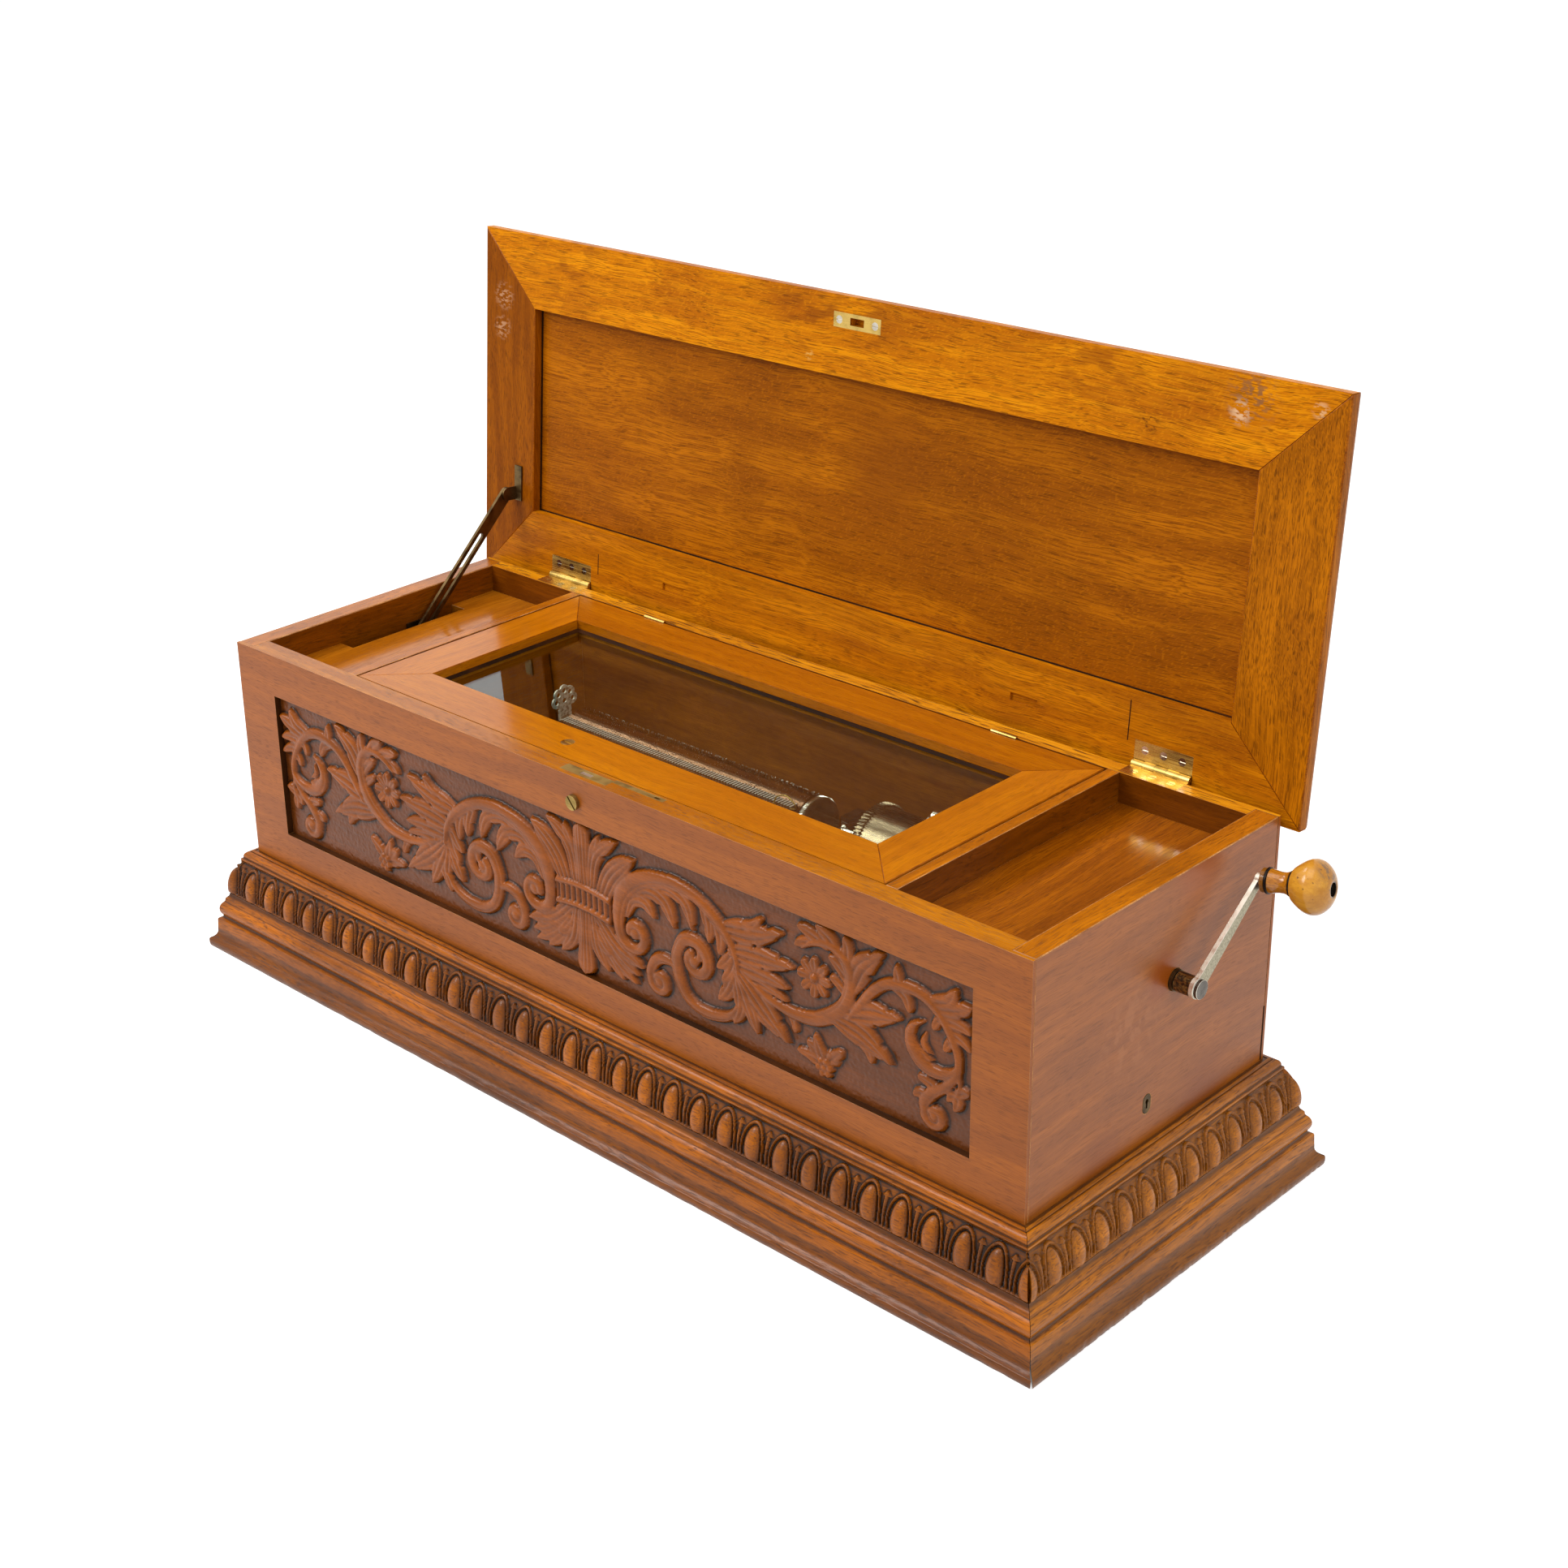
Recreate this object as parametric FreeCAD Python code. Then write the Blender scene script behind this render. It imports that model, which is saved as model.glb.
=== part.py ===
import FreeCAD, Part
import math
import os

# Cylinder music box in a carved oak case, in millimetres.
# X runs along the front to the right, Y to the back, Z up.
# The origin is under the middle of the case, on the surface that it stands on.

# Case boards
CASE_W = 840.0
CASE_D = 284.0
RIM_Z = 289.0
FRONT_T = 19.0
BACK_T = 14.0
SIDE_T = 19.0
CORNER_LAP = 3.0
BOTTOM_T = 12.0

# Carved panel, let into the front board from behind
PANEL_STILE = 47.0
PANEL_FOOT_Z = 123.0
PANEL_HEAD = 37.0
PANEL_SET = 6.0
PANEL_LAP = 6.0

# Plinth moulding: heights and projections of its members, from the floor up
PLINTH_H = 93.0
PLINTH_TOE = 37.0
PLINTH_TIP = 37.5
TIP_Z = 7.0
COVE_OUT = 30.9
COVE_Z = 16.7
STEP_OUT = 30.2
STEP_Z = 27.0
RECESS_OUT = 26.4
RECESS_Z = 29.8
BEAD_OUT = 28.6
BEAD_TOP_OUT = 25.2
BEAD_TOP_Z = 43.0
FILLET_OUT = 24.3
FILLET_Z = 46.6
OVOLO_OUT = 20.9
OVOLO_Z = 52.0
OVOLO_TOP_OUT = 13.5
OVOLO_TOP_Z = 78.3
TOP_BEAD_OUT = 10.0
TOP_BEAD_Z = 83.8
TOP_LIP = 3.0

# Compartments
PARTITION_T = 10.0
TRAY_W = 108.0
TRAY_DEPTH = 24.0
TRAY_T = 8.0
CLEAT_W = 10.0
CLEAT_H = 12.0
SOUNDBOARD_Z = 138.0
SOUNDBOARD_T = 12.0
BEARER_H = 20.0

# Lid: a mitred frame round a panel
LID_OVER = 12.0
LID_FRONT_OVER = 9.9
LID_REAR = 11.6
LID_T = 22.0
LID_EDGE_T = 8.0
LID_MOULD_W = 18.0
LID_RAIL_W = 64.0
LID_PANEL_SET = 9.0
LID_PANEL_T = 8.0
LID_TONGUE = 8.0
LID_GAP = 0.5
LID_OPEN = 94.6

# Lid hinges
HINGE_X = 316.0
HINGE_L = 50.5
HINGE_SET = 6.0
LEAF_T = 2.0
LEAF_W = 18.5
KNUCKLE_R = 3.5
KNUCKLES = 5
HINGE_PIN_R = 1.2
SCREW_HEAD_R = 3.2
SCREW_SHANK_R = 1.5
SCREW_L = 11.0
SCREW_SLOT = 0.8

# Fits
RUN_FIT = 0.05
SIDE_PLAY = 0.2
LOOSE_FIT = 0.4

# Lid lock
LOCK_X = 2.5
LOCK_INSET = 9.5
LOCK_PLATE_W = 49.0
LOCK_PLATE_D = 10.0
LOCK_PLATE_T = 1.6
LOCK_STRIP_L = 52.0
LOCK_STRIP_D = 5.0
LOCK_CASE_W = 40.0
LOCK_CASE_D = 8.0
LOCK_CASE_H = 27.4
BOLT_W = 12.0
BOLT_T = 4.0
BOLT_H = 13.5
BOLT_TRAVEL = 5.0
LOCK_BARREL_X = -2.6
LOCK_BARREL_DROP = 20.6
LOCK_BARREL_R = 6.0
LOCK_BARREL_OUT = 3.0
LOCK_SLOT_ANGLE = -40.0
STRIKE_W = 48.0
STRIKE_D = 12.0
STRIKE_T = 1.6
STRIKE_MORTISE = 6.0

# Lid stay
STAY_IN = 27.0
STAY_T = 2.8
STAY_W = 12.0
STAY_L = 160.0
STAY_SLOT_W = 5.0
STAY_SLOT_START = 46.0
STAY_OUT = 65.7
STAY_DROP = 10.25
STAY_RIVET_R = 2.0
STAY_EAR_T = 1.5
STAY_PLATE_W = 9.0
STAY_PLATE_L = 32.0
STUD_Y = 33.7
STUD_DROP = 36.0
STUD_R = 2.2
STUD_PLATE = 18.0
STUD_PLATE_T = 1.8
STUD_SHORT = 0.5
STAY_SLOT_FRONT = -48.0
STAY_SLOT_BACK = 78.0
STAY_SLOT_BOARD_W = 17.0

# Glass lid over the movement
GLASS_SIDE_GAP = 2.0
GLASS_FRONT_GAP = 1.0
GLASS_BACK_GAP = 2.0
GLASS_LID_T = 16.0
GLASS_RAIL_W = 43.0
GLASS_SET = 10.0
PANE_T = 2.5
PANE_TONGUE = 6.0
LEDGE_W = 10.0
LEDGE_H = 12.0
GLASS_HINGE_X = 188.0
GLASS_HINGE_L = 24.0
GLASS_KNUCKLE_R = 1.6
GLASS_KNUCKLES = 3
GLASS_PIN_R = 0.7
GLASS_LEAF_T = 0.9
GLASS_LEAF_H = 10.0
CATCH_X = -52.0
CATCH_IN = 21.0
CATCH_R = 5.5
CATCH_HEAD_T = 2.0
CATCH_SPINDLE_R = 2.5
CATCH_TONGUE_L = 18.0
CATCH_TONGUE_W = 6.0
CATCH_TONGUE_T = 3.0

# Movement bed
BED_LEFT = -215.0
BED_RIGHT = 236.0
BED_FRONT_GAP = 28.0
BED_BACK_GAP = 23.0
BED_T = 8.0
BED_SCREW_IN = 10.0
BED_SCREW_R = 2.5
BED_SCREW_HEAD_R = 5.0
BED_SCREW_HEAD_H = 3.5
BED_SCREW_L = 15.0

# Cylinder
CYL_Y = 23.0
CYL_Z = 215.0
CYL_R = 25.5
CYL_WALL = 2.0
CYL_LEFT = -175.0
CYL_RIGHT = 86.0
CYL_CAP_T = 3.0
CYL_ARBOR_R = 4.0
CYL_JOURNAL_R = 3.0

# Gear train
DRIVE_MODULE = 1.0
BARREL_TEETH = 68
CYL_PINION_TEETH = 14
GOV_MODULE = 0.5
CYL_WHEEL_TEETH = 102
GOV_PINION_TEETH = 12
WORM_MODULE = 0.85
WORM_WHEEL_TEETH = 24
WIND_MODULE = 1.0
WIND_WHEEL_TEETH = 56
WIND_PINION_TEETH = 28
ADDENDUM = 0.7
DEDENDUM = 1.1
BACKLASH = 0.22
PRESSURE = math.radians(20.0)
CYL_WHEEL_X = 88.0
CYL_WHEEL_T = 3.0
CYL_PINION_T = 7.5

# Brackets
BRACKET_T = 6.0
BRACKET_FOOT = 12.0
BRACKET_TOP_Z = 221.0
LEFT_BRACKET_X = -192.0
RIGHT_BRACKET_X = 110.0
WIND_BRACKET_X = 192.0
BRACKET_EDGE = 16.0
CREST_R = 13.0
CREST_RISE = 22.0
CREST_LOBES = 5
CREST_LOBE = 0.36
CREST_HOLE = 0.16
DOME_R = 2.9

# Spring barrel and its arbor
BARREL_DROP = 18.0
BARREL_X = 118.5
BARREL_L = 57.5
BARREL_R = 32.0
BARREL_WALL = 2.0
BARREL_WHEEL_T = 5.5
BARREL_COVER_T = 3.0
BARREL_ARBOR_R = 4.0
BARREL_CORE_R = 7.0
SPRING_START_R = 9.0
SPRING_PITCH = 2.4
SPRING_T = 1.1
SPRING_HALF_TURNS = 16
SPRING_SIDE_GAP = 1.5
RATCHET_X = 184.0
RATCHET_T = 4.0
RATCHET_R = 16.0
RATCHET_TEETH = 24
RATCHET_DEPTH = 1.8
CLICK_ANGLE = math.radians(150.0)
CLICK_L = 17.0
CLICK_W = 4.0
CLICK_BOSS_R = 4.5
CLICK_PIN_R = 2.0
WIND_WHEEL_X = 202.0
WIND_WHEEL_T = 6.0

# Winding crank
CRANK_Y = 19.6
CRANK_SHAFT_R = 5.0
CRANK_JOURNAL_R = 4.0
CRANK_PINION_T = 8.0
BUSH_R = 8.0
BUSH_OUT = 2.6
HUB_L = 16.0
HUB_R = 7.4
HUB_CAP = 2.8
HUB_CAP_R = 7.0
CRANK_HOLE_R = 9.0
ARM_T = 3.5
ARM_L = 89.9
ARM_ANGLE = math.radians(38.3)
ARM_HUB_R = 7.8
ARM_TIP_R = 4.4
ARM_ROOT_W = 12.4
ARM_END_W = 6.4
SPINDLE_R = 3.0
SPINDLE_HEAD_R = 4.2
SPINDLE_HEAD_T = 2.0
KNOB_LEAN = 11.4
KNOB_GAP = 1.1
KNOB_L = 50.5
KNOB_R = 19.4
KNOB_FERRULE_L = 3.6
KNOB_FERRULE_R = 8.7
KNOB_RING_L = 2.0
KNOB_RING_R = 9.4
KNOB_NECK_L = 15.3
KNOB_NECK_R = 7.5
KNOB_COLLAR_R = 9.3
KNOB_GROOVE_L = 1.4
KNOB_GROOVE_R = 8.7
KNOB_BALL_R = 10.2
KNOB_END_R = 7.0
KNOB_SINK_R = 4.8
KNOB_SINK = 6.0

# Comb
COMB_PITCH = 3.0
COMB_TEETH = 86
COMB_SLOT = 0.9
COMB_T = 2.0
COMB_DROP = 2.5
COMB_TIP_GAP = 0.7
COMB_BACK_Y = -66.0
COMB_BASS_ROOT_Y = -40.0
COMB_TREBLE_ROOT_Y = -14.0
COMB_BASE_T = 14.4
COMB_BASE_FRONT_Y = -42.0
COMB_BASE_MARGIN = 6.0
COMB_LEG_W = 20.0
COMB_SCREWS = 9
COMB_SCREW_R = 2.0
COMB_SCREW_HEAD_R = 4.0
COMB_SCREW_HEAD_H = 3.0
COMB_SCREW_L = 10.0

# Governor
GOV_ANGLE = math.radians(-60.0)
GOV_ARBOR_R = 1.5
GOV_PINION_T = 4.0
GOV_COCK_X = 92.0
GOV_COCK_T = 2.0
WORM_WHEEL_T = 3.0
WORM_X = 100.0
WORM_CORE_R = 1.9
WORM_PITCH_R = 3.0
WORM_OUT_R = 3.6
WORM_TURNS = 5.5
FAN_R = 8.5
FAN_H = 8.5
FAN_T = 0.8
FAN_Z = 203.5
GOV_BASE_T = 4.0
GOV_POST_T = 5.0
GOV_BRIDGE_Z = 215.5
GOV_BRIDGE_T = 3.5
FAN_PIVOT_R = 0.8
FAN_PIVOT_L = 2.5

# Levers, tune plate and side keyhole
LEVER_START_X = 150.0
LEVER_CHANGE_X = 192.0
LEVER_IN = 33.0
LEVER_SPINDLE_R = 3.0
LEVER_BOSS_R = 6.0
LEVER_BOSS_H = 14.0
LEVER_ARM_L = 44.0
LEVER_ARM_W = 8.0
LEVER_ARM_T = 3.0
LEVER_KNOB_R = 5.0
LEVER_KNOB_H = 15.0
TUNE_PLATE_T = 1.5
TUNE_PLATE_W = 28.0
TUNE_PLATE_Z = 200.0
TUNE_PLATE_TOP_Z = 244.0
KEYHOLE_Y = -6.4
KEYHOLE_Z = 122.5
KEYHOLE_H = 15.0
KEYHOLE_W = 9.0
KEYHOLE_T = 3.0

# Places worked out from the sizes above
V = FreeCAD.Vector
X_AXIS = V(1, 0, 0)
FRONT_Y = -CASE_D / 2
BACK_Y = CASE_D / 2
IN_X = CASE_W / 2 - SIDE_T
IN_FRONT = FRONT_Y + FRONT_T
IN_BACK = BACK_Y - BACK_T
PART_OUT = IN_X - TRAY_W
PART_IN = PART_OUT - PARTITION_T
TRAY_TOP = RIM_Z - TRAY_DEPTH
LID_FACE = RIM_Z + LID_GAP
PIN_Y = BACK_Y + HINGE_SET
PIN_Z = RIM_Z + LID_GAP / 2
LID_X = CASE_W / 2 + LID_OVER
LID_FRONT = FRONT_Y - LID_FRONT_OVER
LID_BACK = PIN_Y + LID_REAR
LOCK_Y = FRONT_Y + LOCK_INSET
LOCK_BARREL_Z = RIM_Z - LOCK_BARREL_DROP
STAY_X = -(CASE_W / 2 - STAY_IN)
STUD_Z = RIM_Z - STUD_DROP
GLASS_X = PART_IN - GLASS_SIDE_GAP
GLASS_FRONT = IN_FRONT + GLASS_FRONT_GAP
CATCH_Y = GLASS_FRONT + CATCH_IN
BED_FRONT = IN_FRONT + BED_FRONT_GAP
BED_BACK = IN_BACK - BED_BACK_GAP
LEVER_Y = BED_FRONT + LEVER_IN
GLASS_BACK = IN_BACK - GLASS_BACK_GAP
GLASS_FLOOR = RIM_Z - GLASS_LID_T
GLASS_PIN_Y = IN_BACK - GLASS_BACK_GAP / 2
GLASS_PIN_Z = RIM_Z + SIDE_PLAY
SOUNDBOARD_TOP = SOUNDBOARD_Z + SOUNDBOARD_T
BED_TOP = SOUNDBOARD_TOP + BED_T
BARREL_Z = CYL_Z - BARREL_DROP
DRIVE_SPAN = DRIVE_MODULE * (BARREL_TEETH + CYL_PINION_TEETH) / 2
BARREL_Y = CYL_Y + math.sqrt(DRIVE_SPAN ** 2 - BARREL_DROP ** 2)
WIND_SPAN = WIND_MODULE * (WIND_WHEEL_TEETH + WIND_PINION_TEETH) / 2
CRANK_Z = BARREL_Z + math.sqrt(WIND_SPAN ** 2 - (BARREL_Y - CRANK_Y) ** 2)
GOV_SPAN = GOV_MODULE * (CYL_WHEEL_TEETH + GOV_PINION_TEETH) / 2
GOV_Y = CYL_Y + GOV_SPAN * math.cos(GOV_ANGLE)
GOV_Z = CYL_Z + GOV_SPAN * math.sin(GOV_ANGLE)
WORM_Y = GOV_Y + WORM_MODULE * WORM_WHEEL_TEETH / 2 + WORM_PITCH_R
HUB_X = CASE_W / 2 + BUSH_OUT + LOOSE_FIT
ARM_X = HUB_X + HUB_L - ARM_T
SPINDLE_Y = CRANK_Y + ARM_L * math.cos(ARM_ANGLE)
SPINDLE_Z = CRANK_Z + ARM_L * math.sin(ARM_ANGLE)
KNOB_X = ARM_X + ARM_T + KNOB_GAP
COMB_TOP = CYL_Z + CYL_R - COMB_DROP + COMB_T / 2
COMB_LOW = COMB_TOP - COMB_T
COMB_TIP_Y = CYL_Y - math.sqrt((CYL_R + COMB_TIP_GAP) ** 2 - (COMB_LOW - CYL_Z) ** 2)
COMB_LEFT = (CYL_LEFT + CYL_RIGHT - COMB_PITCH * COMB_TEETH) / 2
COMB_RIGHT = COMB_LEFT + COMB_PITCH * COMB_TEETH


# Plain shapes

def block(x0, x1, y0, y1, z0, z1):
    return Part.makeBox(x1 - x0, y1 - y0, z1 - z0, V(x0, y0, z0))


def rod_x(x0, x1, y, z, r):
    return Part.makeCylinder(r, x1 - x0, V(x0, y, z), X_AXIS)


def rod_y(y0, y1, x, z, r):
    return Part.makeCylinder(r, y1 - y0, V(x, y0, z), V(0, 1, 0))


def rod_z(z0, z1, x, y, r):
    return Part.makeCylinder(r, z1 - z0, V(x, y, z0), V(0, 0, 1))


def plate_x(points, x0, x1):
    """A plate between x0 and x1 whose outline is given as (y, z) points."""
    corners = [V(x0, y, z) for y, z in points]
    face = Part.Face(Part.makePolygon(corners + corners[:1]))
    return face.extrude(V(x1 - x0, 0, 0))


def plate_z(points, z0, z1):
    """A plate between z0 and z1 whose outline is given as (x, y) points."""
    corners = [V(x, y, z0) for x, y in points]
    face = Part.Face(Part.makePolygon(corners + corners[:1]))
    return face.extrude(V(0, 0, z1 - z0))


def joined(first, *others):
    return first.fuse(list(others)).removeSplitter()


def less(shape, *others):
    return shape.cut(list(others))


def group(shapes):
    return Part.makeCompound(list(shapes))


def opened(shape):
    """Turns a piece drawn on the closed lid to the open place where the lid rests."""
    turned = shape.copy()
    turned.rotate(V(0, PIN_Y, PIN_Z), X_AXIS, -LID_OPEN)
    return turned


def opened_point(y, z):
    a = math.radians(-LID_OPEN)
    dy = y - PIN_Y
    dz = z - PIN_Z
    return (PIN_Y + dy * math.cos(a) - dz * math.sin(a), PIN_Z + dy * math.sin(a) + dz * math.cos(a))


# Mitred frames: a section carried along four sides

def section_face(edges, place):
    """A face from section edges: two points make a line, three make an arc."""
    shapes = []
    for edge in edges:
        points = [place(*p) for p in edge]
        if len(points) == 2:
            shapes.append(Part.makeLine(*points))
        else:
            shapes.append(Part.Arc(*points).toShape())
    return Part.Face(Part.Wire(shapes))


def chained(points):
    """Section edges from a list of points, where an entry (via, end) is an arc."""
    edges = []
    start = points[0]
    for entry in points[1:] + points[:1]:
        if isinstance(entry[0], tuple):
            edges.append((start, entry[0], entry[1]))
            start = entry[1]
        else:
            edges.append((start, entry))
            start = entry
    return edges


def mitred_side(side, edges, x_half, y0, y1, base_z, outward, reach):
    """One side of a mitred frame round the rectangle x_half, y0 to y1.

    outward is 1 for a moulding that stands out from the rectangle and -1 for a
    rail that lies inside it. reach is the section's greatest width.
    """
    corners = {"front": ((-x_half, y0), (x_half, y0)), "back": ((x_half, y1), (-x_half, y1)),
               "right": ((x_half, y0), (x_half, y1)), "left": ((-x_half, y1), (-x_half, y0))}
    a, b = (V(x, y, base_z) for x, y in corners[side])
    run = b - a
    along = V(run).normalize()
    out = V(along.y, -along.x, 0) * outward
    start = a - along * reach
    face = section_face(edges, lambda d, z: start + out * d + V(0, 0, z))
    bar = face.extrude(run + along * (2 * reach))
    height = bar.BoundBox.ZMax - base_z
    slope = along * (reach * outward)
    keep = [a, b, b + out * reach + slope, a + out * reach - slope]
    wedge = Part.Face(Part.makePolygon(keep + keep[:1])).extrude(V(0, 0, height))
    return bar.common(wedge)


# Gears: involute teeth, shortened at the tips and with backlash

def involute(a):
    return math.tan(a) - a


def gear(teeth, module, x0, x1, y, z, phase):
    pitch_r = module * teeth / 2
    base_r = pitch_r * math.cos(PRESSURE)
    tip_r = pitch_r + ADDENDUM * module
    root_r = pitch_r - DEDENDUM * module
    half_at_pitch = math.pi / (2 * teeth) - BACKLASH * module / (2 * pitch_r)

    def half_angle(r):
        lean = math.acos(min(1.0, base_r / max(r, base_r)))
        return half_at_pitch + involute(PRESSURE) - involute(lean)

    radii = [root_r, max(base_r, root_r + 0.1 * module), pitch_r, tip_r]
    outline = []
    for tooth in range(teeth):
        middle = phase + 2 * math.pi * tooth / teeth
        rising = [(r, middle - half_angle(r)) for r in radii]
        falling = [(r, middle + half_angle(r)) for r in reversed(radii)]
        outline += [(y + r * math.cos(a), z + r * math.sin(a)) for r, a in rising + falling]
    return plate_x(outline, x0, x1)


def toward(y0, z0, y1, z1):
    return math.atan2(z1 - z0, y1 - y0)


def gap_phase(angle, teeth):
    """The phase that puts the middle of a tooth gap at an angle."""
    return angle + math.pi / teeth


# Screws

def screw_blank(x, y, z, down):
    """A countersunk wood screw's outside, driven down or up from its head's face."""
    axis = V(0, 0, -1 if down else 1)
    taper = SCREW_HEAD_R - SCREW_SHANK_R
    head = Part.makeCone(SCREW_HEAD_R, SCREW_SHANK_R, taper, V(x, y, z), axis)
    shank = Part.makeCylinder(SCREW_SHANK_R, SCREW_L, V(x, y, z), axis)
    return joined(head, shank)


def screw(x, y, z, down):
    low = z - SCREW_SLOT if down else z
    slot = block(x - SCREW_HEAD_R, x + SCREW_HEAD_R, y - SCREW_SLOT / 2, y + SCREW_SLOT / 2,
                 low, low + SCREW_SLOT)
    return less(screw_blank(x, y, z, down), slot)


def hinge_screw_places():
    y = PIN_Y - (LEAF_W + KNUCKLE_R) / 2 - 1
    return [(side * HINGE_X + HINGE_L * k, y) for side in (-1, 1) for k in (-0.32, 0.0, 0.32)]


def strike_screw_places():
    return [(LOCK_X + side * STRIKE_W * 0.38, LOCK_Y) for side in (-1, 1)]


# Lid hinges

def hinge_leaf(x, knuckles, z0, z1, bore_r):
    """A leaf with every second knuckle, drawn as on the closed lid."""
    left = x - HINGE_L / 2
    pitch = HINGE_L / KNUCKLES
    near = PIN_Y - KNUCKLE_R - LOOSE_FIT
    leaf = block(left, left + HINGE_L, PIN_Y - LEAF_W, near, z0, z1)
    for k in knuckles:
        a = left + k * pitch + SIDE_PLAY / 2
        b = left + (k + 1) * pitch - SIDE_PLAY / 2
        leaf = joined(leaf, block(a, b, near, PIN_Y, z0, z1), rod_x(a, b, PIN_Y, PIN_Z, KNUCKLE_R))
    return less(leaf, rod_x(left, left + HINGE_L, PIN_Y, PIN_Z, bore_r))


def leaf_pocket(x, z0, z1):
    return block(x - HINGE_L / 2, x + HINGE_L / 2, PIN_Y - LEAF_W, PIN_Y, z0, z1)


def hinge_case_leaves():
    leaves = [hinge_leaf(s * HINGE_X, range(0, KNUCKLES, 2), RIM_Z - LEAF_T, RIM_Z, HINGE_PIN_R)
              for s in (-1, 1)]
    holes = [screw_blank(x, y, RIM_Z, True) for x, y in hinge_screw_places()]
    return group(less(leaf, *holes) for leaf in leaves)


def hinge_lid_leaves():
    leaves = [hinge_leaf(s * HINGE_X, range(1, KNUCKLES, 2), LID_FACE, LID_FACE + LEAF_T,
                         HINGE_PIN_R + RUN_FIT) for s in (-1, 1)]
    holes = [screw_blank(x, y, LID_FACE, False) for x, y in hinge_screw_places()]
    return opened(group(less(leaf, *holes) for leaf in leaves))


def hinge_pins():
    return group(rod_x(s * HINGE_X - HINGE_L / 2, s * HINGE_X + HINGE_L / 2, PIN_Y, PIN_Z, HINGE_PIN_R)
                 for s in (-1, 1))


def hinge_case_screws():
    return group(screw(x, y, RIM_Z, True) for x, y in hinge_screw_places())


def lid_screws():
    places = hinge_screw_places() + strike_screw_places()
    return opened(group(screw(x, y, LID_FACE, False) for x, y in places))


# Case boards

def lock_outline(z0, z1):
    """The lock plate's broad end and the narrow strip beside it."""
    left = LOCK_X - LOCK_PLATE_W / 2
    right = LOCK_X + LOCK_PLATE_W / 2
    broad = block(left, right, LOCK_Y - LOCK_PLATE_D / 2, LOCK_Y + LOCK_PLATE_D / 2, z0, z1)
    strip_y = LOCK_Y + LOCK_PLATE_D / 2 - LOCK_STRIP_D / 2
    strip = block(right, right + LOCK_STRIP_L, strip_y, strip_y + LOCK_STRIP_D, z0, z1)
    return joined(broad, strip)


def lock_body():
    return block(LOCK_X - LOCK_CASE_W / 2, LOCK_X + LOCK_CASE_W / 2, LOCK_Y - LOCK_CASE_D / 2,
                 LOCK_Y + LOCK_CASE_D / 2, RIM_Z - LOCK_PLATE_T - LOCK_CASE_H, RIM_Z - LOCK_PLATE_T)


def case_front():
    half = CASE_W / 2
    board = block(-half, half, FRONT_Y, IN_FRONT, 0, RIM_Z)
    x = half - PANEL_STILE
    top = RIM_Z - PANEL_HEAD
    window = block(-x, x, FRONT_Y, IN_FRONT, PANEL_FOOT_Z, top)
    rebate = block(-x - PANEL_LAP, x + PANEL_LAP, FRONT_Y + PANEL_SET, IN_FRONT,
                   PANEL_FOOT_Z - PANEL_LAP, top + PANEL_LAP)
    barrel = rod_y(FRONT_Y, LOCK_Y, LOCK_BARREL_X, LOCK_BARREL_Z, LOCK_BARREL_R + RUN_FIT)
    return less(board, window, rebate, lock_outline(RIM_Z - LOCK_PLATE_T, RIM_Z), lock_body(), barrel,
                *corners(FRONT_Y + CORNER_LAP, IN_FRONT))


def carved_panel():
    x = CASE_W / 2 - PANEL_STILE + PANEL_LAP
    return block(-x, x, FRONT_Y + PANEL_SET, IN_FRONT, PANEL_FOOT_Z - PANEL_LAP,
                 RIM_Z - PANEL_HEAD + PANEL_LAP)


def case_back():
    board = block(-CASE_W / 2, CASE_W / 2, IN_BACK, BACK_Y, 0, RIM_Z)
    pockets = [leaf_pocket(s * HINGE_X, RIM_Z - LEAF_T, RIM_Z) for s in (-1, 1)]
    holes = [screw_blank(x, y, RIM_Z, True) for x, y in hinge_screw_places()]
    return less(board, *pockets, *holes, *glass_hinge_grooves(), *corners(IN_BACK, BACK_Y - CORNER_LAP))


def corners(y0, y1):
    """The left and right side boards' thickness, between two places from front to back."""
    return [block(-CASE_W / 2, -IN_X, y0, y1, 0, RIM_Z), block(IN_X, CASE_W / 2, y0, y1, 0, RIM_Z)]


def case_left_side():
    return corners(FRONT_Y + CORNER_LAP, BACK_Y - CORNER_LAP)[0]


def keyhole_shape(x0, x1):
    straight = (KEYHOLE_H - KEYHOLE_W) / 2
    middle = block(x0, x1, KEYHOLE_Y - KEYHOLE_W / 2, KEYHOLE_Y + KEYHOLE_W / 2,
                   KEYHOLE_Z - straight, KEYHOLE_Z + straight)
    ends = [rod_x(x0, x1, KEYHOLE_Y, KEYHOLE_Z + s * straight, KEYHOLE_W / 2) for s in (-1, 1)]
    return joined(middle, *ends)


def case_right_side():
    board = corners(FRONT_Y + CORNER_LAP, BACK_Y - CORNER_LAP)[1]
    bush = rod_x(IN_X, CASE_W / 2, CRANK_Y, CRANK_Z, BUSH_R)
    return less(board, bush, keyhole_shape(CASE_W / 2 - KEYHOLE_T, CASE_W / 2))


def keyhole_escutcheon():
    oval = keyhole_shape(CASE_W / 2 - KEYHOLE_T, CASE_W / 2)
    x0 = CASE_W / 2 - KEYHOLE_T / 2
    x1 = CASE_W / 2
    eye = rod_x(x0, x1, KEYHOLE_Y, KEYHOLE_Z + KEYHOLE_H / 8, KEYHOLE_W / 5)
    slot = block(x0, x1, KEYHOLE_Y - KEYHOLE_W / 10, KEYHOLE_Y + KEYHOLE_W / 10,
                 KEYHOLE_Z - KEYHOLE_H / 4, KEYHOLE_Z + KEYHOLE_H / 8)
    return less(oval, eye, slot)


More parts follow.
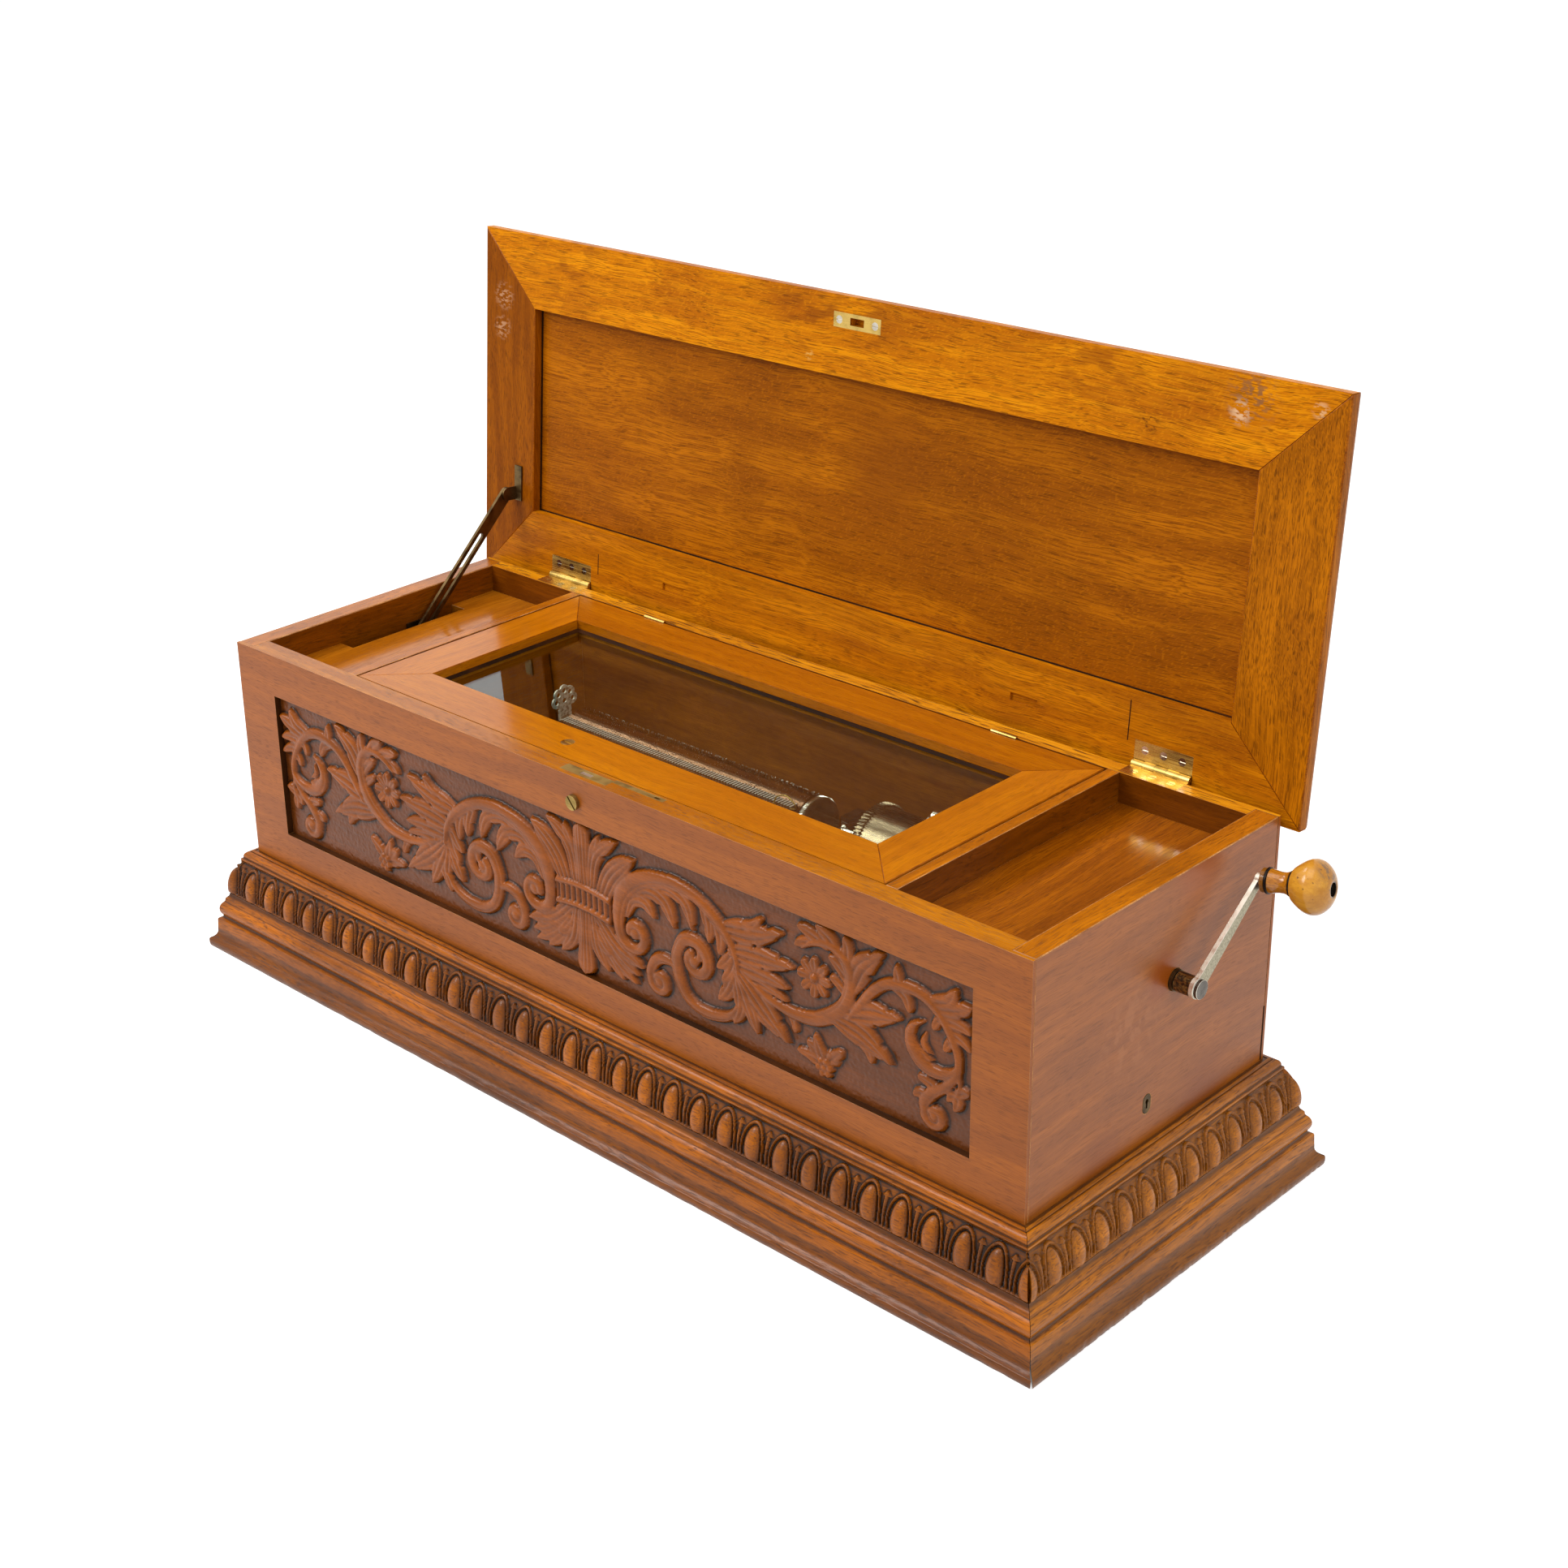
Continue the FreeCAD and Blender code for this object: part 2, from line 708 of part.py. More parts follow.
def case_bottom():
    return block(-IN_X, IN_X, IN_FRONT, IN_BACK, 0, BOTTOM_T)


# Plinth

def plinth_section():
    """The moulding's outline as (projection, height) from the case wall at the floor."""
    bead_mid_z = (RECESS_Z + BEAD_TOP_Z) / 2
    ovolo_mid = ((OVOLO_OUT * 0.95, OVOLO_Z + (OVOLO_TOP_Z - OVOLO_Z) * 0.47))
    cove_mid = ((COVE_OUT + PLINTH_TIP) / 2 - 1.6, (COVE_Z + TIP_Z) / 2 - 1.3)
    top_mid = ((TOP_BEAD_OUT + TOP_LIP) / 2 + 1.6, (TOP_BEAD_Z + PLINTH_H) / 2 + 0.4)
    return chained([
        (0.0, 0.0), (PLINTH_TOE, 0.0), (PLINTH_TIP, TIP_Z),
        (cove_mid, (COVE_OUT, COVE_Z)),
        (STEP_OUT, STEP_Z), (RECESS_OUT, RECESS_Z),
        ((BEAD_OUT, bead_mid_z), (BEAD_TOP_OUT, BEAD_TOP_Z)),
        (FILLET_OUT, FILLET_Z), (OVOLO_OUT, OVOLO_Z),
        (ovolo_mid, (OVOLO_TOP_OUT, OVOLO_TOP_Z)),
        (TOP_BEAD_OUT, TOP_BEAD_Z),
        (top_mid, (TOP_LIP, PLINTH_H)),
        (0.0, PLINTH_H)])


def plinth(side):
    return mitred_side(side, plinth_section(), CASE_W / 2, FRONT_Y, BACK_Y, 0, 1, PLINTH_TIP)


# Compartments

def partitions():
    boards = [block(-PART_OUT, -PART_IN, IN_FRONT, IN_BACK, BOTTOM_T, RIM_Z),
              block(PART_IN, PART_OUT, IN_FRONT, IN_BACK, BOTTOM_T, RIM_Z)]
    return group(less(b, rod_x(PART_IN, PART_OUT, CRANK_Y, CRANK_Z, CRANK_HOLE_R)) for b in boards)


def tray_floor_left():
    board = block(-IN_X, -PART_OUT, IN_FRONT, IN_BACK, TRAY_TOP - TRAY_T, TRAY_TOP)
    slot = block(-IN_X, -IN_X + STAY_SLOT_BOARD_W, STAY_SLOT_FRONT, STAY_SLOT_BACK,
                 TRAY_TOP - TRAY_T, TRAY_TOP)
    return less(board, slot)


def tray_floor_right():
    return block(PART_OUT, IN_X, IN_FRONT, IN_BACK, TRAY_TOP - TRAY_T, TRAY_TOP)


def cleats():
    top = TRAY_TOP - TRAY_T
    strips = []
    for y0, y1 in ((IN_FRONT, IN_FRONT + CLEAT_W), (IN_BACK - CLEAT_W, IN_BACK)):
        strips.append(block(-IN_X, -PART_OUT, y0, y1, top - CLEAT_H, top))
        strips.append(block(PART_OUT, IN_X, y0, y1, top - CLEAT_H, top))
        strips.append(block(-PART_IN, PART_IN, y0, y1, SOUNDBOARD_Z - BEARER_H, SOUNDBOARD_Z))
    return group(strips)


def soundboard():
    board = block(-PART_IN, PART_IN, IN_FRONT, IN_BACK, SOUNDBOARD_Z, SOUNDBOARD_TOP)
    holes = [bed_screw_blank(x, y) for x, y in bed_screw_places()]
    spindles = [rod_z(SOUNDBOARD_Z, SOUNDBOARD_TOP, x, LEVER_Y, LEVER_SPINDLE_R + LOOSE_FIT)
                for x in (LEVER_START_X, LEVER_CHANGE_X)]
    return less(board, *holes, *spindles)


def glass_lid_ledges():
    z0 = GLASS_FLOOR - LEDGE_H
    return group([block(-PART_IN, PART_IN, IN_FRONT, IN_FRONT + LEDGE_W, z0, GLASS_FLOOR),
                  block(-PART_IN, PART_IN, IN_BACK - LEDGE_W, IN_BACK, z0, GLASS_FLOOR)])


# Lock

def lid_lock():
    lock = joined(lock_outline(RIM_Z - LOCK_PLATE_T, RIM_Z), lock_body())
    play = SIDE_PLAY / 2
    low = RIM_Z - SIDE_PLAY - BOLT_H - play
    way = block(LOCK_X - BOLT_W / 2 - play, LOCK_X + BOLT_W / 2 + play, LOCK_Y - BOLT_T / 2 - play,
                LOCK_Y + BOLT_T / 2 + play, low, RIM_Z)
    strip_y = LOCK_Y + LOCK_PLATE_D / 2
    strip_end = LOCK_X + LOCK_PLATE_W / 2 + LOCK_STRIP_L
    slot = block(strip_end - 2 * LOCK_STRIP_D, strip_end - LOCK_STRIP_D, strip_y - LOCK_STRIP_D / 5,
                 strip_y + LOCK_STRIP_D / 5, RIM_Z - LOCK_PLATE_T, RIM_Z)
    return less(lock, way, slot)


def lock_bolt():
    top = RIM_Z - SIDE_PLAY
    return block(LOCK_X - BOLT_W / 2, LOCK_X + BOLT_W / 2, LOCK_Y - BOLT_T / 2, LOCK_Y + BOLT_T / 2,
                 top - BOLT_H, top)


def lock_barrel():
    y1 = LOCK_Y - LOCK_CASE_D / 2 - SIDE_PLAY
    barrel = rod_y(FRONT_Y - LOCK_BARREL_OUT, y1, LOCK_BARREL_X, LOCK_BARREL_Z, LOCK_BARREL_R)
    slot = block(LOCK_BARREL_X - LOCK_BARREL_R / 8, LOCK_BARREL_X + LOCK_BARREL_R / 8,
                 FRONT_Y - LOCK_BARREL_OUT, FRONT_Y - LOCK_BARREL_OUT / 2, LOCK_BARREL_Z - LOCK_BARREL_R,
                 LOCK_BARREL_Z + LOCK_BARREL_R)
    slot.rotate(V(LOCK_BARREL_X, FRONT_Y, LOCK_BARREL_Z), V(0, 1, 0), LOCK_SLOT_ANGLE)
    return less(barrel, slot)


# Lid

def lid_section():
    """A rail's outline as (distance in from the outer edge, height over the inner face)."""
    groove_top = LID_PANEL_SET + LID_PANEL_T
    groove = LID_RAIL_W - LID_TONGUE
    curve = (LID_MOULD_W * 0.32, LID_EDGE_T + (LID_T - LID_EDGE_T) * 0.72)
    return chained([
        (0.0, 0.0), (LID_RAIL_W, 0.0), (LID_RAIL_W, LID_PANEL_SET), (groove, LID_PANEL_SET),
        (groove, groove_top), (LID_RAIL_W, groove_top), (LID_RAIL_W, LID_T), (LID_MOULD_W, LID_T),
        (curve, (0.0, LID_EDGE_T))])


def lid_side(side):
    """One rail on the closed lid, with the pockets that its fittings need."""
    rail = mitred_side(side, lid_section(), LID_X, LID_FRONT, LID_BACK, LID_FACE, -1, LID_RAIL_W)
    if side == "back":
        rail = less(rail, *rear_rail_pockets())
    if side == "front":
        rail = less(rail, *front_rail_pockets())
    return opened(rail)


def rear_rail_pockets():
    reach = HINGE_L / 2 + LOOSE_FIT
    pockets = [leaf_pocket(s * HINGE_X, LID_FACE, LID_FACE + LEAF_T) for s in (-1, 1)]
    pockets += [rod_x(s * HINGE_X - reach, s * HINGE_X + reach, PIN_Y, PIN_Z, KNUCKLE_R + LOOSE_FIT)
                for s in (-1, 1)]
    pockets += [screw_blank(x, y, LID_FACE, False) for x, y in hinge_screw_places()]
    half = GLASS_HINGE_L / 2 + 2 * LOOSE_FIT
    deep = 2 * GLASS_KNUCKLE_R
    pockets += [block(s * GLASS_HINGE_X - half, s * GLASS_HINGE_X + half, GLASS_PIN_Y - deep,
                      GLASS_PIN_Y + deep, LID_FACE, LID_FACE + GLASS_KNUCKLE_R + LOOSE_FIT)
                for s in (-1, 1)]
    return pockets


def strike_shape(margin):
    return block(LOCK_X - STRIKE_W / 2, LOCK_X + STRIKE_W / 2, LOCK_Y - STRIKE_D / 2,
                 LOCK_Y + STRIKE_D / 2, LID_FACE, LID_FACE + STRIKE_T + margin)


def bolt_mortise(height):
    return block(LOCK_X - BOLT_W / 2 - 1, LOCK_X + BOLT_W / 2 + 1, LOCK_Y - BOLT_T / 2 - 1,
                 LOCK_Y + BOLT_T / 2 + 1, LID_FACE, LID_FACE + height)


def front_rail_pockets():
    holes = [screw_blank(x, y, LID_FACE, False) for x, y in strike_screw_places()]
    return [strike_shape(0), bolt_mortise(STRIKE_T + STRIKE_MORTISE)] + holes


def strike_plate():
    holes = [screw_blank(x, y, LID_FACE, False) for x, y in strike_screw_places()]
    return opened(less(strike_shape(0), bolt_mortise(STRIKE_T), *holes))


def lid_stiles():
    return group([lid_side("left"), lid_side("right")])


def lid_panel():
    inset = LID_RAIL_W - LID_TONGUE + SIDE_PLAY
    z0 = LID_FACE + LID_PANEL_SET
    return opened(block(-LID_X + inset, LID_X - inset, LID_FRONT + inset, LID_BACK - inset,
                        z0, z0 + LID_PANEL_T))


# Lid stay

def stay_pivot():
    """The stay's pivot on the closed lid, as (y, z)."""
    return PIN_Y - STAY_OUT, LID_FACE - STAY_DROP


def stay_bracket():
    y, z = stay_pivot()
    ear_x = STAY_X + STAY_T / 2 + SIDE_PLAY
    plate = block(ear_x, ear_x + STAY_PLATE_W, y - STAY_PLATE_L * 0.8, y + STAY_PLATE_L * 0.2,
                  LID_FACE - STAY_EAR_T, LID_FACE)
    ear = block(ear_x, ear_x + STAY_EAR_T, y - STAY_W / 2, y + STAY_W / 2, z, LID_FACE)
    tip = rod_x(ear_x, ear_x + STAY_EAR_T, y, z, STAY_W / 2)
    head_x = STAY_X - STAY_T / 2 - SIDE_PLAY
    rivet = rod_x(head_x - STAY_EAR_T, ear_x + STAY_EAR_T, y, z, STAY_RIVET_R)
    head = rod_x(head_x - STAY_EAR_T, head_x, y, z, 2 * STAY_RIVET_R)
    return opened(joined(plate, ear, tip, rivet, head))


def stay_arm():
    """The slotted arm, from its pivot on the open lid towards the stud on the case wall."""
    y, z = opened_point(*stay_pivot())
    x0 = STAY_X - STAY_T / 2
    x1 = STAY_X + STAY_T / 2
    end = STAY_L - STAY_W / 2
    bar = block(x0, x1, 0, end, -STAY_W / 2, STAY_W / 2)
    bar = joined(bar, rod_x(x0, x1, 0, 0, STAY_W / 2), rod_x(x0, x1, end, 0, STAY_W / 2))
    half = STAY_SLOT_W / 2
    slot_end = end - STAY_W / 4
    slot = joined(block(x0, x1, STAY_SLOT_START, slot_end, -half, half),
                  rod_x(x0, x1, STAY_SLOT_START, 0, half), rod_x(x0, x1, slot_end, 0, half))
    bar = less(bar, slot, rod_x(x0, x1, 0, 0, STAY_RIVET_R + RUN_FIT))
    bar.rotate(V(0, 0, 0), X_AXIS, math.degrees(toward(y, z, STUD_Y, STUD_Z)))
    bar.translate(V(0, y, z))
    return bar


def stay_stud():
    half = STUD_PLATE / 2
    plate = block(-IN_X, -IN_X + STUD_PLATE_T, STUD_Y - half, STUD_Y + half, STUD_Z - half, STUD_Z + half)
    end = STAY_X - STAY_T / 2 - STUD_SHORT
    return joined(plate, rod_x(-IN_X, end, STUD_Y, STUD_Z, STUD_R))


# Glass lid

def glass_section():
    pane_top = GLASS_LID_T - GLASS_SET
    groove = GLASS_RAIL_W - PANE_TONGUE
    return chained([
        (0.0, 0.0), (GLASS_RAIL_W, 0.0), (GLASS_RAIL_W, pane_top - PANE_T), (groove, pane_top - PANE_T),
        (groove, pane_top), (GLASS_RAIL_W, pane_top), (GLASS_RAIL_W, GLASS_LID_T), (0.0, GLASS_LID_T)])


def glass_lid_rails():
    rails = []
    for side in ("front", "back", "left", "right"):
        rail = mitred_side(side, glass_section(), GLASS_X, GLASS_FRONT, GLASS_BACK, GLASS_FLOOR, -1,
                           GLASS_RAIL_W)
        if side == "back":
            rail = less(rail, *glass_hinge_grooves())
        if side == "front":
            head = rod_z(RIM_Z - CATCH_HEAD_T, RIM_Z, CATCH_X, CATCH_Y, CATCH_R + RUN_FIT)
            hole = rod_z(GLASS_FLOOR, RIM_Z, CATCH_X, CATCH_Y, CATCH_SPINDLE_R + RUN_FIT)
            rail = less(rail, head, hole)
        rails.append(rail)
    return group(rails)


def glass_pane():
    inset = GLASS_RAIL_W - PANE_TONGUE + LOOSE_FIT
    top = RIM_Z - GLASS_SET
    return block(-GLASS_X + inset, GLASS_X - inset, GLASS_FRONT + inset, GLASS_BACK - inset,
                 top - PANE_T, top)


def glass_hinge_grooves():
    reach = GLASS_HINGE_L / 2 + SIDE_PLAY
    return [rod_x(s * GLASS_HINGE_X - reach, s * GLASS_HINGE_X + reach, GLASS_PIN_Y, GLASS_PIN_Z,
                  GLASS_KNUCKLE_R + LOOSE_FIT) for s in (-1, 1)]


def glass_leaf(x, knuckles, y0, y1):
    """A small hinge leaf that stands in the joint behind the glass lid."""
    left = x - GLASS_HINGE_L / 2
    pitch = GLASS_HINGE_L / GLASS_KNUCKLES
    top = GLASS_PIN_Z - GLASS_KNUCKLE_R - SIDE_PLAY
    leaf = block(left, left + GLASS_HINGE_L, y0, y1, GLASS_PIN_Z - GLASS_LEAF_H, top)
    for k in knuckles:
        a = left + k * pitch + SIDE_PLAY / 2
        b = left + (k + 1) * pitch - SIDE_PLAY / 2
        leaf = joined(leaf, block(a, b, y0, y1, top, GLASS_PIN_Z),
                      rod_x(a, b, GLASS_PIN_Y, GLASS_PIN_Z, GLASS_KNUCKLE_R))
    return leaf


def glass_hinge_wall_leaves():
    leaves = []
    for s in (-1, 1):
        leaf = glass_leaf(s * GLASS_HINGE_X, range(0, GLASS_KNUCKLES, 2), IN_BACK - GLASS_LEAF_T, IN_BACK)
        pin = rod_x(s * GLASS_HINGE_X - GLASS_HINGE_L / 2, s * GLASS_HINGE_X + GLASS_HINGE_L / 2,
                    GLASS_PIN_Y, GLASS_PIN_Z, GLASS_PIN_R)
        leaves.append(joined(leaf, pin))
    return group(leaves)


def glass_hinge_frame_leaves():
    leaves = []
    for s in (-1, 1):
        x = s * GLASS_HINGE_X
        leaf = glass_leaf(x, range(1, GLASS_KNUCKLES, 2), GLASS_BACK, GLASS_BACK + GLASS_LEAF_T)
        bore = rod_x(x - GLASS_HINGE_L / 2, x + GLASS_HINGE_L / 2, GLASS_PIN_Y, GLASS_PIN_Z,
                     GLASS_PIN_R + RUN_FIT)
        leaves.append(less(leaf, bore))
    return group(leaves)


def glass_lid_catch():
    """A slotted turn-catch whose tongue swings under the front ledge."""
    low = GLASS_FLOOR - LEDGE_H - LOOSE_FIT
    head = rod_z(RIM_Z - CATCH_HEAD_T, RIM_Z, CATCH_X, CATCH_Y, CATCH_R)
    spindle = rod_z(low - CATCH_TONGUE_T, RIM_Z, CATCH_X, CATCH_Y, CATCH_SPINDLE_R)
    tongue = block(CATCH_X, CATCH_X + CATCH_TONGUE_L, CATCH_Y - CATCH_TONGUE_W / 2,
                   CATCH_Y + CATCH_TONGUE_W / 2, low - CATCH_TONGUE_T, low)
    slot = block(CATCH_X - CATCH_R, CATCH_X + CATCH_R, CATCH_Y - SCREW_SLOT, CATCH_Y + SCREW_SLOT,
                 RIM_Z - CATCH_HEAD_T / 2, RIM_Z)
    return less(joined(head, spindle, tongue), slot)


# Movement bed, brackets and comb

def bed_screw_places():
    xs = (BED_LEFT + BED_SCREW_IN, BED_RIGHT - BED_SCREW_IN)
    ys = (BED_FRONT + BED_SCREW_IN, BED_BACK - BED_SCREW_IN)
    return [(x, y) for x in xs for y in ys]


def bed_screw_blank(x, y):
    head = rod_z(BED_TOP, BED_TOP + BED_SCREW_HEAD_H, x, y, BED_SCREW_HEAD_R)
    return joined(head, rod_z(BED_TOP - BED_SCREW_L, BED_TOP, x, y, BED_SCREW_R))


def comb_screw_places():
    first = COMB_LEFT + COMB_LEG_W / 2
    step = (COMB_RIGHT - COMB_LEFT - COMB_LEG_W) / (COMB_SCREWS - 1)
    y = (COMB_BACK_Y + COMB_BASE_FRONT_Y) / 2
    return [(first + k * step, y) for k in range(COMB_SCREWS)]


def comb_screw_blank(x, y):
    head = rod_z(COMB_TOP, COMB_TOP + COMB_SCREW_HEAD_H, x, y, COMB_SCREW_HEAD_R)
    return joined(head, rod_z(COMB_TOP - COMB_SCREW_L, COMB_TOP, x, y, COMB_SCREW_R))


def slotted(blank, x, y, top, radius):
    return less(blank, block(x - radius, x + radius, y - SCREW_SLOT / 2, y + SCREW_SLOT / 2,
                             top - SCREW_SLOT, top))


def movement_screws():
    bed_top = BED_TOP + BED_SCREW_HEAD_H
    comb_top = COMB_TOP + COMB_SCREW_HEAD_H
    bed = [slotted(bed_screw_blank(x, y), x, y, bed_top, BED_SCREW_HEAD_R) for x, y in bed_screw_places()]
    comb_row = [slotted(comb_screw_blank(x, y), x, y, comb_top, COMB_SCREW_HEAD_R)
                for x, y in comb_screw_places()]
    return group(bed + comb_row)


def bedplate():
    plate = block(BED_LEFT, BED_RIGHT, BED_FRONT, BED_BACK, SOUNDBOARD_TOP, BED_TOP)
    holes = [bed_screw_blank(x, y) for x, y in bed_screw_places()]
    spindles = [rod_z(SOUNDBOARD_TOP, BED_TOP, x, LEVER_Y, LEVER_SPINDLE_R + RUN_FIT)
                for x in (LEVER_START_X, LEVER_CHANGE_X)]
    return less(plate, *holes, *spindles)


def left_bracket():
    x1 = LEFT_BRACKET_X + BRACKET_T
    plate = block(LEFT_BRACKET_X, x1, CYL_Y - BRACKET_EDGE, CYL_Y + BRACKET_EDGE, BED_TOP, CYL_Z)
    foot = block(LEFT_BRACKET_X, x1 + BRACKET_FOOT, CYL_Y - BRACKET_EDGE, CYL_Y + BRACKET_EDGE,
                 BED_TOP, BED_TOP + BRACKET_T)
    head = rod_x(LEFT_BRACKET_X, x1, CYL_Y, CYL_Z, BRACKET_EDGE)
    bore = rod_x(LEFT_BRACKET_X, x1, CYL_Y, CYL_Z, CYL_JOURNAL_R + RUN_FIT)
    return less(joined(plate, foot, head), bore)


def right_bracket():
    x1 = RIGHT_BRACKET_X + BRACKET_T
    plate = block(RIGHT_BRACKET_X, x1, CYL_Y - BRACKET_EDGE, BARREL_Y + BRACKET_EDGE, BED_TOP, BRACKET_TOP_Z)
    dome = Part.makeSphere(DOME_R, V((RIGHT_BRACKET_X + x1) / 2, CYL_Y + 2 * CYL_JOURNAL_R, BRACKET_TOP_Z))
    cut_below = block(RIGHT_BRACKET_X - DOME_R, x1 + DOME_R, CYL_Y - BRACKET_EDGE, BARREL_Y + BRACKET_EDGE,
                      BED_TOP, BRACKET_TOP_Z)
    bores = [rod_x(RIGHT_BRACKET_X, x1, CYL_Y, CYL_Z, CYL_JOURNAL_R + RUN_FIT),
             rod_x(RIGHT_BRACKET_X, x1, BARREL_Y, BARREL_Z, BARREL_ARBOR_R + RUN_FIT),
             rod_x(RIGHT_BRACKET_X, x1, GOV_Y, GOV_Z, GOV_ARBOR_R + RUN_FIT)]
    return less(joined(plate, less(dome, cut_below)), *bores)


def click_corner():
    """The click's tip beside the ratchet, and the direction along its inner edge."""
    reach = RATCHET_R + LOOSE_FIT
    tip = (BARREL_Y + reach * math.cos(CLICK_ANGLE), BARREL_Z + reach * math.sin(CLICK_ANGLE))
    lean = CLICK_ANGLE - math.pi / 2
    return tip, (math.cos(lean), math.sin(lean))


def click_pivot():
    (y, z), (dy, dz) = click_corner()
    return y - CLICK_L * dy - CLICK_W / 2 * dz, z - CLICK_L * dz + CLICK_W / 2 * dy


def crest(x0, x1, y, z, r):
    """An upright pierced crest: lobes round the upper half of a disc, a hole in each and in the middle."""
    angles = [math.pi * k / (CREST_LOBES - 1) for k in range(CREST_LOBES)]
    reach = r * (1 - CREST_LOBE)
    spots = [(y + reach * math.cos(a), z + reach * math.sin(a)) for a in angles]
    lobes = [rod_x(x0, x1, a, b, r * CREST_LOBE) for a, b in spots]
    holes = [rod_x(x0, x1, a, b, r * CREST_HOLE) for a, b in spots + [(y, z)]]
    return less(joined(rod_x(x0, x1, y, z, reach), *lobes), *holes)


def winding_bracket():
    x0 = WIND_BRACKET_X
    x1 = x0 + BRACKET_T
    plate = block(x0, x1, CRANK_Y - BRACKET_EDGE, BARREL_Y + BRACKET_EDGE, BED_TOP, BRACKET_TOP_Z)
    crest_y = (CRANK_Y + BARREL_Y) / 2
    half = CREST_R / 2
    neck = block(x0, x1, crest_y - half, crest_y + half, BED_TOP, BRACKET_TOP_Z + CREST_RISE - half)
    head = crest(x0, x1, crest_y, BRACKET_TOP_Z + CREST_RISE, CREST_R)
    y, z = click_pivot()
    stud = rod_x(RATCHET_X, x1, y, z, CLICK_PIN_R)
    bores = [rod_x(x0, x1, BARREL_Y, BARREL_Z, BARREL_ARBOR_R + RUN_FIT),
             rod_x(x0, x1, CRANK_Y, CRANK_Z, CRANK_JOURNAL_R + RUN_FIT)]
    return less(joined(plate, neck, head, stud), *bores)


def comb_base():
    x0 = COMB_LEFT - COMB_BASE_MARGIN
    x1 = COMB_RIGHT + COMB_BASE_MARGIN
    low = COMB_LOW - COMB_BASE_T
    base = block(x0, x1, COMB_BACK_Y, COMB_BASE_FRONT_Y, low, COMB_LOW)
    middle = (x0 + x1 - COMB_LEG_W) / 2
    legs = [block(x, x + COMB_LEG_W, COMB_BACK_Y, COMB_BASE_FRONT_Y, BED_TOP, low)
            for x in (x0, middle, x1 - COMB_LEG_W)]
    holes = [comb_screw_blank(x, y) for x, y in comb_screw_places()]
    return less(joined(base, *legs), *holes)


def comb():
    """A steel plate sawn into teeth, longer in the bass at the left."""
    outline = [(COMB_RIGHT, COMB_BACK_Y), (COMB_LEFT, COMB_BACK_Y)]
    half = COMB_SLOT / 2
    for tooth in range(COMB_TEETH):
        x0 = COMB_LEFT + COMB_PITCH * tooth
        x1 = x0 + COMB_PITCH
        share = (tooth + 1) / COMB_TEETH
        root = COMB_BASS_ROOT_Y + (COMB_TREBLE_ROOT_Y - COMB_BASS_ROOT_Y) * share
        outline += [(x0 + half, COMB_TIP_Y), (x1 - half, COMB_TIP_Y)]
        if tooth < COMB_TEETH - 1:
            outline += [(x1 - half, root), (x1 + half, root)]
    holes = [comb_screw_blank(x, y) for x, y in comb_screw_places()]
    return less(plate_z(outline, COMB_LOW, COMB_TOP), *holes)


def tune_plate():
    x0 = LEFT_BRACKET_X - TUNE_PLATE_T
    half = TUNE_PLATE_W / 2
    waist = half / 2
    plate = block(x0, LEFT_BRACKET_X, CYL_Y - waist, CYL_Y + waist, TUNE_PLATE_Z, TUNE_PLATE_TOP_Z - waist)
    return joined(plate, crest(x0, LEFT_BRACKET_X, CYL_Y, TUNE_PLATE_TOP_Z, half))


# Cylinder and spring barrel

def cylinder_tube():
    tube = rod_x(CYL_LEFT, CYL_RIGHT, CYL_Y, CYL_Z, CYL_R)
    hollow = rod_x(CYL_LEFT + CYL_CAP_T, CYL_RIGHT - CYL_CAP_T, CYL_Y, CYL_Z, CYL_R - CYL_WALL)
    return less(tube, hollow, rod_x(CYL_LEFT, CYL_RIGHT, CYL_Y, CYL_Z, CYL_ARBOR_R))


def cylinder_arbor():
    left = LEFT_BRACKET_X + BRACKET_T + SIDE_PLAY
    right = RIGHT_BRACKET_X - SIDE_PLAY
    pinion_x = RIGHT_BRACKET_X + BRACKET_T + LOOSE_FIT
    shaft = rod_x(left, right, CYL_Y, CYL_Z, CYL_ARBOR_R)
    journals = rod_x(LEFT_BRACKET_X + SIDE_PLAY, pinion_x + CYL_PINION_T, CYL_Y, CYL_Z, CYL_JOURNAL_R)
    wheel = gear(CYL_WHEEL_TEETH, GOV_MODULE, CYL_WHEEL_X, CYL_WHEEL_X + CYL_WHEEL_T, CYL_Y, CYL_Z, GOV_ANGLE)
    pinion = gear(CYL_PINION_TEETH, DRIVE_MODULE, pinion_x, pinion_x + CYL_PINION_T, CYL_Y, CYL_Z,
                  toward(CYL_Y, CYL_Z, BARREL_Y, BARREL_Z))
    return joined(shaft, journals, wheel, pinion)


def spring_barrel():
    x1 = BARREL_X + BARREL_L
    drum = rod_x(BARREL_X, x1, BARREL_Y, BARREL_Z, BARREL_R)
    back = toward(BARREL_Y, BARREL_Z, CYL_Y, CYL_Z)
    wheel = gear(BARREL_TEETH, DRIVE_MODULE, BARREL_X, BARREL_X + BARREL_WHEEL_T, BARREL_Y, BARREL_Z,
                 gap_phase(back, BARREL_TEETH))
    hollow = rod_x(BARREL_X + BARREL_WHEEL_T, x1 - BARREL_COVER_T, BARREL_Y, BARREL_Z, BARREL_R - BARREL_WALL)
    bore = rod_x(BARREL_X, x1, BARREL_Y, BARREL_Z, BARREL_ARBOR_R + RUN_FIT)
    return less(joined(drum, wheel), hollow, bore)


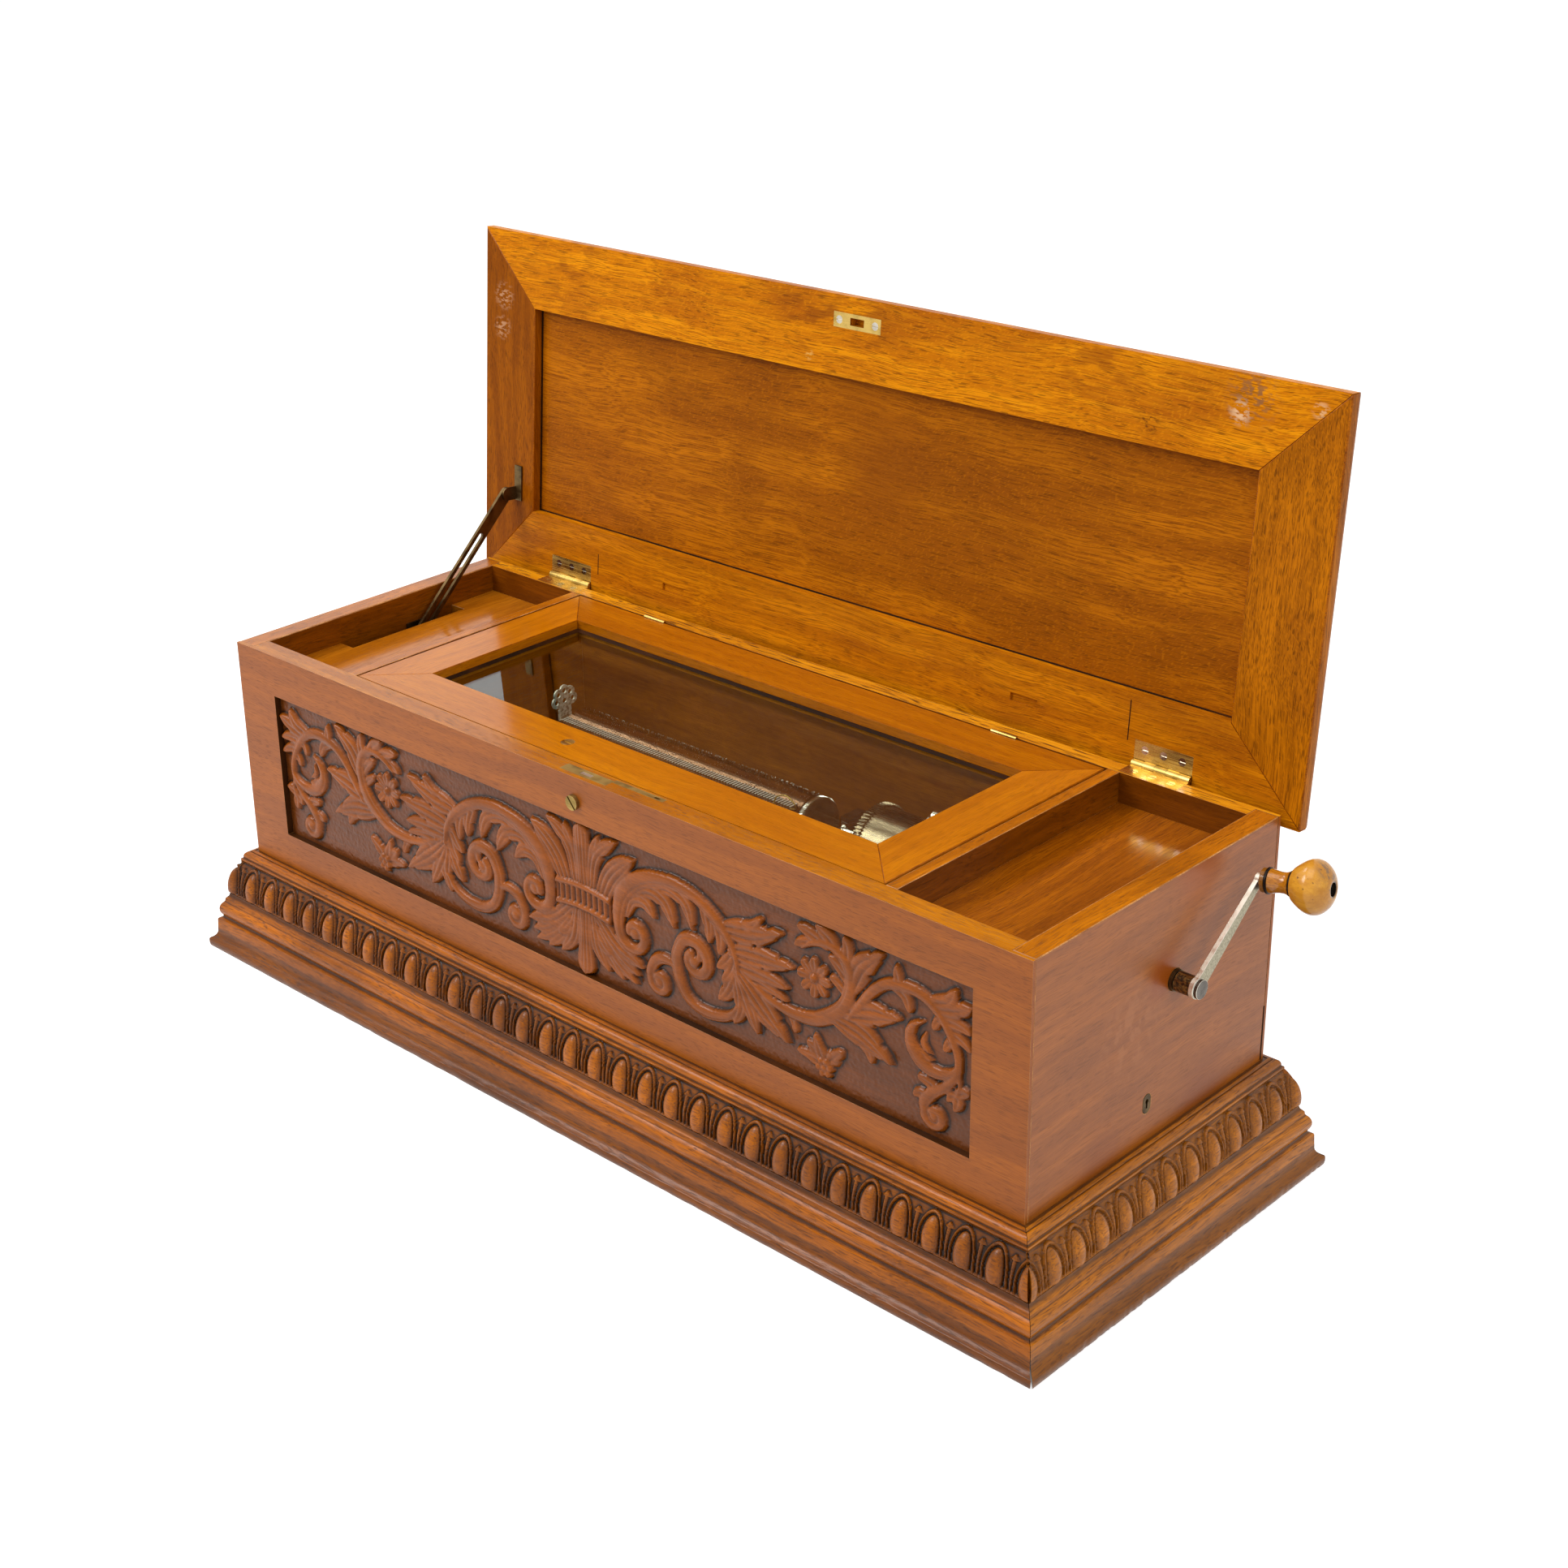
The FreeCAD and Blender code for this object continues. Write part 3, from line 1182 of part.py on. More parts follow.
def spiral_arcs(start_r):
    """Half circles about two centres half a pitch apart, each wider than the last."""
    x = BARREL_X + BARREL_WHEEL_T + SPRING_SIDE_GAP
    arcs = []
    for k in range(SPRING_HALF_TURNS):
        r = start_r + k * SPRING_PITCH / 2
        y = BARREL_Y + (k % 2) * SPRING_PITCH / 2
        side = 1 if k % 2 == 0 else -1
        arcs.append((V(x, y + side * r, BARREL_Z), V(x, y, BARREL_Z + side * r), V(x, y - side * r, BARREL_Z)))
    return arcs


def mainspring():
    inner = spiral_arcs(SPRING_START_R)
    outer = spiral_arcs(SPRING_START_R + SPRING_T)
    edges = [Part.Arc(*points).toShape() for points in inner]
    edges.append(Part.makeLine(inner[-1][2], outer[-1][2]))
    edges += [Part.Arc(*reversed(points)).toShape() for points in reversed(outer)]
    edges.append(Part.makeLine(outer[0][0], inner[0][0]))
    width = BARREL_L - BARREL_WHEEL_T - BARREL_COVER_T - 2 * SPRING_SIDE_GAP
    return Part.Face(Part.Wire(edges)).extrude(V(width, 0, 0))


def ratchet():
    outline = []
    step = 2 * math.pi / RATCHET_TEETH
    for tooth in range(RATCHET_TEETH):
        a = CLICK_ANGLE + tooth * step
        for r, angle in ((RATCHET_R, a), (RATCHET_R - RATCHET_DEPTH, a + 0.05 * step)):
            outline.append((BARREL_Y + r * math.cos(angle), BARREL_Z + r * math.sin(angle)))
    return plate_x(outline, RATCHET_X, RATCHET_X + RATCHET_T)


def barrel_arbor():
    """The winding arbor, with its core in the spring, its ratchet and its wheel."""
    x0 = RIGHT_BRACKET_X + SIDE_PLAY
    wheel_end = WIND_WHEEL_X + WIND_WHEEL_T
    shaft = rod_x(x0, wheel_end + BRACKET_T, BARREL_Y, BARREL_Z, BARREL_ARBOR_R)
    core = rod_x(BARREL_X + BARREL_WHEEL_T + SIDE_PLAY, BARREL_X + BARREL_L - BARREL_COVER_T - SIDE_PLAY,
                 BARREL_Y, BARREL_Z, BARREL_CORE_R)
    to_crank = toward(BARREL_Y, BARREL_Z, CRANK_Y, CRANK_Z)
    wheel = gear(WIND_WHEEL_TEETH, WIND_MODULE, WIND_WHEEL_X, wheel_end, BARREL_Y, BARREL_Z, to_crank)
    return joined(shaft, core, ratchet(), wheel)


def click():
    (y, z), (dy, dz) = click_corner()
    outline = [(y, z), (y - CLICK_L * dy, z - CLICK_L * dz),
               (y - CLICK_L * dy - CLICK_W * dz, z - CLICK_L * dz + CLICK_W * dy),
               (y - CLICK_W * dz, z + CLICK_W * dy)]
    arm = plate_x(outline, RATCHET_X, RATCHET_X + RATCHET_T)
    pivot_y, pivot_z = click_pivot()
    boss = rod_x(RATCHET_X, RATCHET_X + RATCHET_T, pivot_y, pivot_z, CLICK_BOSS_R)
    bore = rod_x(RATCHET_X, RATCHET_X + RATCHET_T, pivot_y, pivot_z, CLICK_PIN_R + RUN_FIT)
    return less(joined(arm, boss), bore)


# Winding crank

def crank_bush():
    bush = rod_x(IN_X - BUSH_OUT / 2, CASE_W / 2 + BUSH_OUT, CRANK_Y, CRANK_Z, BUSH_R)
    return less(bush, rod_x(IN_X - BUSH_OUT, HUB_X, CRANK_Y, CRANK_Z, CRANK_SHAFT_R + RUN_FIT))


def crank_shaft():
    """The shaft from the crank's hub to the winding bracket, with its pinion."""
    pinion_x = WIND_WHEEL_X - (CRANK_PINION_T - WIND_WHEEL_T) / 2
    shoulder = WIND_BRACKET_X + BRACKET_T + SIDE_PLAY
    journal = rod_x(WIND_BRACKET_X - SIDE_PLAY, shoulder, CRANK_Y, CRANK_Z, CRANK_JOURNAL_R)
    shaft = rod_x(shoulder, ARM_X, CRANK_Y, CRANK_Z, CRANK_SHAFT_R)
    back = toward(CRANK_Y, CRANK_Z, BARREL_Y, BARREL_Z)
    pinion = gear(WIND_PINION_TEETH, WIND_MODULE, pinion_x, pinion_x + CRANK_PINION_T, CRANK_Y, CRANK_Z,
                  gap_phase(back, WIND_PINION_TEETH))
    return joined(journal, shaft, pinion)


def leaned(shape):
    """Tips the knob's axis outwards along the arm."""
    tipped = shape.copy()
    tipped.rotate(V(ARM_X + ARM_T, SPINDLE_Y, SPINDLE_Z), V(0, -math.sin(ARM_ANGLE), math.cos(ARM_ANGLE)),
                  KNOB_LEAN)
    return tipped


def crank_arm():
    """The hub with its riveted end, the tapered flat arm and the leaning spindle that the knob turns on."""
    x1 = ARM_X + ARM_T
    hub = rod_x(HUB_X, x1, CRANK_Y, CRANK_Z, HUB_R)
    cap = rod_x(x1, x1 + HUB_CAP, CRANK_Y, CRANK_Z, HUB_CAP_R)
    socket = rod_x(HUB_X, ARM_X, CRANK_Y, CRANK_Z, CRANK_SHAFT_R)
    outline = []
    for y, z, half, sides in ((CRANK_Y, CRANK_Z, ARM_ROOT_W / 2, (1, -1)),
                              (SPINDLE_Y, SPINDLE_Z, ARM_END_W / 2, (-1, 1))):
        outline += [(y - s * half * math.sin(ARM_ANGLE), z + s * half * math.cos(ARM_ANGLE)) for s in sides]
    web = plate_x(outline, ARM_X, x1)
    eye = rod_x(ARM_X, x1, CRANK_Y, CRANK_Z, ARM_HUB_R)
    tip = rod_x(ARM_X, x1, SPINDLE_Y, SPINDLE_Z, ARM_TIP_R)
    head_x = KNOB_X + KNOB_L - KNOB_SINK + SIDE_PLAY
    spindle = rod_x(x1 - ARM_T / 2, head_x, SPINDLE_Y, SPINDLE_Z, SPINDLE_R)
    head = rod_x(head_x, head_x + SPINDLE_HEAD_T, SPINDLE_Y, SPINDLE_Z, SPINDLE_HEAD_R)
    return less(joined(hub, cap, web, eye, tip, leaned(spindle), leaned(head)), socket)


def crank_knob():
    """A turned ball on a waisted neck with a ferrule, bored for its spindle and sunk at the end."""
    ferrule = KNOB_X + KNOB_FERRULE_L
    ring = ferrule + KNOB_RING_L
    collar = ring + KNOB_NECK_L
    ball = collar + KNOB_GROOVE_L
    end = KNOB_X + KNOB_L
    length = end - ball

    def at(x, r):
        return V(x, SPINDLE_Y + r, SPINDLE_Z)

    def steps(*points):
        return [Part.makeLine(at(*a), at(*b)) for a, b in zip(points, points[1:])]

    def curve(*points):
        line = Part.BSplineCurve()
        line.interpolate([at(x, r) for x, r in points])
        return [line.toShape()]

    edges = steps((KNOB_X, 0), (KNOB_X, KNOB_FERRULE_R), (ferrule, KNOB_FERRULE_R), (ferrule, KNOB_RING_R),
                  (ring, KNOB_RING_R), (ring, KNOB_FERRULE_R))
    edges += curve((ring, KNOB_FERRULE_R), (ring + KNOB_NECK_L * 0.6, KNOB_NECK_R), (collar, KNOB_COLLAR_R))
    edges += steps((collar, KNOB_COLLAR_R), (collar, KNOB_GROOVE_R), (ball, KNOB_GROOVE_R), (ball, KNOB_BALL_R))
    edges += curve((ball, KNOB_BALL_R), (ball + length * 0.25, KNOB_R * 0.79), (ball + length * 0.54, KNOB_R),
                   (ball + length * 0.85, KNOB_R * 0.76), (end, KNOB_END_R))
    edges += steps((end, KNOB_END_R), (end, 0), (KNOB_X, 0))
    body = Part.Face(Part.Wire(edges)).revolve(at(KNOB_X, 0), X_AXIS, 360)
    sink = rod_x(end - KNOB_SINK, end, SPINDLE_Y, SPINDLE_Z, KNOB_SINK_R)
    return leaned(less(body, sink, rod_x(KNOB_X, end, SPINDLE_Y, SPINDLE_Z, SPINDLE_R + RUN_FIT)))


# Governor

def governor_frame():
    """A base with a cock for the wheel's arbor, and a post and bridge over the fan."""
    x0 = GOV_COCK_X - SIDE_PLAY
    x1 = 2 * WORM_X - GOV_COCK_X
    post_y = WORM_Y + FAN_R + 2
    top = BED_TOP + GOV_BASE_T
    base = block(x0, x1, GOV_Y - FAN_R, post_y + GOV_POST_T, BED_TOP, top)
    cock = block(GOV_COCK_X, GOV_COCK_X + GOV_COCK_T, GOV_Y - FAN_R, GOV_Y + FAN_R, BED_TOP,
                 GOV_Z + 4 * GOV_ARBOR_R)
    bridge_top = GOV_BRIDGE_Z + GOV_BRIDGE_T
    half = GOV_POST_T
    post = block(WORM_X - half, WORM_X + half, post_y, post_y + GOV_POST_T, BED_TOP, bridge_top)
    bridge = block(WORM_X - half, WORM_X + half, WORM_Y - half, post_y, GOV_BRIDGE_Z, bridge_top)
    bores = [rod_x(GOV_COCK_X, GOV_COCK_X + GOV_COCK_T, GOV_Y, GOV_Z, GOV_ARBOR_R + RUN_FIT),
             rod_z(GOV_BRIDGE_Z, bridge_top, WORM_X, WORM_Y, FAN_PIVOT_R + RUN_FIT),
             rod_z(BED_TOP, top, WORM_X, WORM_Y, FAN_PIVOT_R + RUN_FIT)]
    return less(joined(base, cock, post, bridge), *bores)


def governor_wheel():
    pinion_x = GOV_COCK_X - SIDE_PLAY - GOV_PINION_T
    arbor = rod_x(pinion_x, RIGHT_BRACKET_X + BRACKET_T / 2, GOV_Y, GOV_Z, GOV_ARBOR_R)
    back = toward(GOV_Y, GOV_Z, CYL_Y, CYL_Z)
    pinion = gear(GOV_PINION_TEETH, GOV_MODULE, pinion_x, pinion_x + GOV_PINION_T, GOV_Y, GOV_Z,
                  gap_phase(back, GOV_PINION_TEETH))
    half = WORM_WHEEL_T / 2
    wheel = gear(WORM_WHEEL_TEETH, WORM_MODULE, WORM_X - half, WORM_X + half, GOV_Y, GOV_Z,
                 gap_phase(0.0, WORM_WHEEL_TEETH))
    return joined(arbor, pinion, wheel)


def worm_thread():
    """A right-handed thread whose crest lies in the wheel's tooth gap at rest."""
    lead = math.pi * WORM_MODULE
    z0 = GOV_Z - lead * (math.floor(WORM_TURNS / 2) + 0.75)
    helix = Part.makeHelix(lead, lead * WORM_TURNS, WORM_PITCH_R)
    inner = WORM_CORE_R - 0.3
    foot = lead * 0.16
    crest = lead * 0.07
    corners = [V(inner, 0, -foot), V(WORM_OUT_R, 0, -crest), V(WORM_OUT_R, 0, crest), V(inner, 0, foot)]
    profile = Part.makePolygon(corners + corners[:1])
    thread = Part.Wire(helix.Edges).makePipeShell([profile], True, True)
    thread.translate(V(WORM_X, WORM_Y, z0))
    return thread


def fan_screw():
    """The endless screw on its upright arbor, with two fan blades above it."""
    low = BED_TOP + GOV_BASE_T + SIDE_PLAY
    high = GOV_BRIDGE_Z - SIDE_PLAY
    core = rod_z(low, high, WORM_X, WORM_Y, WORM_CORE_R)
    pivots = rod_z(low - FAN_PIVOT_L, high + FAN_PIVOT_L, WORM_X, WORM_Y, FAN_PIVOT_R)
    blades = block(WORM_X - FAN_R, WORM_X + FAN_R, WORM_Y - FAN_T / 2, WORM_Y + FAN_T / 2, FAN_Z, FAN_Z + FAN_H)
    return joined(core, pivots, blades, worm_thread())


# Levers

def lever(x):
    """A lever on an upright spindle through the bed, with a knob at its front end."""
    low = BED_TOP + SIDE_PLAY
    top = low + LEVER_BOSS_H
    spindle = rod_z(SOUNDBOARD_TOP, low, x, LEVER_Y, LEVER_SPINDLE_R)
    boss = rod_z(low, top, x, LEVER_Y, LEVER_BOSS_R)
    y0 = LEVER_Y - LEVER_ARM_L
    arm = block(x - LEVER_ARM_W / 2, x + LEVER_ARM_W / 2, y0, LEVER_Y, top - LEVER_ARM_T, top)
    knob = rod_z(top - LEVER_ARM_T, top + LEVER_KNOB_H, x, y0, LEVER_KNOB_R)
    return joined(spindle, boss, arm, knob)


PIECES = {
    "case_front": case_front, "carved_panel": carved_panel, "case_back": case_back,
    "case_left_side": case_left_side, "case_right_side": case_right_side, "case_bottom": case_bottom,
    "plinth_front": lambda: plinth("front"), "plinth_back": lambda: plinth("back"),
    "plinth_sides": lambda: group([plinth("left"), plinth("right")]),
    "partitions": partitions, "tray_floor_left": tray_floor_left, "tray_floor_right": tray_floor_right,
    "cleats": cleats, "soundboard": soundboard, "glass_lid_ledges": glass_lid_ledges,
    "hinge_case_leaves": hinge_case_leaves, "hinge_pins": hinge_pins, "hinge_case_screws": hinge_case_screws,
    "lid_lock": lid_lock, "lock_bolt": lock_bolt, "lock_barrel": lock_barrel,
    "keyhole_escutcheon": keyhole_escutcheon, "crank_bush": crank_bush, "stay_stud": stay_stud,
    "lid_front_rail": lambda: lid_side("front"), "lid_rear_rail": lambda: lid_side("back"),
    "lid_stiles": lid_stiles, "lid_panel": lid_panel, "hinge_lid_leaves": hinge_lid_leaves,
    "lid_screws": lid_screws, "strike_plate": strike_plate, "stay_bracket": stay_bracket, "stay_arm": stay_arm,
    "glass_lid_rails": glass_lid_rails, "glass_pane": glass_pane, "glass_lid_catch": glass_lid_catch,
    "glass_hinge_wall_leaves": glass_hinge_wall_leaves, "glass_hinge_frame_leaves": glass_hinge_frame_leaves,
    "bedplate": bedplate, "movement_screws": movement_screws, "left_bracket": left_bracket,
    "right_bracket": right_bracket, "winding_bracket": winding_bracket, "comb_base": comb_base, "comb": comb,
    "tune_plate": tune_plate, "cylinder_tube": cylinder_tube, "cylinder_arbor": cylinder_arbor,
    "spring_barrel": spring_barrel, "mainspring": mainspring, "barrel_arbor": barrel_arbor, "click": click,
    "crank_shaft": crank_shaft, "crank_arm": crank_arm, "crank_knob": crank_knob,
    "governor_frame": governor_frame, "governor_wheel": governor_wheel, "fan_screw": fan_screw,
    "start_lever": lambda: lever(LEVER_START_X), "change_lever": lambda: lever(LEVER_CHANGE_X),
}

os.makedirs("parts", exist_ok=True)
for name, make in PIECES.items():
    shape = make()
    shape.exportStep(os.path.join("parts", name + ".step"))
    print(name, len(shape.Solids), "solids", round(shape.Volume / 1000, 2), "cm3", shape.isValid())
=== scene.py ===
"""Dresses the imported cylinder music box: carved oak case, raised lid, glass inner lid, movement and crank.

Lengths are in millimetres until put_mesh turns them into metres. X runs along the front to the
right, Y to the back and Z up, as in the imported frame.
"""

import logging
import math
from dataclasses import dataclass
from enum import Enum
from typing import Callable, Optional, Sequence, Union

import bmesh
import bpy
import numpy as np
from mathutils import Matrix, Vector


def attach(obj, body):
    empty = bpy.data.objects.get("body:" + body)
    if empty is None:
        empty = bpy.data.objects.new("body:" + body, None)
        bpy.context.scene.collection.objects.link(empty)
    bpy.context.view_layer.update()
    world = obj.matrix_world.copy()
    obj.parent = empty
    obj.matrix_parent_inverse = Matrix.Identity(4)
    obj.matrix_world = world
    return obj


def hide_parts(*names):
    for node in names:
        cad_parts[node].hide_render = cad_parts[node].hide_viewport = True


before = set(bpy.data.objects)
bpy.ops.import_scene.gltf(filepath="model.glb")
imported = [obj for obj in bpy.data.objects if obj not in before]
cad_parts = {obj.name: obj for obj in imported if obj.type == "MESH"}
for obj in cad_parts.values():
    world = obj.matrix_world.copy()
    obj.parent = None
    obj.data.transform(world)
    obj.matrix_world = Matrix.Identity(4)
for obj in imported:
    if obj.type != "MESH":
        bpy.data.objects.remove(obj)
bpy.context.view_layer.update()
MM = 0.001
LOG = logging.getLogger("music_box")
Point = tuple[float, float]
Place = tuple[float, float, float]
Move = Callable[[np.ndarray], np.ndarray]
Pick = Callable[[np.ndarray, np.ndarray], np.ndarray]
Piece = bpy.types.Object
Tree = bpy.types.NodeTree
Socket = bpy.types.NodeSocket
Feed = Union[float, tuple, Socket]
WELD = 0.002
FLAT_DEG = 0.5
CREASE_DEG = 35.0
ARRIS_FROM_DEG = 40.0


# Meshes

def lattice(rows: int, cols: int, ring_rows: bool = False, ring_cols: bool = False) -> np.ndarray:
    """Numbers the four corners of every cell of a grid of points.

    Args:
        rows: Points down the grid.
        cols: Points across the grid.
        ring_rows: Joins the last row to the first.
        ring_cols: Joins the last column to the first.

    Returns:
        One row of four point numbers for each cell.
    """
    r = np.arange(rows if ring_rows else rows - 1)[:, None]
    c = np.arange(cols if ring_cols else cols - 1)[None, :]
    down, right = (r + 1) % rows, (c + 1) % cols
    corners = (r * cols + c, r * cols + right, down * cols + right, down * cols + c)
    return np.stack(np.broadcast_arrays(*corners), -1).reshape(-1, 4)


def put_mesh(name: str, points: np.ndarray, quads: np.ndarray, caps: Sequence[Sequence[int]] = (),
             crease: float = CREASE_DEG, marks: Optional[dict[str, np.ndarray]] = None) -> Piece:
    """Puts a grid of points into the scene as a closed surface that faces outwards.

    Args:
        name: The piece's name.
        points: Places in millimetres, one row each.
        quads: Four point numbers for each face.
        caps: Rings of point numbers, each closed by one flat face.
        crease: Edges sharper than this many degrees stay sharp.
        marks: Values from 0 to 1 for each point, kept as named attributes.

    Returns:
        The new object, at the origin.
    """
    mesh = bpy.data.meshes.new(name)
    loops = np.concatenate([np.asarray(quads).ravel(), *[np.asarray(c) for c in caps]])
    sizes = np.concatenate([np.full(len(quads), 4), [len(c) for c in caps]]).astype(int)
    mesh.vertices.add(len(points))
    mesh.vertices.foreach_set("co", (np.asarray(points, float) * MM).ravel())
    mesh.loops.add(len(loops))
    mesh.loops.foreach_set("vertex_index", loops.astype(np.int32))
    mesh.polygons.add(len(sizes))
    starts = np.concatenate([[0], np.cumsum(sizes)[:-1]])
    mesh.polygons.foreach_set("loop_start", starts.astype(np.int32))
    mesh.update(calc_edges=True)
    for mark, values in (marks or {}).items():
        layer = mesh.attributes.new(mark, "FLOAT", "POINT")
        layer.data.foreach_set("value", np.asarray(values, np.float32).ravel())
    shell = bmesh.new()
    shell.from_mesh(mesh)
    bmesh.ops.recalc_face_normals(shell, faces=shell.faces)
    shell.to_mesh(mesh)
    shell.free()
    return show(name, mesh, crease)


def show(name: str, mesh: bpy.types.Mesh, crease: float) -> Piece:
    """Shades a mesh smooth up to a crease angle and links it to the scene.

    Args:
        name: The piece's name.
        mesh: Its mesh.
        crease: Edges sharper than this many degrees stay sharp.

    Returns:
        The new object.
    """
    mesh.polygons.foreach_set("use_smooth", np.ones(len(mesh.polygons), bool))
    mesh.set_sharp_from_angle(angle=math.radians(crease))
    piece = bpy.data.objects.new(name, mesh)
    bpy.context.scene.collection.objects.link(piece)
    return piece


def turned(name: str, profile: Sequence[Point], centre: Place, around: int, shade_and_staining: Sequence[float],
           lean: Move) -> Piece:
    """Turns a profile round a line along X: each point (along, radius) is carried round a full circle.

    Args:
        name: The piece's name.
        profile: Points of the half section, from one end to the other.
        centre: A point on the line, where along is zero.
        around: Points in each circle.
        shade_and_staining: How dark each point of the profile is painted, from 0 to 1: painted shade at
            joins, in grooves and in holes.
        lean: Moves the finished points.

    Returns:
        The turned piece, closed by a flat face at each end.
    """
    along, radius = np.array(profile, float).T[:, :, None]
    angle = np.linspace(0, 2 * np.pi, around, endpoint=False)
    rows = np.broadcast_arrays(along, radius * np.cos(angle), radius * np.sin(angle))
    points = np.stack(rows, -1).reshape(-1, 3) + np.array(centre)
    count = len(along)
    caps = [range(around), range((count - 1) * around, count * around)]
    marks = {"shade_and_staining": np.repeat(np.array(shade_and_staining, float), around)} if len(shade_and_staining) else None
    return put_mesh(name, lean(points), lattice(count, around, ring_cols=True), caps, marks=marks)


def blocks(name: str, lows: Sequence, highs: Sequence, move: Optional[Move] = None) -> Piece:
    """Puts plain six-sided blocks into one piece, each between its lowest and highest corner.

    Args:
        name: The piece's name.
        lows: The lowest corner of each block.
        highs: The highest corner of each block.
        move: Moves the finished points.

    Returns:
        The piece.
    """
    corners = np.array([(x, y, z) for x in (0, 1) for y in (0, 1) for z in (0, 1)])
    low, high = np.array(lows, float)[:, None], np.array(highs, float)[:, None]
    points = (low + corners * (high - low)).reshape(-1, 3)
    faces = np.array([(0, 1, 3, 2), (4, 6, 7, 5), (0, 4, 5, 1), (2, 3, 7, 6), (0, 2, 6, 4), (1, 5, 7, 3)])
    quads = (np.arange(len(low))[:, None, None] * 8 + faces).reshape(-1, 4)
    return put_mesh(name, move(points) if move else points, quads)


def wire(name: str, path: np.ndarray, radius: float, around: int = 8) -> Piece:
    """Carries a circle along a path, square to the path at every point.

    Args:
        name: The piece's name.
        path: Points of the wire's centre line.
        radius: The wire's radius.
        around: Points in the circle.

    Returns:
        The wire, with flat ends.
    """
    run = np.gradient(path, axis=0)
    run /= np.linalg.norm(run, axis=1)[:, None]
    never_along = (1.0, 0.3, 0.2)
    side = np.cross(run, never_along)
    side /= np.linalg.norm(side, axis=1)[:, None]
    other = np.cross(run, side)
    angle = np.linspace(0, 2 * np.pi, around, endpoint=False)[None, :, None]
    points = path[:, None] + radius * (side[:, None] * np.cos(angle) + other[:, None] * np.sin(angle))
    count = len(path)
    caps = [range(around), range((count - 1) * around, count * around)]
    return put_mesh(name, points.reshape(-1, 3), lattice(count, around, ring_cols=True), caps)


def eased(name: str, node: str, arris: float, keep: Optional[Move] = None) -> Piece:
    """Copies a board from the frame, merges it, and rounds its edges with a bevel.

    Args:
        name: The piece's name.
        node: The frame's node.
        arris: Width of the rounding.
        keep: Says which faces stay from their middles; the cut is closed with flat faces.

    Returns:
        The copy, with its bevel on the second material slot.
    """
    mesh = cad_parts[node].data.copy()
    mesh.name = name
    shell = bmesh.new()
    shell.from_mesh(mesh)
    bmesh.ops.remove_doubles(shell, verts=shell.verts, dist=WELD * MM)
    if keep:
        stays = keep(np.array([face.calc_center_median() for face in shell.faces]) / MM)
        doomed = [face for face, stay in zip(shell.faces, stays) if not stay]
        bmesh.ops.delete(shell, geom=doomed, context="FACES")
        bmesh.ops.holes_fill(shell, edges=[edge for edge in shell.edges if edge.is_boundary], sides=0)
        bmesh.ops.recalc_face_normals(shell, faces=shell.faces)
    bmesh.ops.dissolve_limit(shell, angle_limit=math.radians(FLAT_DEG), verts=shell.verts, edges=shell.edges)
    shell.to_mesh(mesh)
    shell.free()
    if "custom_normal" in mesh.attributes:
        mesh.attributes.remove(mesh.attributes["custom_normal"])
    mesh.materials.clear()
    piece = show(name, mesh, CREASE_DEG)
    bevel = piece.modifiers.new("arris", "BEVEL")
    bevel.width, bevel.segments = arris * MM, 2
    bevel.limit_method, bevel.angle_limit = "ANGLE", math.radians(ARRIS_FROM_DEG)
    bevel.material = 1
    return piece


def paint(piece: Piece, finish: "Finish", pick: Pick) -> None:
    """Gives some faces a finish of their own, as one more material slot.

    Args:
        piece: The piece.
        finish: What covers the faces.
        pick: Says which faces, from their normals and their middles in millimetres.
    """
    sides = piece.data.polygons
    normals, middles = np.empty(len(sides) * 3), np.empty(len(sides) * 3)
    index = np.empty(len(sides), np.int32)
    sides.foreach_get("normal", normals)
    sides.foreach_get("center", middles)
    sides.foreach_get("material_index", index)
    piece.data.materials.append(material(finish))
    index[pick(normals.reshape(-1, 3), middles.reshape(-1, 3) / MM)] = len(piece.data.materials) - 1
    sides.foreach_set("material_index", index)


def facing(x: float, y: float, z: float) -> Pick:
    """Picks the faces that look along a direction."""
    return lambda normals, _: normals @ np.array((x, y, z)) > 0.9


def smooth_path(points: Sequence, count: int) -> np.ndarray:
    """Runs a smooth curve through points: cubic pieces whose slope at a point is that of its neighbours.

    Args:
        points: Places that the curve passes through.
        count: Points on the finished curve.

    Returns:
        The curve, one row for each point.
    """
    p = np.array(points, float)
    q = np.vstack([2 * p[0] - p[1], p, 2 * p[-1] - p[-2]])
    u = np.linspace(0, len(p) - 1, count)
    i = np.minimum(u.astype(int), len(p) - 2)
    f = (u - i)[:, None]
    a, b, c, d = q[i], q[i + 1], q[i + 2], q[i + 3]
    return 0.5 * (2 * b + (c - a) * f + (2 * a - 5 * b + 4 * c - d) * f**2 + (3 * b - a - 3 * c + d) * f**3)


def softened(grid: np.ndarray, passes: int) -> np.ndarray:
    """Averages each point of a grid with its neighbours, one, two and one parts, both ways.

    Args:
        grid: The values.
        passes: How often to do it.

    Returns:
        The softer grid.
    """
    for _ in range(passes):
        for axis in (0, 1):
            last = grid.shape[axis] - 1
            before = np.concatenate([grid.take([0], axis), grid.take(range(last), axis)], axis)
            after = np.concatenate([grid.take(range(1, last + 1), axis), grid.take([last], axis)], axis)
            grid = (before + 2 * grid + after) / 4
    return grid


# Finishes

SEED_STEP = (137.0, 61.0, 29.0)
SWAY_PER_MM = 0.007
SWAY_REACH = (0.0, 16.0, 16.0)
FLECK_TURN = (0.3, 0.5, 0.5)
PORE_SOFT = 0.1
PORE_DULL = 0.2
PORE_DEEP = 0.12
LINE_DEEP = 0.05
RIPPLE_DEEP = 0.5
GLASS_IOR = 1.5


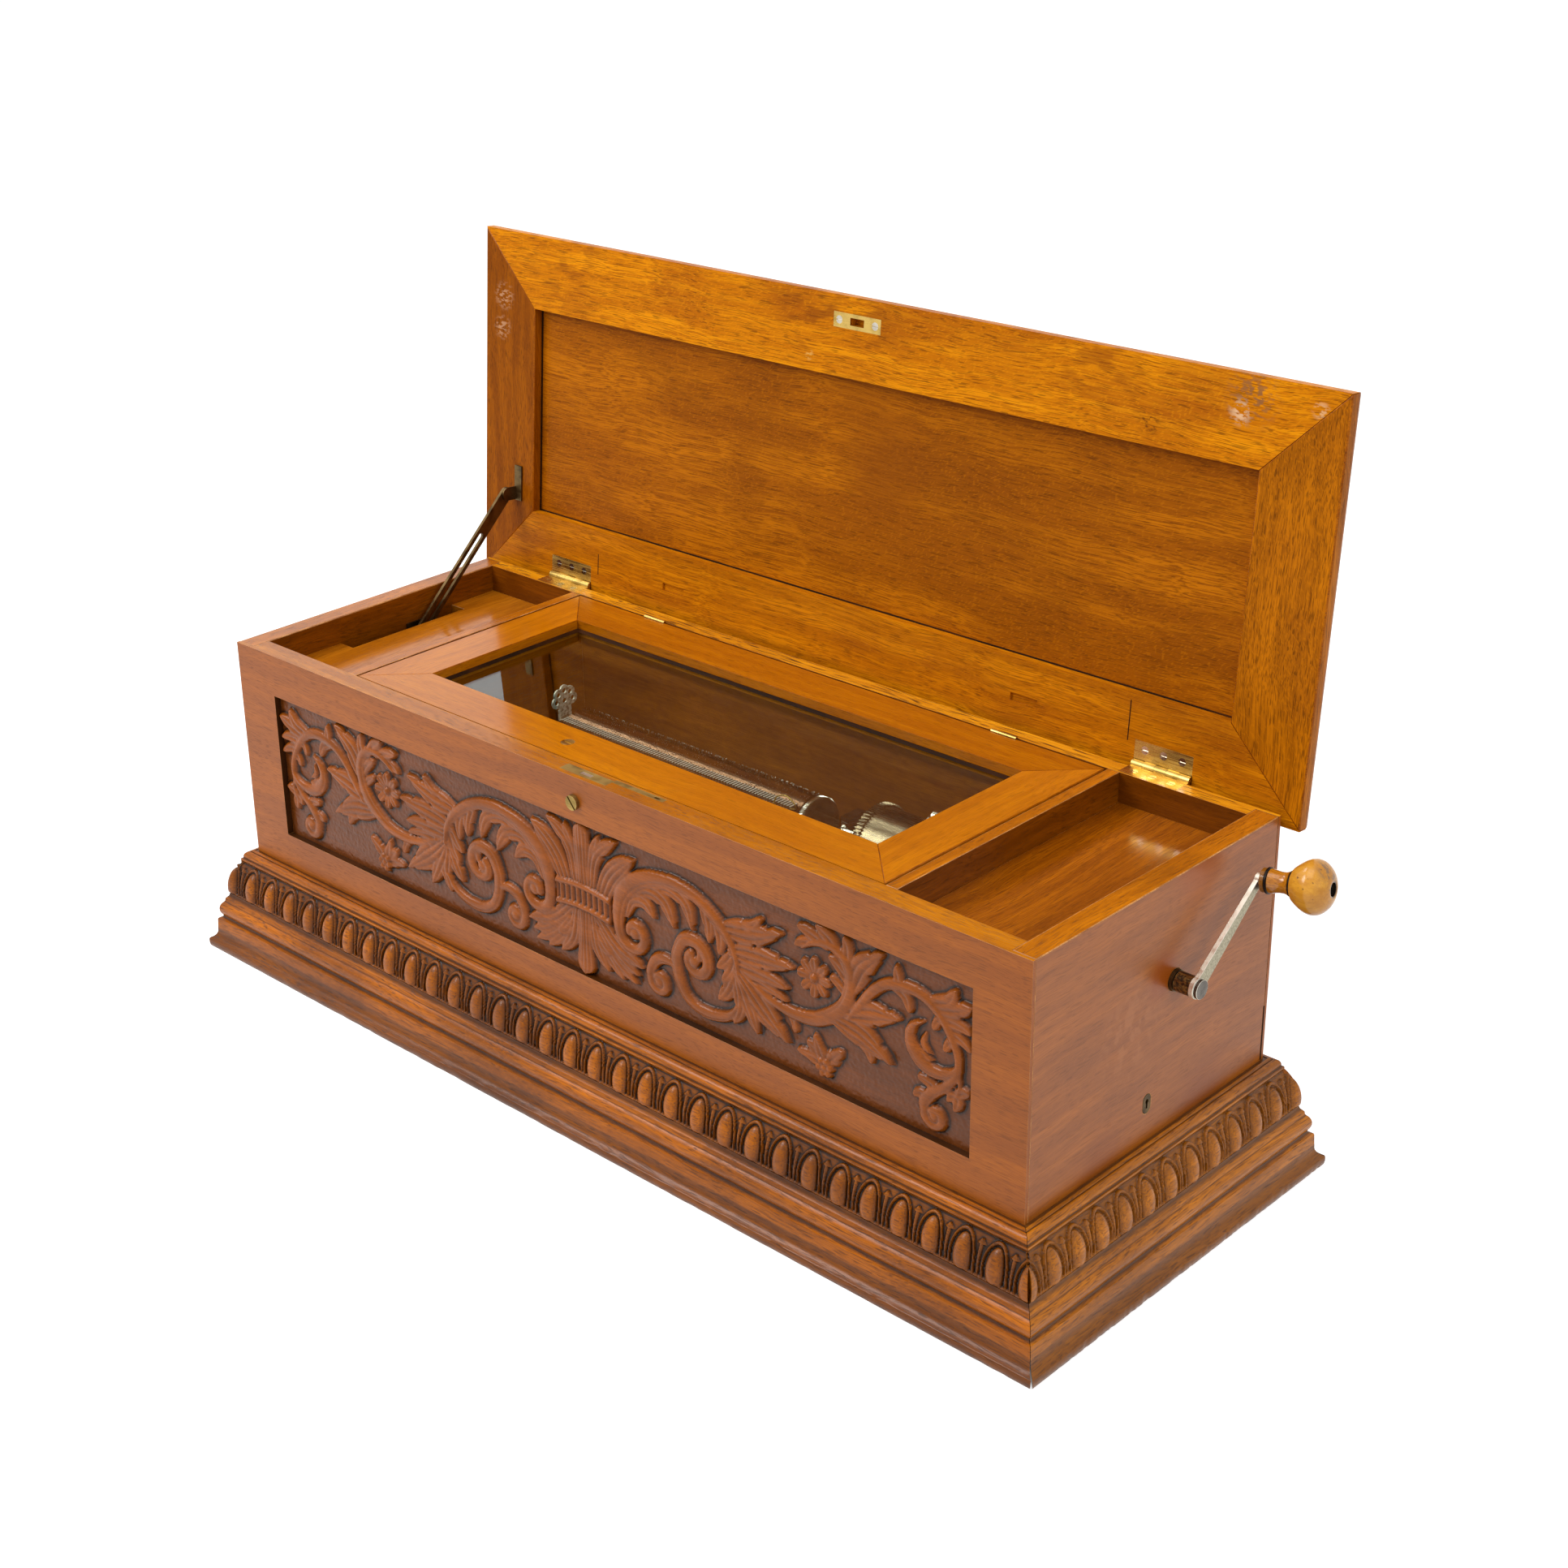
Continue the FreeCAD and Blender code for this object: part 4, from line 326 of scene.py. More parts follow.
def linear(code: str) -> tuple[float, float, float, float]:
    """Turns an sRGB hex value into linear red, green and blue with full alpha.

    Args:
        code: The hex value, with its hash sign.

    Returns:
        The four channels.
    """
    channels = np.array([int(code[i:i + 2], 16) for i in (1, 3, 5)]) / 255
    low, high = channels / 12.92, ((channels + 0.055) / 1.055) ** 2.4
    return (*np.where(channels <= 0.04045, low, high).tolist(), 1.0)


def add(tree: Tree, kind: str, inputs: dict[Union[str, int], Feed], **settings: object) -> bpy.types.Node:
    """Adds a node, sets its properties, and sets or links its inputs.

    Args:
        tree: The material's or world's nodes.
        kind: The node's type name.
        inputs: Input name or number, with a value or the socket that feeds it.
        settings: The node's own properties.

    Returns:
        The new node.
    """
    node = tree.nodes.new(kind)
    for key, value in settings.items():
        setattr(node, key, value)
    for key, value in inputs.items():
        if isinstance(value, Socket):
            tree.links.new(value, node.inputs[key])
        else:
            node.inputs[key].default_value = value
    return node


def start_material(name: str) -> tuple[bpy.types.Material, Tree]:
    """Makes an empty material.

    Args:
        name: The material's name.

    Returns:
        The material and its nodes.
    """
    made = bpy.data.materials.new(name)
    made.use_nodes = True
    made.node_tree.nodes.clear()
    return made, made.node_tree


def speckle(tree: Tree, place: Socket, size: Place, detail: float = 3.0, low: float = 0.0, high: float = 1.0,
            share: float = 1.0) -> Socket:
    """Draws soft random patches of a real size, and spreads the range low to high over 0 to share.

    Args:
        tree: The material's nodes.
        place: Coordinates in millimetres.
        size: The patches' length along each axis, in millimetres.
        detail: Finer layers on top of the first.
        low: Value that becomes 0.
        high: Value that becomes the share.
        share: The strongest value.

    Returns:
        The patches as one value.
    """
    per_mm = tuple(1 / s for s in size)
    squeezed = add(tree, "ShaderNodeVectorMath", {0: place, 1: per_mm}, operation="MULTIPLY")
    cloud = add(tree, "ShaderNodeTexNoise", {"Vector": squeezed.outputs[0], "Scale": 1.0, "Detail": detail})
    return add(tree, "ShaderNodeMapRange", {"Value": cloud.outputs["Fac"], "From Min": low, "From Max": high,
                                            "To Max": share}, interpolation_type="SMOOTHSTEP").outputs[0]


def blended(tree: Tree, share: Feed, first: Feed, second: Feed) -> Socket:
    """Lays the second colour over the first by a share."""
    return add(tree, "ShaderNodeMix", {0: share, 6: first, 7: second}, data_type="RGBA").outputs[2]


def in_mm(tree: Tree) -> Socket:
    """The piece's own coordinates, in millimetres."""
    place = add(tree, "ShaderNodeTexCoord", {}).outputs["Object"]
    return add(tree, "ShaderNodeMapping", {"Vector": place, "Scale": (1 / MM,) * 3}).outputs[0]


class Grain(Enum):
    """The way that a board's fibres run, as the turn that brings them onto X."""

    X = (0.0, 0.0, 0.0)
    Y = (0.0, 0.0, -math.pi / 2)
    Z = (0.0, math.pi / 2, 0.0)


@dataclass(frozen=True)
class Spot:
    """A stain, scuff, knot or painted shadow at one place of a finish, soft at its edge, or broken into
    patches.
    """

    place: Place
    reach: float
    tint: str
    share: float = 0.8
    patch: float = 0.0


@dataclass(frozen=True)
class Oak:
    """Oak, sawn, planed and varnished or waxed: banded tone, dark open pores along the grain, pale ray fleck.

    The pores are drawn about twice as wide as real ones, because finer lines vanish in the picture.
    """

    name: str
    light: str
    dark: str
    deep: str = "#6E3606"
    pore: str = "#3A1A04"
    grain: Grain = Grain.X
    band_mm: float = 10.0
    lines: float = 0.5
    pore_mm: float = 0.6
    pore_l: float = 13.0
    pore_share: float = 0.5
    pore_from: float = 0.58
    clouds: float = 0.35
    fleck: float = 0.2
    rough: float = 0.4
    shine: float = 0.5
    seed: float = 0.0
    hollows: str = ""
    spots: tuple[Spot, ...] = ()

    def build(self) -> bpy.types.Material:
        """Lays bands, streaks, clouds, ray fleck and pores over the light wood, along its grain.

        Returns:
            The material.
        """
        made, tree = start_material(self.name)
        plain = in_mm(tree)
        shift = tuple(self.seed * step for step in SEED_STEP)
        wood = add(tree, "ShaderNodeMapping", {"Vector": plain, "Location": shift,
                                               "Rotation": self.grain.value}).outputs[0]
        sway = add(tree, "ShaderNodeTexNoise", {"Vector": wood, "Scale": SWAY_PER_MM, "Detail": 2.0})
        wood = add(tree, "ShaderNodeVectorMath", {0: sway.outputs["Color"], 1: SWAY_REACH, 2: wood},
                   operation="MULTIPLY_ADD").outputs[0]
        tilted = add(tree, "ShaderNodeMapping", {"Vector": wood, "Rotation": FLECK_TURN}).outputs[0]
        # Bands, streaks, clouds, ray fleck and pores: place, patch size, detail, range, share and tint
        layers = (
            (wood, (220.0, self.band_mm, self.band_mm), 2.0, 0.32, 0.68, 0.8, self.dark),
            (wood, (80.0, 1.0, 1.0), 1.0, 0.42, 0.62, self.lines, self.dark),
            (wood, (110.0, 60.0, 60.0), 3.0, 0.46, 0.70, self.clouds, self.deep),
            (tilted, (14.0, 1.3, 1.3), 0.0, 0.58, 0.72, self.fleck, self.light),
            (wood, (self.pore_l, self.pore_mm, self.pore_mm), 0.0, self.pore_from, self.pore_from + PORE_SOFT,
             self.pore_share, self.pore))
        colour = linear(self.light)
        for at, size, detail, low, high, share, tint in layers:
            mask = speckle(tree, at, size, detail, low, high, share)
            colour = blended(tree, mask, colour, linear(tint))
        for spot in self.spots:
            colour = self.marked(tree, plain, colour, spot)
        # Painted shade: a darkness mark on the mesh pulls the colour towards a near-black in the hollows of
        # the carving, the plinth and the knob; on the egg band it is lighter on the egg crowns, as painted
        # light
        if self.hollows:
            darkness = add(tree, "ShaderNodeAttribute", {}, attribute_name="shade_and_staining").outputs["Fac"]
            colour = blended(tree, darkness, colour, linear(self.hollows))
        gloss = add(tree, "ShaderNodeMapRange", {
            "Value": mask, "To Min": self.rough, "To Max": self.rough + PORE_DULL})
        bump = add(tree, "ShaderNodeBump", {"Height": mask, "Strength": 0.3, "Distance": PORE_DEEP * MM},
                   invert=True)
        shader = add(tree, "ShaderNodeBsdfPrincipled", {
            "Base Color": colour, "Roughness": gloss.outputs[0], "Normal": bump.outputs[0],
            "Specular IOR Level": self.shine})
        add(tree, "ShaderNodeOutputMaterial", {"Surface": shader.outputs[0]})
        return made

    def marked(self, tree: Tree, plain: Socket, colour: Feed, spot: Spot) -> Socket:
        """Lays one spot over a colour, by its distance from the spot's place.

        Args:
            tree: The material's nodes.
            plain: Coordinates in millimetres.
            colour: The colour so far.
            spot: The spot.

        Returns:
            The colour with the spot.
        """
        away = add(tree, "ShaderNodeVectorMath", {0: plain, 1: spot.place}, operation="DISTANCE")
        share = add(tree, "ShaderNodeMapRange", {
            "Value": away.outputs["Value"], "From Min": spot.reach, "From Max": spot.reach * 0.2,
            "To Max": spot.share}, interpolation_type="SMOOTHSTEP").outputs[0]
        if spot.patch:
            broken = speckle(tree, plain, (spot.patch * 2, spot.patch, spot.patch), 3.0, 0.47, 0.60)
            share = add(tree, "ShaderNodeMath", {0: share, 1: broken}, operation="MULTIPLY").outputs[0]
        return blended(tree, share, colour, linear(spot.tint))


@dataclass(frozen=True)
class Metal:
    """A worked metal: cast, rolled, turned or plated, with soft clouds where it has tarnished and fine
    polishing lines; the hub's golden clouds are painted glints, and the tube's browns a painted reflection.
    """

    name: str
    clean: str
    cloud_colour: str
    rough: float = 0.3
    cloud_mm: float = 12.0
    cover: float = 0.5
    lines_mm: Place = (30.0, 0.6, 0.6)
    metal: float = 1.0

    def build(self) -> bpy.types.Material:
        """Lays the cloud colour over the clean metal in clouds, and varies the gloss along the polishing
        lines.

        Returns:
            The material.
        """
        made, tree = start_material(self.name)
        place = in_mm(tree)
        cloud = speckle(tree, place, (self.cloud_mm,) * 3, 4.0, 0.38, 0.70)
        share = add(tree, "ShaderNodeMath", {0: cloud, 1: self.cover}, operation="MULTIPLY").outputs[0]
        colour = blended(tree, share, linear(self.clean), linear(self.cloud_colour))
        lines = speckle(tree, place, self.lines_mm, 2.0)
        gloss = add(tree, "ShaderNodeMapRange", {"Value": lines, "From Min": 0.3, "From Max": 0.7,
                                                 "To Min": self.rough * 0.7, "To Max": self.rough * 1.4})
        bump = add(tree, "ShaderNodeBump", {"Height": lines, "Strength": 0.12, "Distance": LINE_DEEP * MM})
        shader = add(tree, "ShaderNodeBsdfPrincipled", {
            "Base Color": colour, "Metallic": self.metal, "Roughness": gloss.outputs[0],
            "Normal": bump.outputs[0]})
        add(tree, "ShaderNodeOutputMaterial", {"Surface": shader.outputs[0]})
        return made


@dataclass(frozen=True)
class Pane:
    """Old drawn sheet glass: clear and faintly green, with a slight ripple."""

    name: str
    tint: str

    def build(self) -> bpy.types.Material:
        """Bends light as glass does, and lets lamp light through to what lies under it.

        Returns:
            The material.
        """
        made, tree = start_material(self.name)
        ripple = speckle(tree, in_mm(tree), (140.0, 60.0, 60.0), 1.0)
        bump = add(tree, "ShaderNodeBump", {"Height": ripple, "Strength": 0.03, "Distance": RIPPLE_DEEP * MM})
        glass = add(tree, "ShaderNodeBsdfPrincipled", {
            "Base Color": linear(self.tint), "Roughness": 0.0, "IOR": GLASS_IOR, "Transmission Weight": 1.0,
            "Normal": bump.outputs[0]})
        clear = add(tree, "ShaderNodeBsdfTransparent", {"Color": linear(self.tint)})
        path = add(tree, "ShaderNodeLightPath", {}).outputs
        lit = add(tree, "ShaderNodeMath", {0: path["Is Shadow Ray"], 1: path["Is Diffuse Ray"]},
                  operation="MAXIMUM")
        both = add(tree, "ShaderNodeMixShader", {0: lit.outputs[0], 1: glass.outputs[0], 2: clear.outputs[0]})
        add(tree, "ShaderNodeOutputMaterial", {"Surface": both.outputs[0]})
        return made


Finish = Union[Oak, Metal, Pane]
# Pale scuffs and dark stains on the lid, small knots, and brown shadows round the crank's hub
LID_SCUFFS = (
    Spot((357.0, 170.8, 572.0), 27.0, "#8A5A34", 0.9, 3.0),
    Spot((349.0, 169.9, 561.5), 12.0, "#E0B48A", 0.9, 3.0),
    Spot((410.0, 170.9, 573.0), 9.0, "#D9A878", 0.8, 2.5),
    Spot((-45.0, 167.9, 536.5), 6.0, "#DDAA55", 0.7, 2.0),
    Spot((276.0, 168.5, 541.0), 13.0, "#5A2C08", 0.8, 2.5),
    Spot((-20.0, 171.6, 583.0), 90.0, "#7A3A0A", 0.6, 16.0),
    Spot((-330.0, 171.6, 583.0), 70.0, "#7A3A0A", 0.5, 14.0),
    Spot((230.0, 171.6, 583.0), 60.0, "#8A4408", 0.5, 14.0))
PANEL_KNOTS = (
    Spot((319.7, 156.6, 508.0), 5.0, "#5A2A06", 0.8, 2.0),
    Spot((321.0, 146.4, 382.0), 5.0, "#5A2A06", 0.8, 2.0),
    Spot((-99.0, 157.8, 523.0), 7.0, "#5A2A06", 0.8, 2.0),
    Spot((34.0, 152.7, 460.0), 70.0, "#7E4006", 0.55),
    Spot((-182.0, 149.6, 421.0), 16.0, "#6A3206", 0.7, 4.0),
    Spot((0.0, 158.0, 530.0), 60.0, "#8A4A06", 0.4))
# The right side: painted brown shadow round the crank's hub, more darker patches and a paler patch
SIDE_SHADOWS_AND_STAINS = (
    Spot((420.0, 4.0, 219.0), 24.0, "#8A3E04", 0.9),
    Spot((420.0, 43.0, 290.0), 40.0, "#9A4A08", 0.7),
    Spot((420.0, 60.0, 95.0), 46.0, "#7A3804", 0.6),
    Spot((420.0, -60.0, 95.0), 40.0, "#7A3804", 0.5),
    Spot((420.0, -30.0, 190.0), 50.0, "#A8622A", 0.5, 9.0))
STILE_SCUFFS = (
    Spot((-408.0, 167.0, 530.0), 16.0, "#C99A74", 0.6, 2.5),
    Spot((-410.0, 165.0, 502.0), 14.0, "#C99A74", 0.6, 2.5))
KNOB_WEAR = (Spot((486.0, 98.0, 284.0), 14.0, "#5A5048", 0.8, 7.0),)
# Outside: red-brown waxed oak, darker behind the carving, streaked on the plinth, with near-black painted
# shade in the hollows of the carving and the plinth
OAK_FRONT = Oak("oak_planed_waxed_front", "#A45708", "#8C4705", "#7C3E08", seed=1, rough=0.42, shine=0.33,
                pore_share=0.3, pore_l=9.0, fleck=0.1, clouds=0.25)
OAK_CARVED = Oak("oak_carved_waxed", "#9C4E06", "#7E3E03", "#6C3606", seed=2, rough=0.3, shine=0.25,
                 pore_share=0.2, clouds=0.25, hollows="#2A1A12")
OAK_SIDE = Oak("oak_quarter_sawn_side", "#A85C0E", "#8A4804", "#7E420E", grain=Grain.Y, seed=3, rough=0.34,
               shine=0.36, fleck=0.25, pore_share=0.25, spots=SIDE_SHADOWS_AND_STAINS)
OAK_PLINTH = Oak("oak_moulded_stained_front", "#BE6804", "#944D04", "#6E3808", seed=5, rough=0.26,
                 shine=0.22, pore_share=0.6, clouds=0.6, lines=0.7, hollows="#1C0F08")
OAK_PLINTH_SIDE = Oak("oak_moulded_stained_side", "#C8760E", "#9E5A08", "#7A4310", grain=Grain.Y, seed=6,
                      rough=0.26, shine=0.28, pore_share=0.6, clouds=0.5, lines=0.7, hollows="#3C2412")
OAK_REVEAL = Oak("oak_waxed_dark_reveal", "#40220A", "#2C1606", seed=26, shine=0.15)
# Rim and inside: bright amber varnish, open dark pores behind, and painted shade: brown copies of the varnish
# on the inner walls and partitions, where no light falls
OAK_RIM = Oak("oak_open_grained_rim", "#E89C10", "#B46A06", "#8A4804", seed=7, pore_share=0.85,
              pore_mm=1.3, pore_l=26.0, rough=0.2)
OAK_TOP = Oak("oak_varnished_rim_front", "#C0740A", "#9C5606", seed=8, rough=0.2, pore_share=0.5)
OAK_TOP_Y = Oak("oak_varnished_rim_side", "#C47206", "#9E5604", grain=Grain.Y, seed=9, rough=0.18,
                pore_share=0.5)
SHADED_INNER_WALL = Oak("oak_varnished_inner_wall_painted_shade", "#804204", "#602E02", seed=10, rough=0.35, shine=0.08,
               pore_share=0.3)
SHADED_PARTITION = Oak("oak_varnished_partition_painted_shade", "#864604", "#663202", grain=Grain.Y, seed=11, rough=0.2,
                    shine=0.2)
OAK_TRAY = Oak("oak_varnished_tray", "#A85C04", "#804004", "#643004", grain=Grain.Y, seed=12, rough=0.14,
               clouds=0.6, pore_share=0.4, lines=0.7)
# The left tray: a lighter copy of the tray's varnish, a painted sheen for the white room that its gloss
# reflects
SHEEN_LEFT_TRAY = Oak("oak_varnished_left_tray_painted_sheen", "#BC7012", "#965208", "#7C4006", grain=Grain.Y, seed=27,
                    rough=0.12, clouds=0.4, pore_share=0.3)
# Glass lid: smooth orange varnish with a soft gloss; the back rail is a darker copy, a painted shadow of the
# raised lid
OAK_GLASS_X = Oak("oak_varnished_glass_rail", "#C27404", "#AC6004", "#A25604", seed=13, rough=0.13,
                  pore_share=0.25)
SHADOWED_GLASS_BACK_RAIL = Oak("oak_varnished_glass_back_rail_painted_shadow", "#B46803", "#9A5203", "#8E4A04", seed=4, rough=0.2,
                     shine=0.1, pore_share=0.3)
OAK_GLASS_Y = Oak("oak_varnished_glass_stile", "#C47404", "#AC6004", "#A25604", grain=Grain.Y, seed=14,
                  rough=0.13, pore_share=0.25)
# Lid: deep amber with fine streaks, a brown panel and redder moulded edges
OAK_LID_TOP = Oak("oak_varnished_lid_top_rail", "#E28E08", "#B86604", "#94480A", seed=15, rough=0.3,
                  shine=0.04, clouds=0.5, pore_share=0.5, lines=0.8, fleck=0.3, spots=LID_SCUFFS)
OAK_LID_REAR = Oak("oak_varnished_lid_rear_rail", "#D07E06", "#A45A04", "#84400A", seed=16, rough=0.3,
                   shine=0.05, clouds=0.45, pore_share=0.4, lines=0.8)
OAK_LID_RIGHT = Oak("oak_varnished_lid_right_stile", "#C27006", "#925004", "#7E3E0A", grain=Grain.Z,
                    seed=17, rough=0.3, shine=0.04, pore_share=0.5, lines=0.7, fleck=0.4)
OAK_LID_LEFT = Oak("oak_varnished_lid_left_stile", "#9C5404", "#7A3C02", "#6A3004", grain=Grain.Z, seed=18,
                   rough=0.3, shine=0.04, pore_share=0.4, spots=STILE_SCUFFS)
OAK_LID_PANEL = Oak("oak_varnished_lid_panel", "#BC6C06", "#8E4A04", "#804204", seed=19, band_mm=24.0,
                    rough=0.3, shine=0.04, pore_share=0.4, lines=0.8, clouds=0.5, fleck=0.35,
                    spots=PANEL_KNOTS)
OAK_LID_EDGE = Oak("oak_varnished_moulded_edge", "#B4650A", "#8A4406", "#6E3206", seed=25, rough=0.25,
                   shine=0.1)
# Rubbed pale edges, a near-black for dirt in joints and painted shade in gaps, raw wood under the works, and
# the speckled knob
OAK_WORN = Oak("oak_rubbed_arris", "#D89A58", "#8A4E18", seed=20, band_mm=16.0, pore_share=0.3)
GRIME_AND_GAP_SHADE = Oak("grime_and_painted_gap_shade", "#2A1708", "#1C0E05", seed=21, rough=0.8, shine=0.1)
SPRUCE = Oak("spruce_planed_inside", "#8A5C2A", "#6E4418", "#5A3410", seed=22, pore_share=0.2, fleck=0.0,
             shine=0.1)
BOXWOOD = Oak("boxwood_turned_ball", "#D2942E", "#B4741E", "#965818", "#3E2208", seed=23, band_mm=8.0,
              lines=0.3, pore_mm=1.5, pore_l=4.0, pore_share=0.7, pore_from=0.74, rough=0.2, shine=0.4,
              hollows="#160D06", spots=KNOB_WEAR)
AMBER_WOOD = Oak("boxwood_turned_neck", "#C27C18", "#9A560C", seed=24, rough=0.12, pore_share=0.3,
                 hollows="#160D06")
# Metals: yellow brass with brown clouds, dark bronze, grey and bright steel, white nickel and tin
BRASS = Metal("brass_rolled_aged", "#C9A85C", "#7E6530", rough=0.3)
BRASS_DULL = Metal("brass_dull_lock_plate", "#A68A4E", "#7A6434", rough=0.45, cover=0.8)
BRONZE = Metal("bronze_cast_darkened", "#6B5636", "#33281A", rough=0.42, cover=0.8)
STEEL = Metal("steel_filed_bright", "#C9C2B2", "#8E8674", rough=0.32)
WORN_STEEL = Metal("steel_forged_pitted_arm", "#A8A088", "#7E7660", rough=0.42, cloud_mm=1.8, cover=0.7)
NICKEL = Metal("nickel_plated_polished", "#CFC6B6", "#8E857A", rough=0.16)
NICKEL_SATIN = Metal("nickel_satin_turned_barrel", "#786954", "#564A3C", rough=0.22)
# The tube's two browns are a painted reflection of the box's brown inside, which the polished tube mirrors
TUNE_BRASS = Metal("brass_tube_painted_brown_reflection_with_pins", "#5E4432", "#3A2A1C", rough=0.08,
                   lines_mm=(80.0, 12.0, 12.0))
DARK_STEEL = Metal("steel_hardened_grey", "#6E6860", "#3A342E", rough=0.3, cover=0.8)
EDGE_STEEL = Metal("steel_rubbed_bright_edge", "#EEE6D6", "#C8BEAA", rough=0.42, cover=0.3,
                   lines_mm=(6.0, 6.0, 6.0))
# The comb's tooth flats: pale and partly matt, real ground flats with a painted highlight
GROUND_STEEL = Metal("steel_ground_tooth_flats_painted_highlight", "#E4E0D8", "#A8A298", rough=0.3, cloud_mm=4.0, metal=0.4)
TINNED = Metal("tin_plate_engraved", "#C9C2B6", "#4E4840", rough=0.45, cloud_mm=3.0, cover=0.9, metal=0.3)
# The hub: dark bronze, with golden clouds as painted glints
HUB_BRONZE = Metal("bronze_hub_with_painted_glints", "#4A3F32", "#B8924E", rough=0.35, cloud_mm=2.2, cover=0.7)
IRON = Metal("iron_cast_silvered_bed", "#8E887E", "#5E574C", rough=0.45, cloud_mm=25.0)
BLACK_RING = Metal("iron_blackened_ring", "#2A2624", "#151312", rough=0.4)
GLASS = Pane("glass_drawn_sheet", "#EEF6F0")
SHOP: dict[str, bpy.types.Material] = {}


def material(finish: Finish) -> bpy.types.Material:
    """Makes a finish once and hands out the same material after that.

    Args:
        finish: The finish.

    Returns:
        Its material.
    """
    if finish.name not in SHOP:
        SHOP[finish.name] = finish.build()
    return SHOP[finish.name]


def dress(piece: Piece, finish: Finish, body: str, slot: str, nodes: Sequence[str] = (),
          edge: Optional[Finish] = None) -> Piece:
    """Gives a new piece its finish, the body that it rides on and the nodes that it stands for.

    Args:
        piece: The new piece.
        finish: What covers it.
        body: The frame's body.
        slot: The record's material slot; not used.
        nodes: Frame nodes that it stands for.
        edge: Finish of the rounded edges.

    Returns:
        The piece.
    """
    piece.data.materials.append(material(finish))
    if edge:
        piece.data.materials.append(material(edge))
    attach(piece, body)
    if nodes:
        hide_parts(*nodes)
    LOG.info("%s rides on %s in %s", piece.name, body, finish.name)
    return piece


def finish_nodes(finish: Finish, *nodes: str) -> None:
    """Puts a finish on pieces of the frame that keep their shape.

    Args:
        finish: What covers them.
        nodes: The frame's nodes.
    """
    for node in nodes:
        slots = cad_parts[node].material_slots
        for slot in slots:
            slot.material = material(finish)
        if not slots:
            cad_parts[node].data.materials.append(material(finish))
        LOG.info("%s keeps its shape in %s", node, finish.name)


# Carved front panel

@dataclass(frozen=True)
class Stroke:
    """One carved stem or leaf of the right half: a path in the panel's plane with half-widths along it.

    A stroke with reeds is a leaf with that many fluted ribs; without them it is a smooth round stem.
    teeth notches a leaf's edge, and curl adds a coil: centre, two radii and two angles in degrees.
    """

    path: tuple[Point, ...]
    wide: tuple[float, ...]
    high: float
    reeds: int = 0
    teeth: float = 0.0
    curl: tuple[float, ...] = ()

    def line(self) -> np.ndarray:
        """The centre line, at even steps of under a millimetre.

        Returns:
            The line's points, one row each.
        """
        points = list(self.path)
        if self.curl:
            x, z, r0, r1, a0, a1 = self.curl
            turn, reach = np.radians(np.linspace(a0, a1, 10)), np.linspace(r0, r1, 10)
            points += list(zip(x + reach * np.cos(turn), z + reach * np.sin(turn)))
        fine = smooth_path(points, 40 * len(points))
        run = np.concatenate([[0], np.cumsum(np.linalg.norm(np.diff(fine, axis=0), axis=1))])
        even = np.linspace(0, run[-1], max(12, int(run[-1] / 0.7)))
        return np.stack([np.interp(even, run, fine[:, k]) for k in (0, 1)], 1)

    def height(self, places: np.ndarray, line: np.ndarray) -> np.ndarray:
        """Height of the stroke over points of the panel, 0 outside it.

        Each point takes the nearest place on the centre line. Across the stroke the height is an
        arch, grooved once near one edge on a stem and fluted in equal ribs on a leaf. A leaf rises a
        little towards its tip, which closes like half an ellipse.

        Args:
            places: Points of the panel, one row each.
            line: The stroke's centre line.

        Returns:
            One height for each point.
        """
        run = np.gradient(line, axis=0)
        run /= np.linalg.norm(run, axis=1)[:, None] + 1e-9
        share = np.linspace(0, 1, len(line))
        wide = np.maximum(smooth_path(list(enumerate(self.wide)), len(line))[:, 1], 0.15)
        near = ((places**2).sum(1)[:, None] + (line**2).sum(1) - 2 * places @ line.T).argmin(1)
        off = places - line[near]
        along = (off * run[near]).sum(1)
        across = off[:, 1] * run[near, 0] - off[:, 0] * run[near, 1]
        at = np.clip(share[near] + along / (0.7 * len(line)), 0, 1)
        half = np.interp(at, share, wide)
        if self.reeds:
            half = half * np.sqrt(np.clip(1 - np.clip((at - 0.72) / 0.28, 0, 1) ** 2.4, 0.01, 1))
        edge = half
        if self.teeth:
            phase = (at * self.teeth + 0.15 * np.sign(across)) % 1.0
            edge = half * (1.04 - 0.26 * np.exp(-((phase - 0.06) / 0.13) ** 2) * (at > 0.25))
        beyond = np.where(near == len(line) - 1, np.maximum(along, 0), 0)
        past = np.where(near == 0, np.maximum(-along, 0), beyond)
        reach = np.hypot(across, past) / edge
        if self.reeds:
            rib = np.abs(np.sin(self.reeds * np.pi * (np.clip(across / half, -1, 1) + 1) / 2)) ** 0.55
            fade = np.clip(1.25 - at, 0.25, 1)
            high = self.high * (1 - 0.45 * fade * (1 - rib)) * (1 - 0.28 * reach**2) * (0.82 + 0.22 * at)
        else:
            groove = np.exp(-(((across - 0.5 * half) / 0.7) ** 2)) * np.clip((half - 2.5) / 2, 0, 1)
            high = self.high * (1 - 0.38 * reach**2.4) - 0.7 * groove
        return np.where(reach < 1, high, 0)


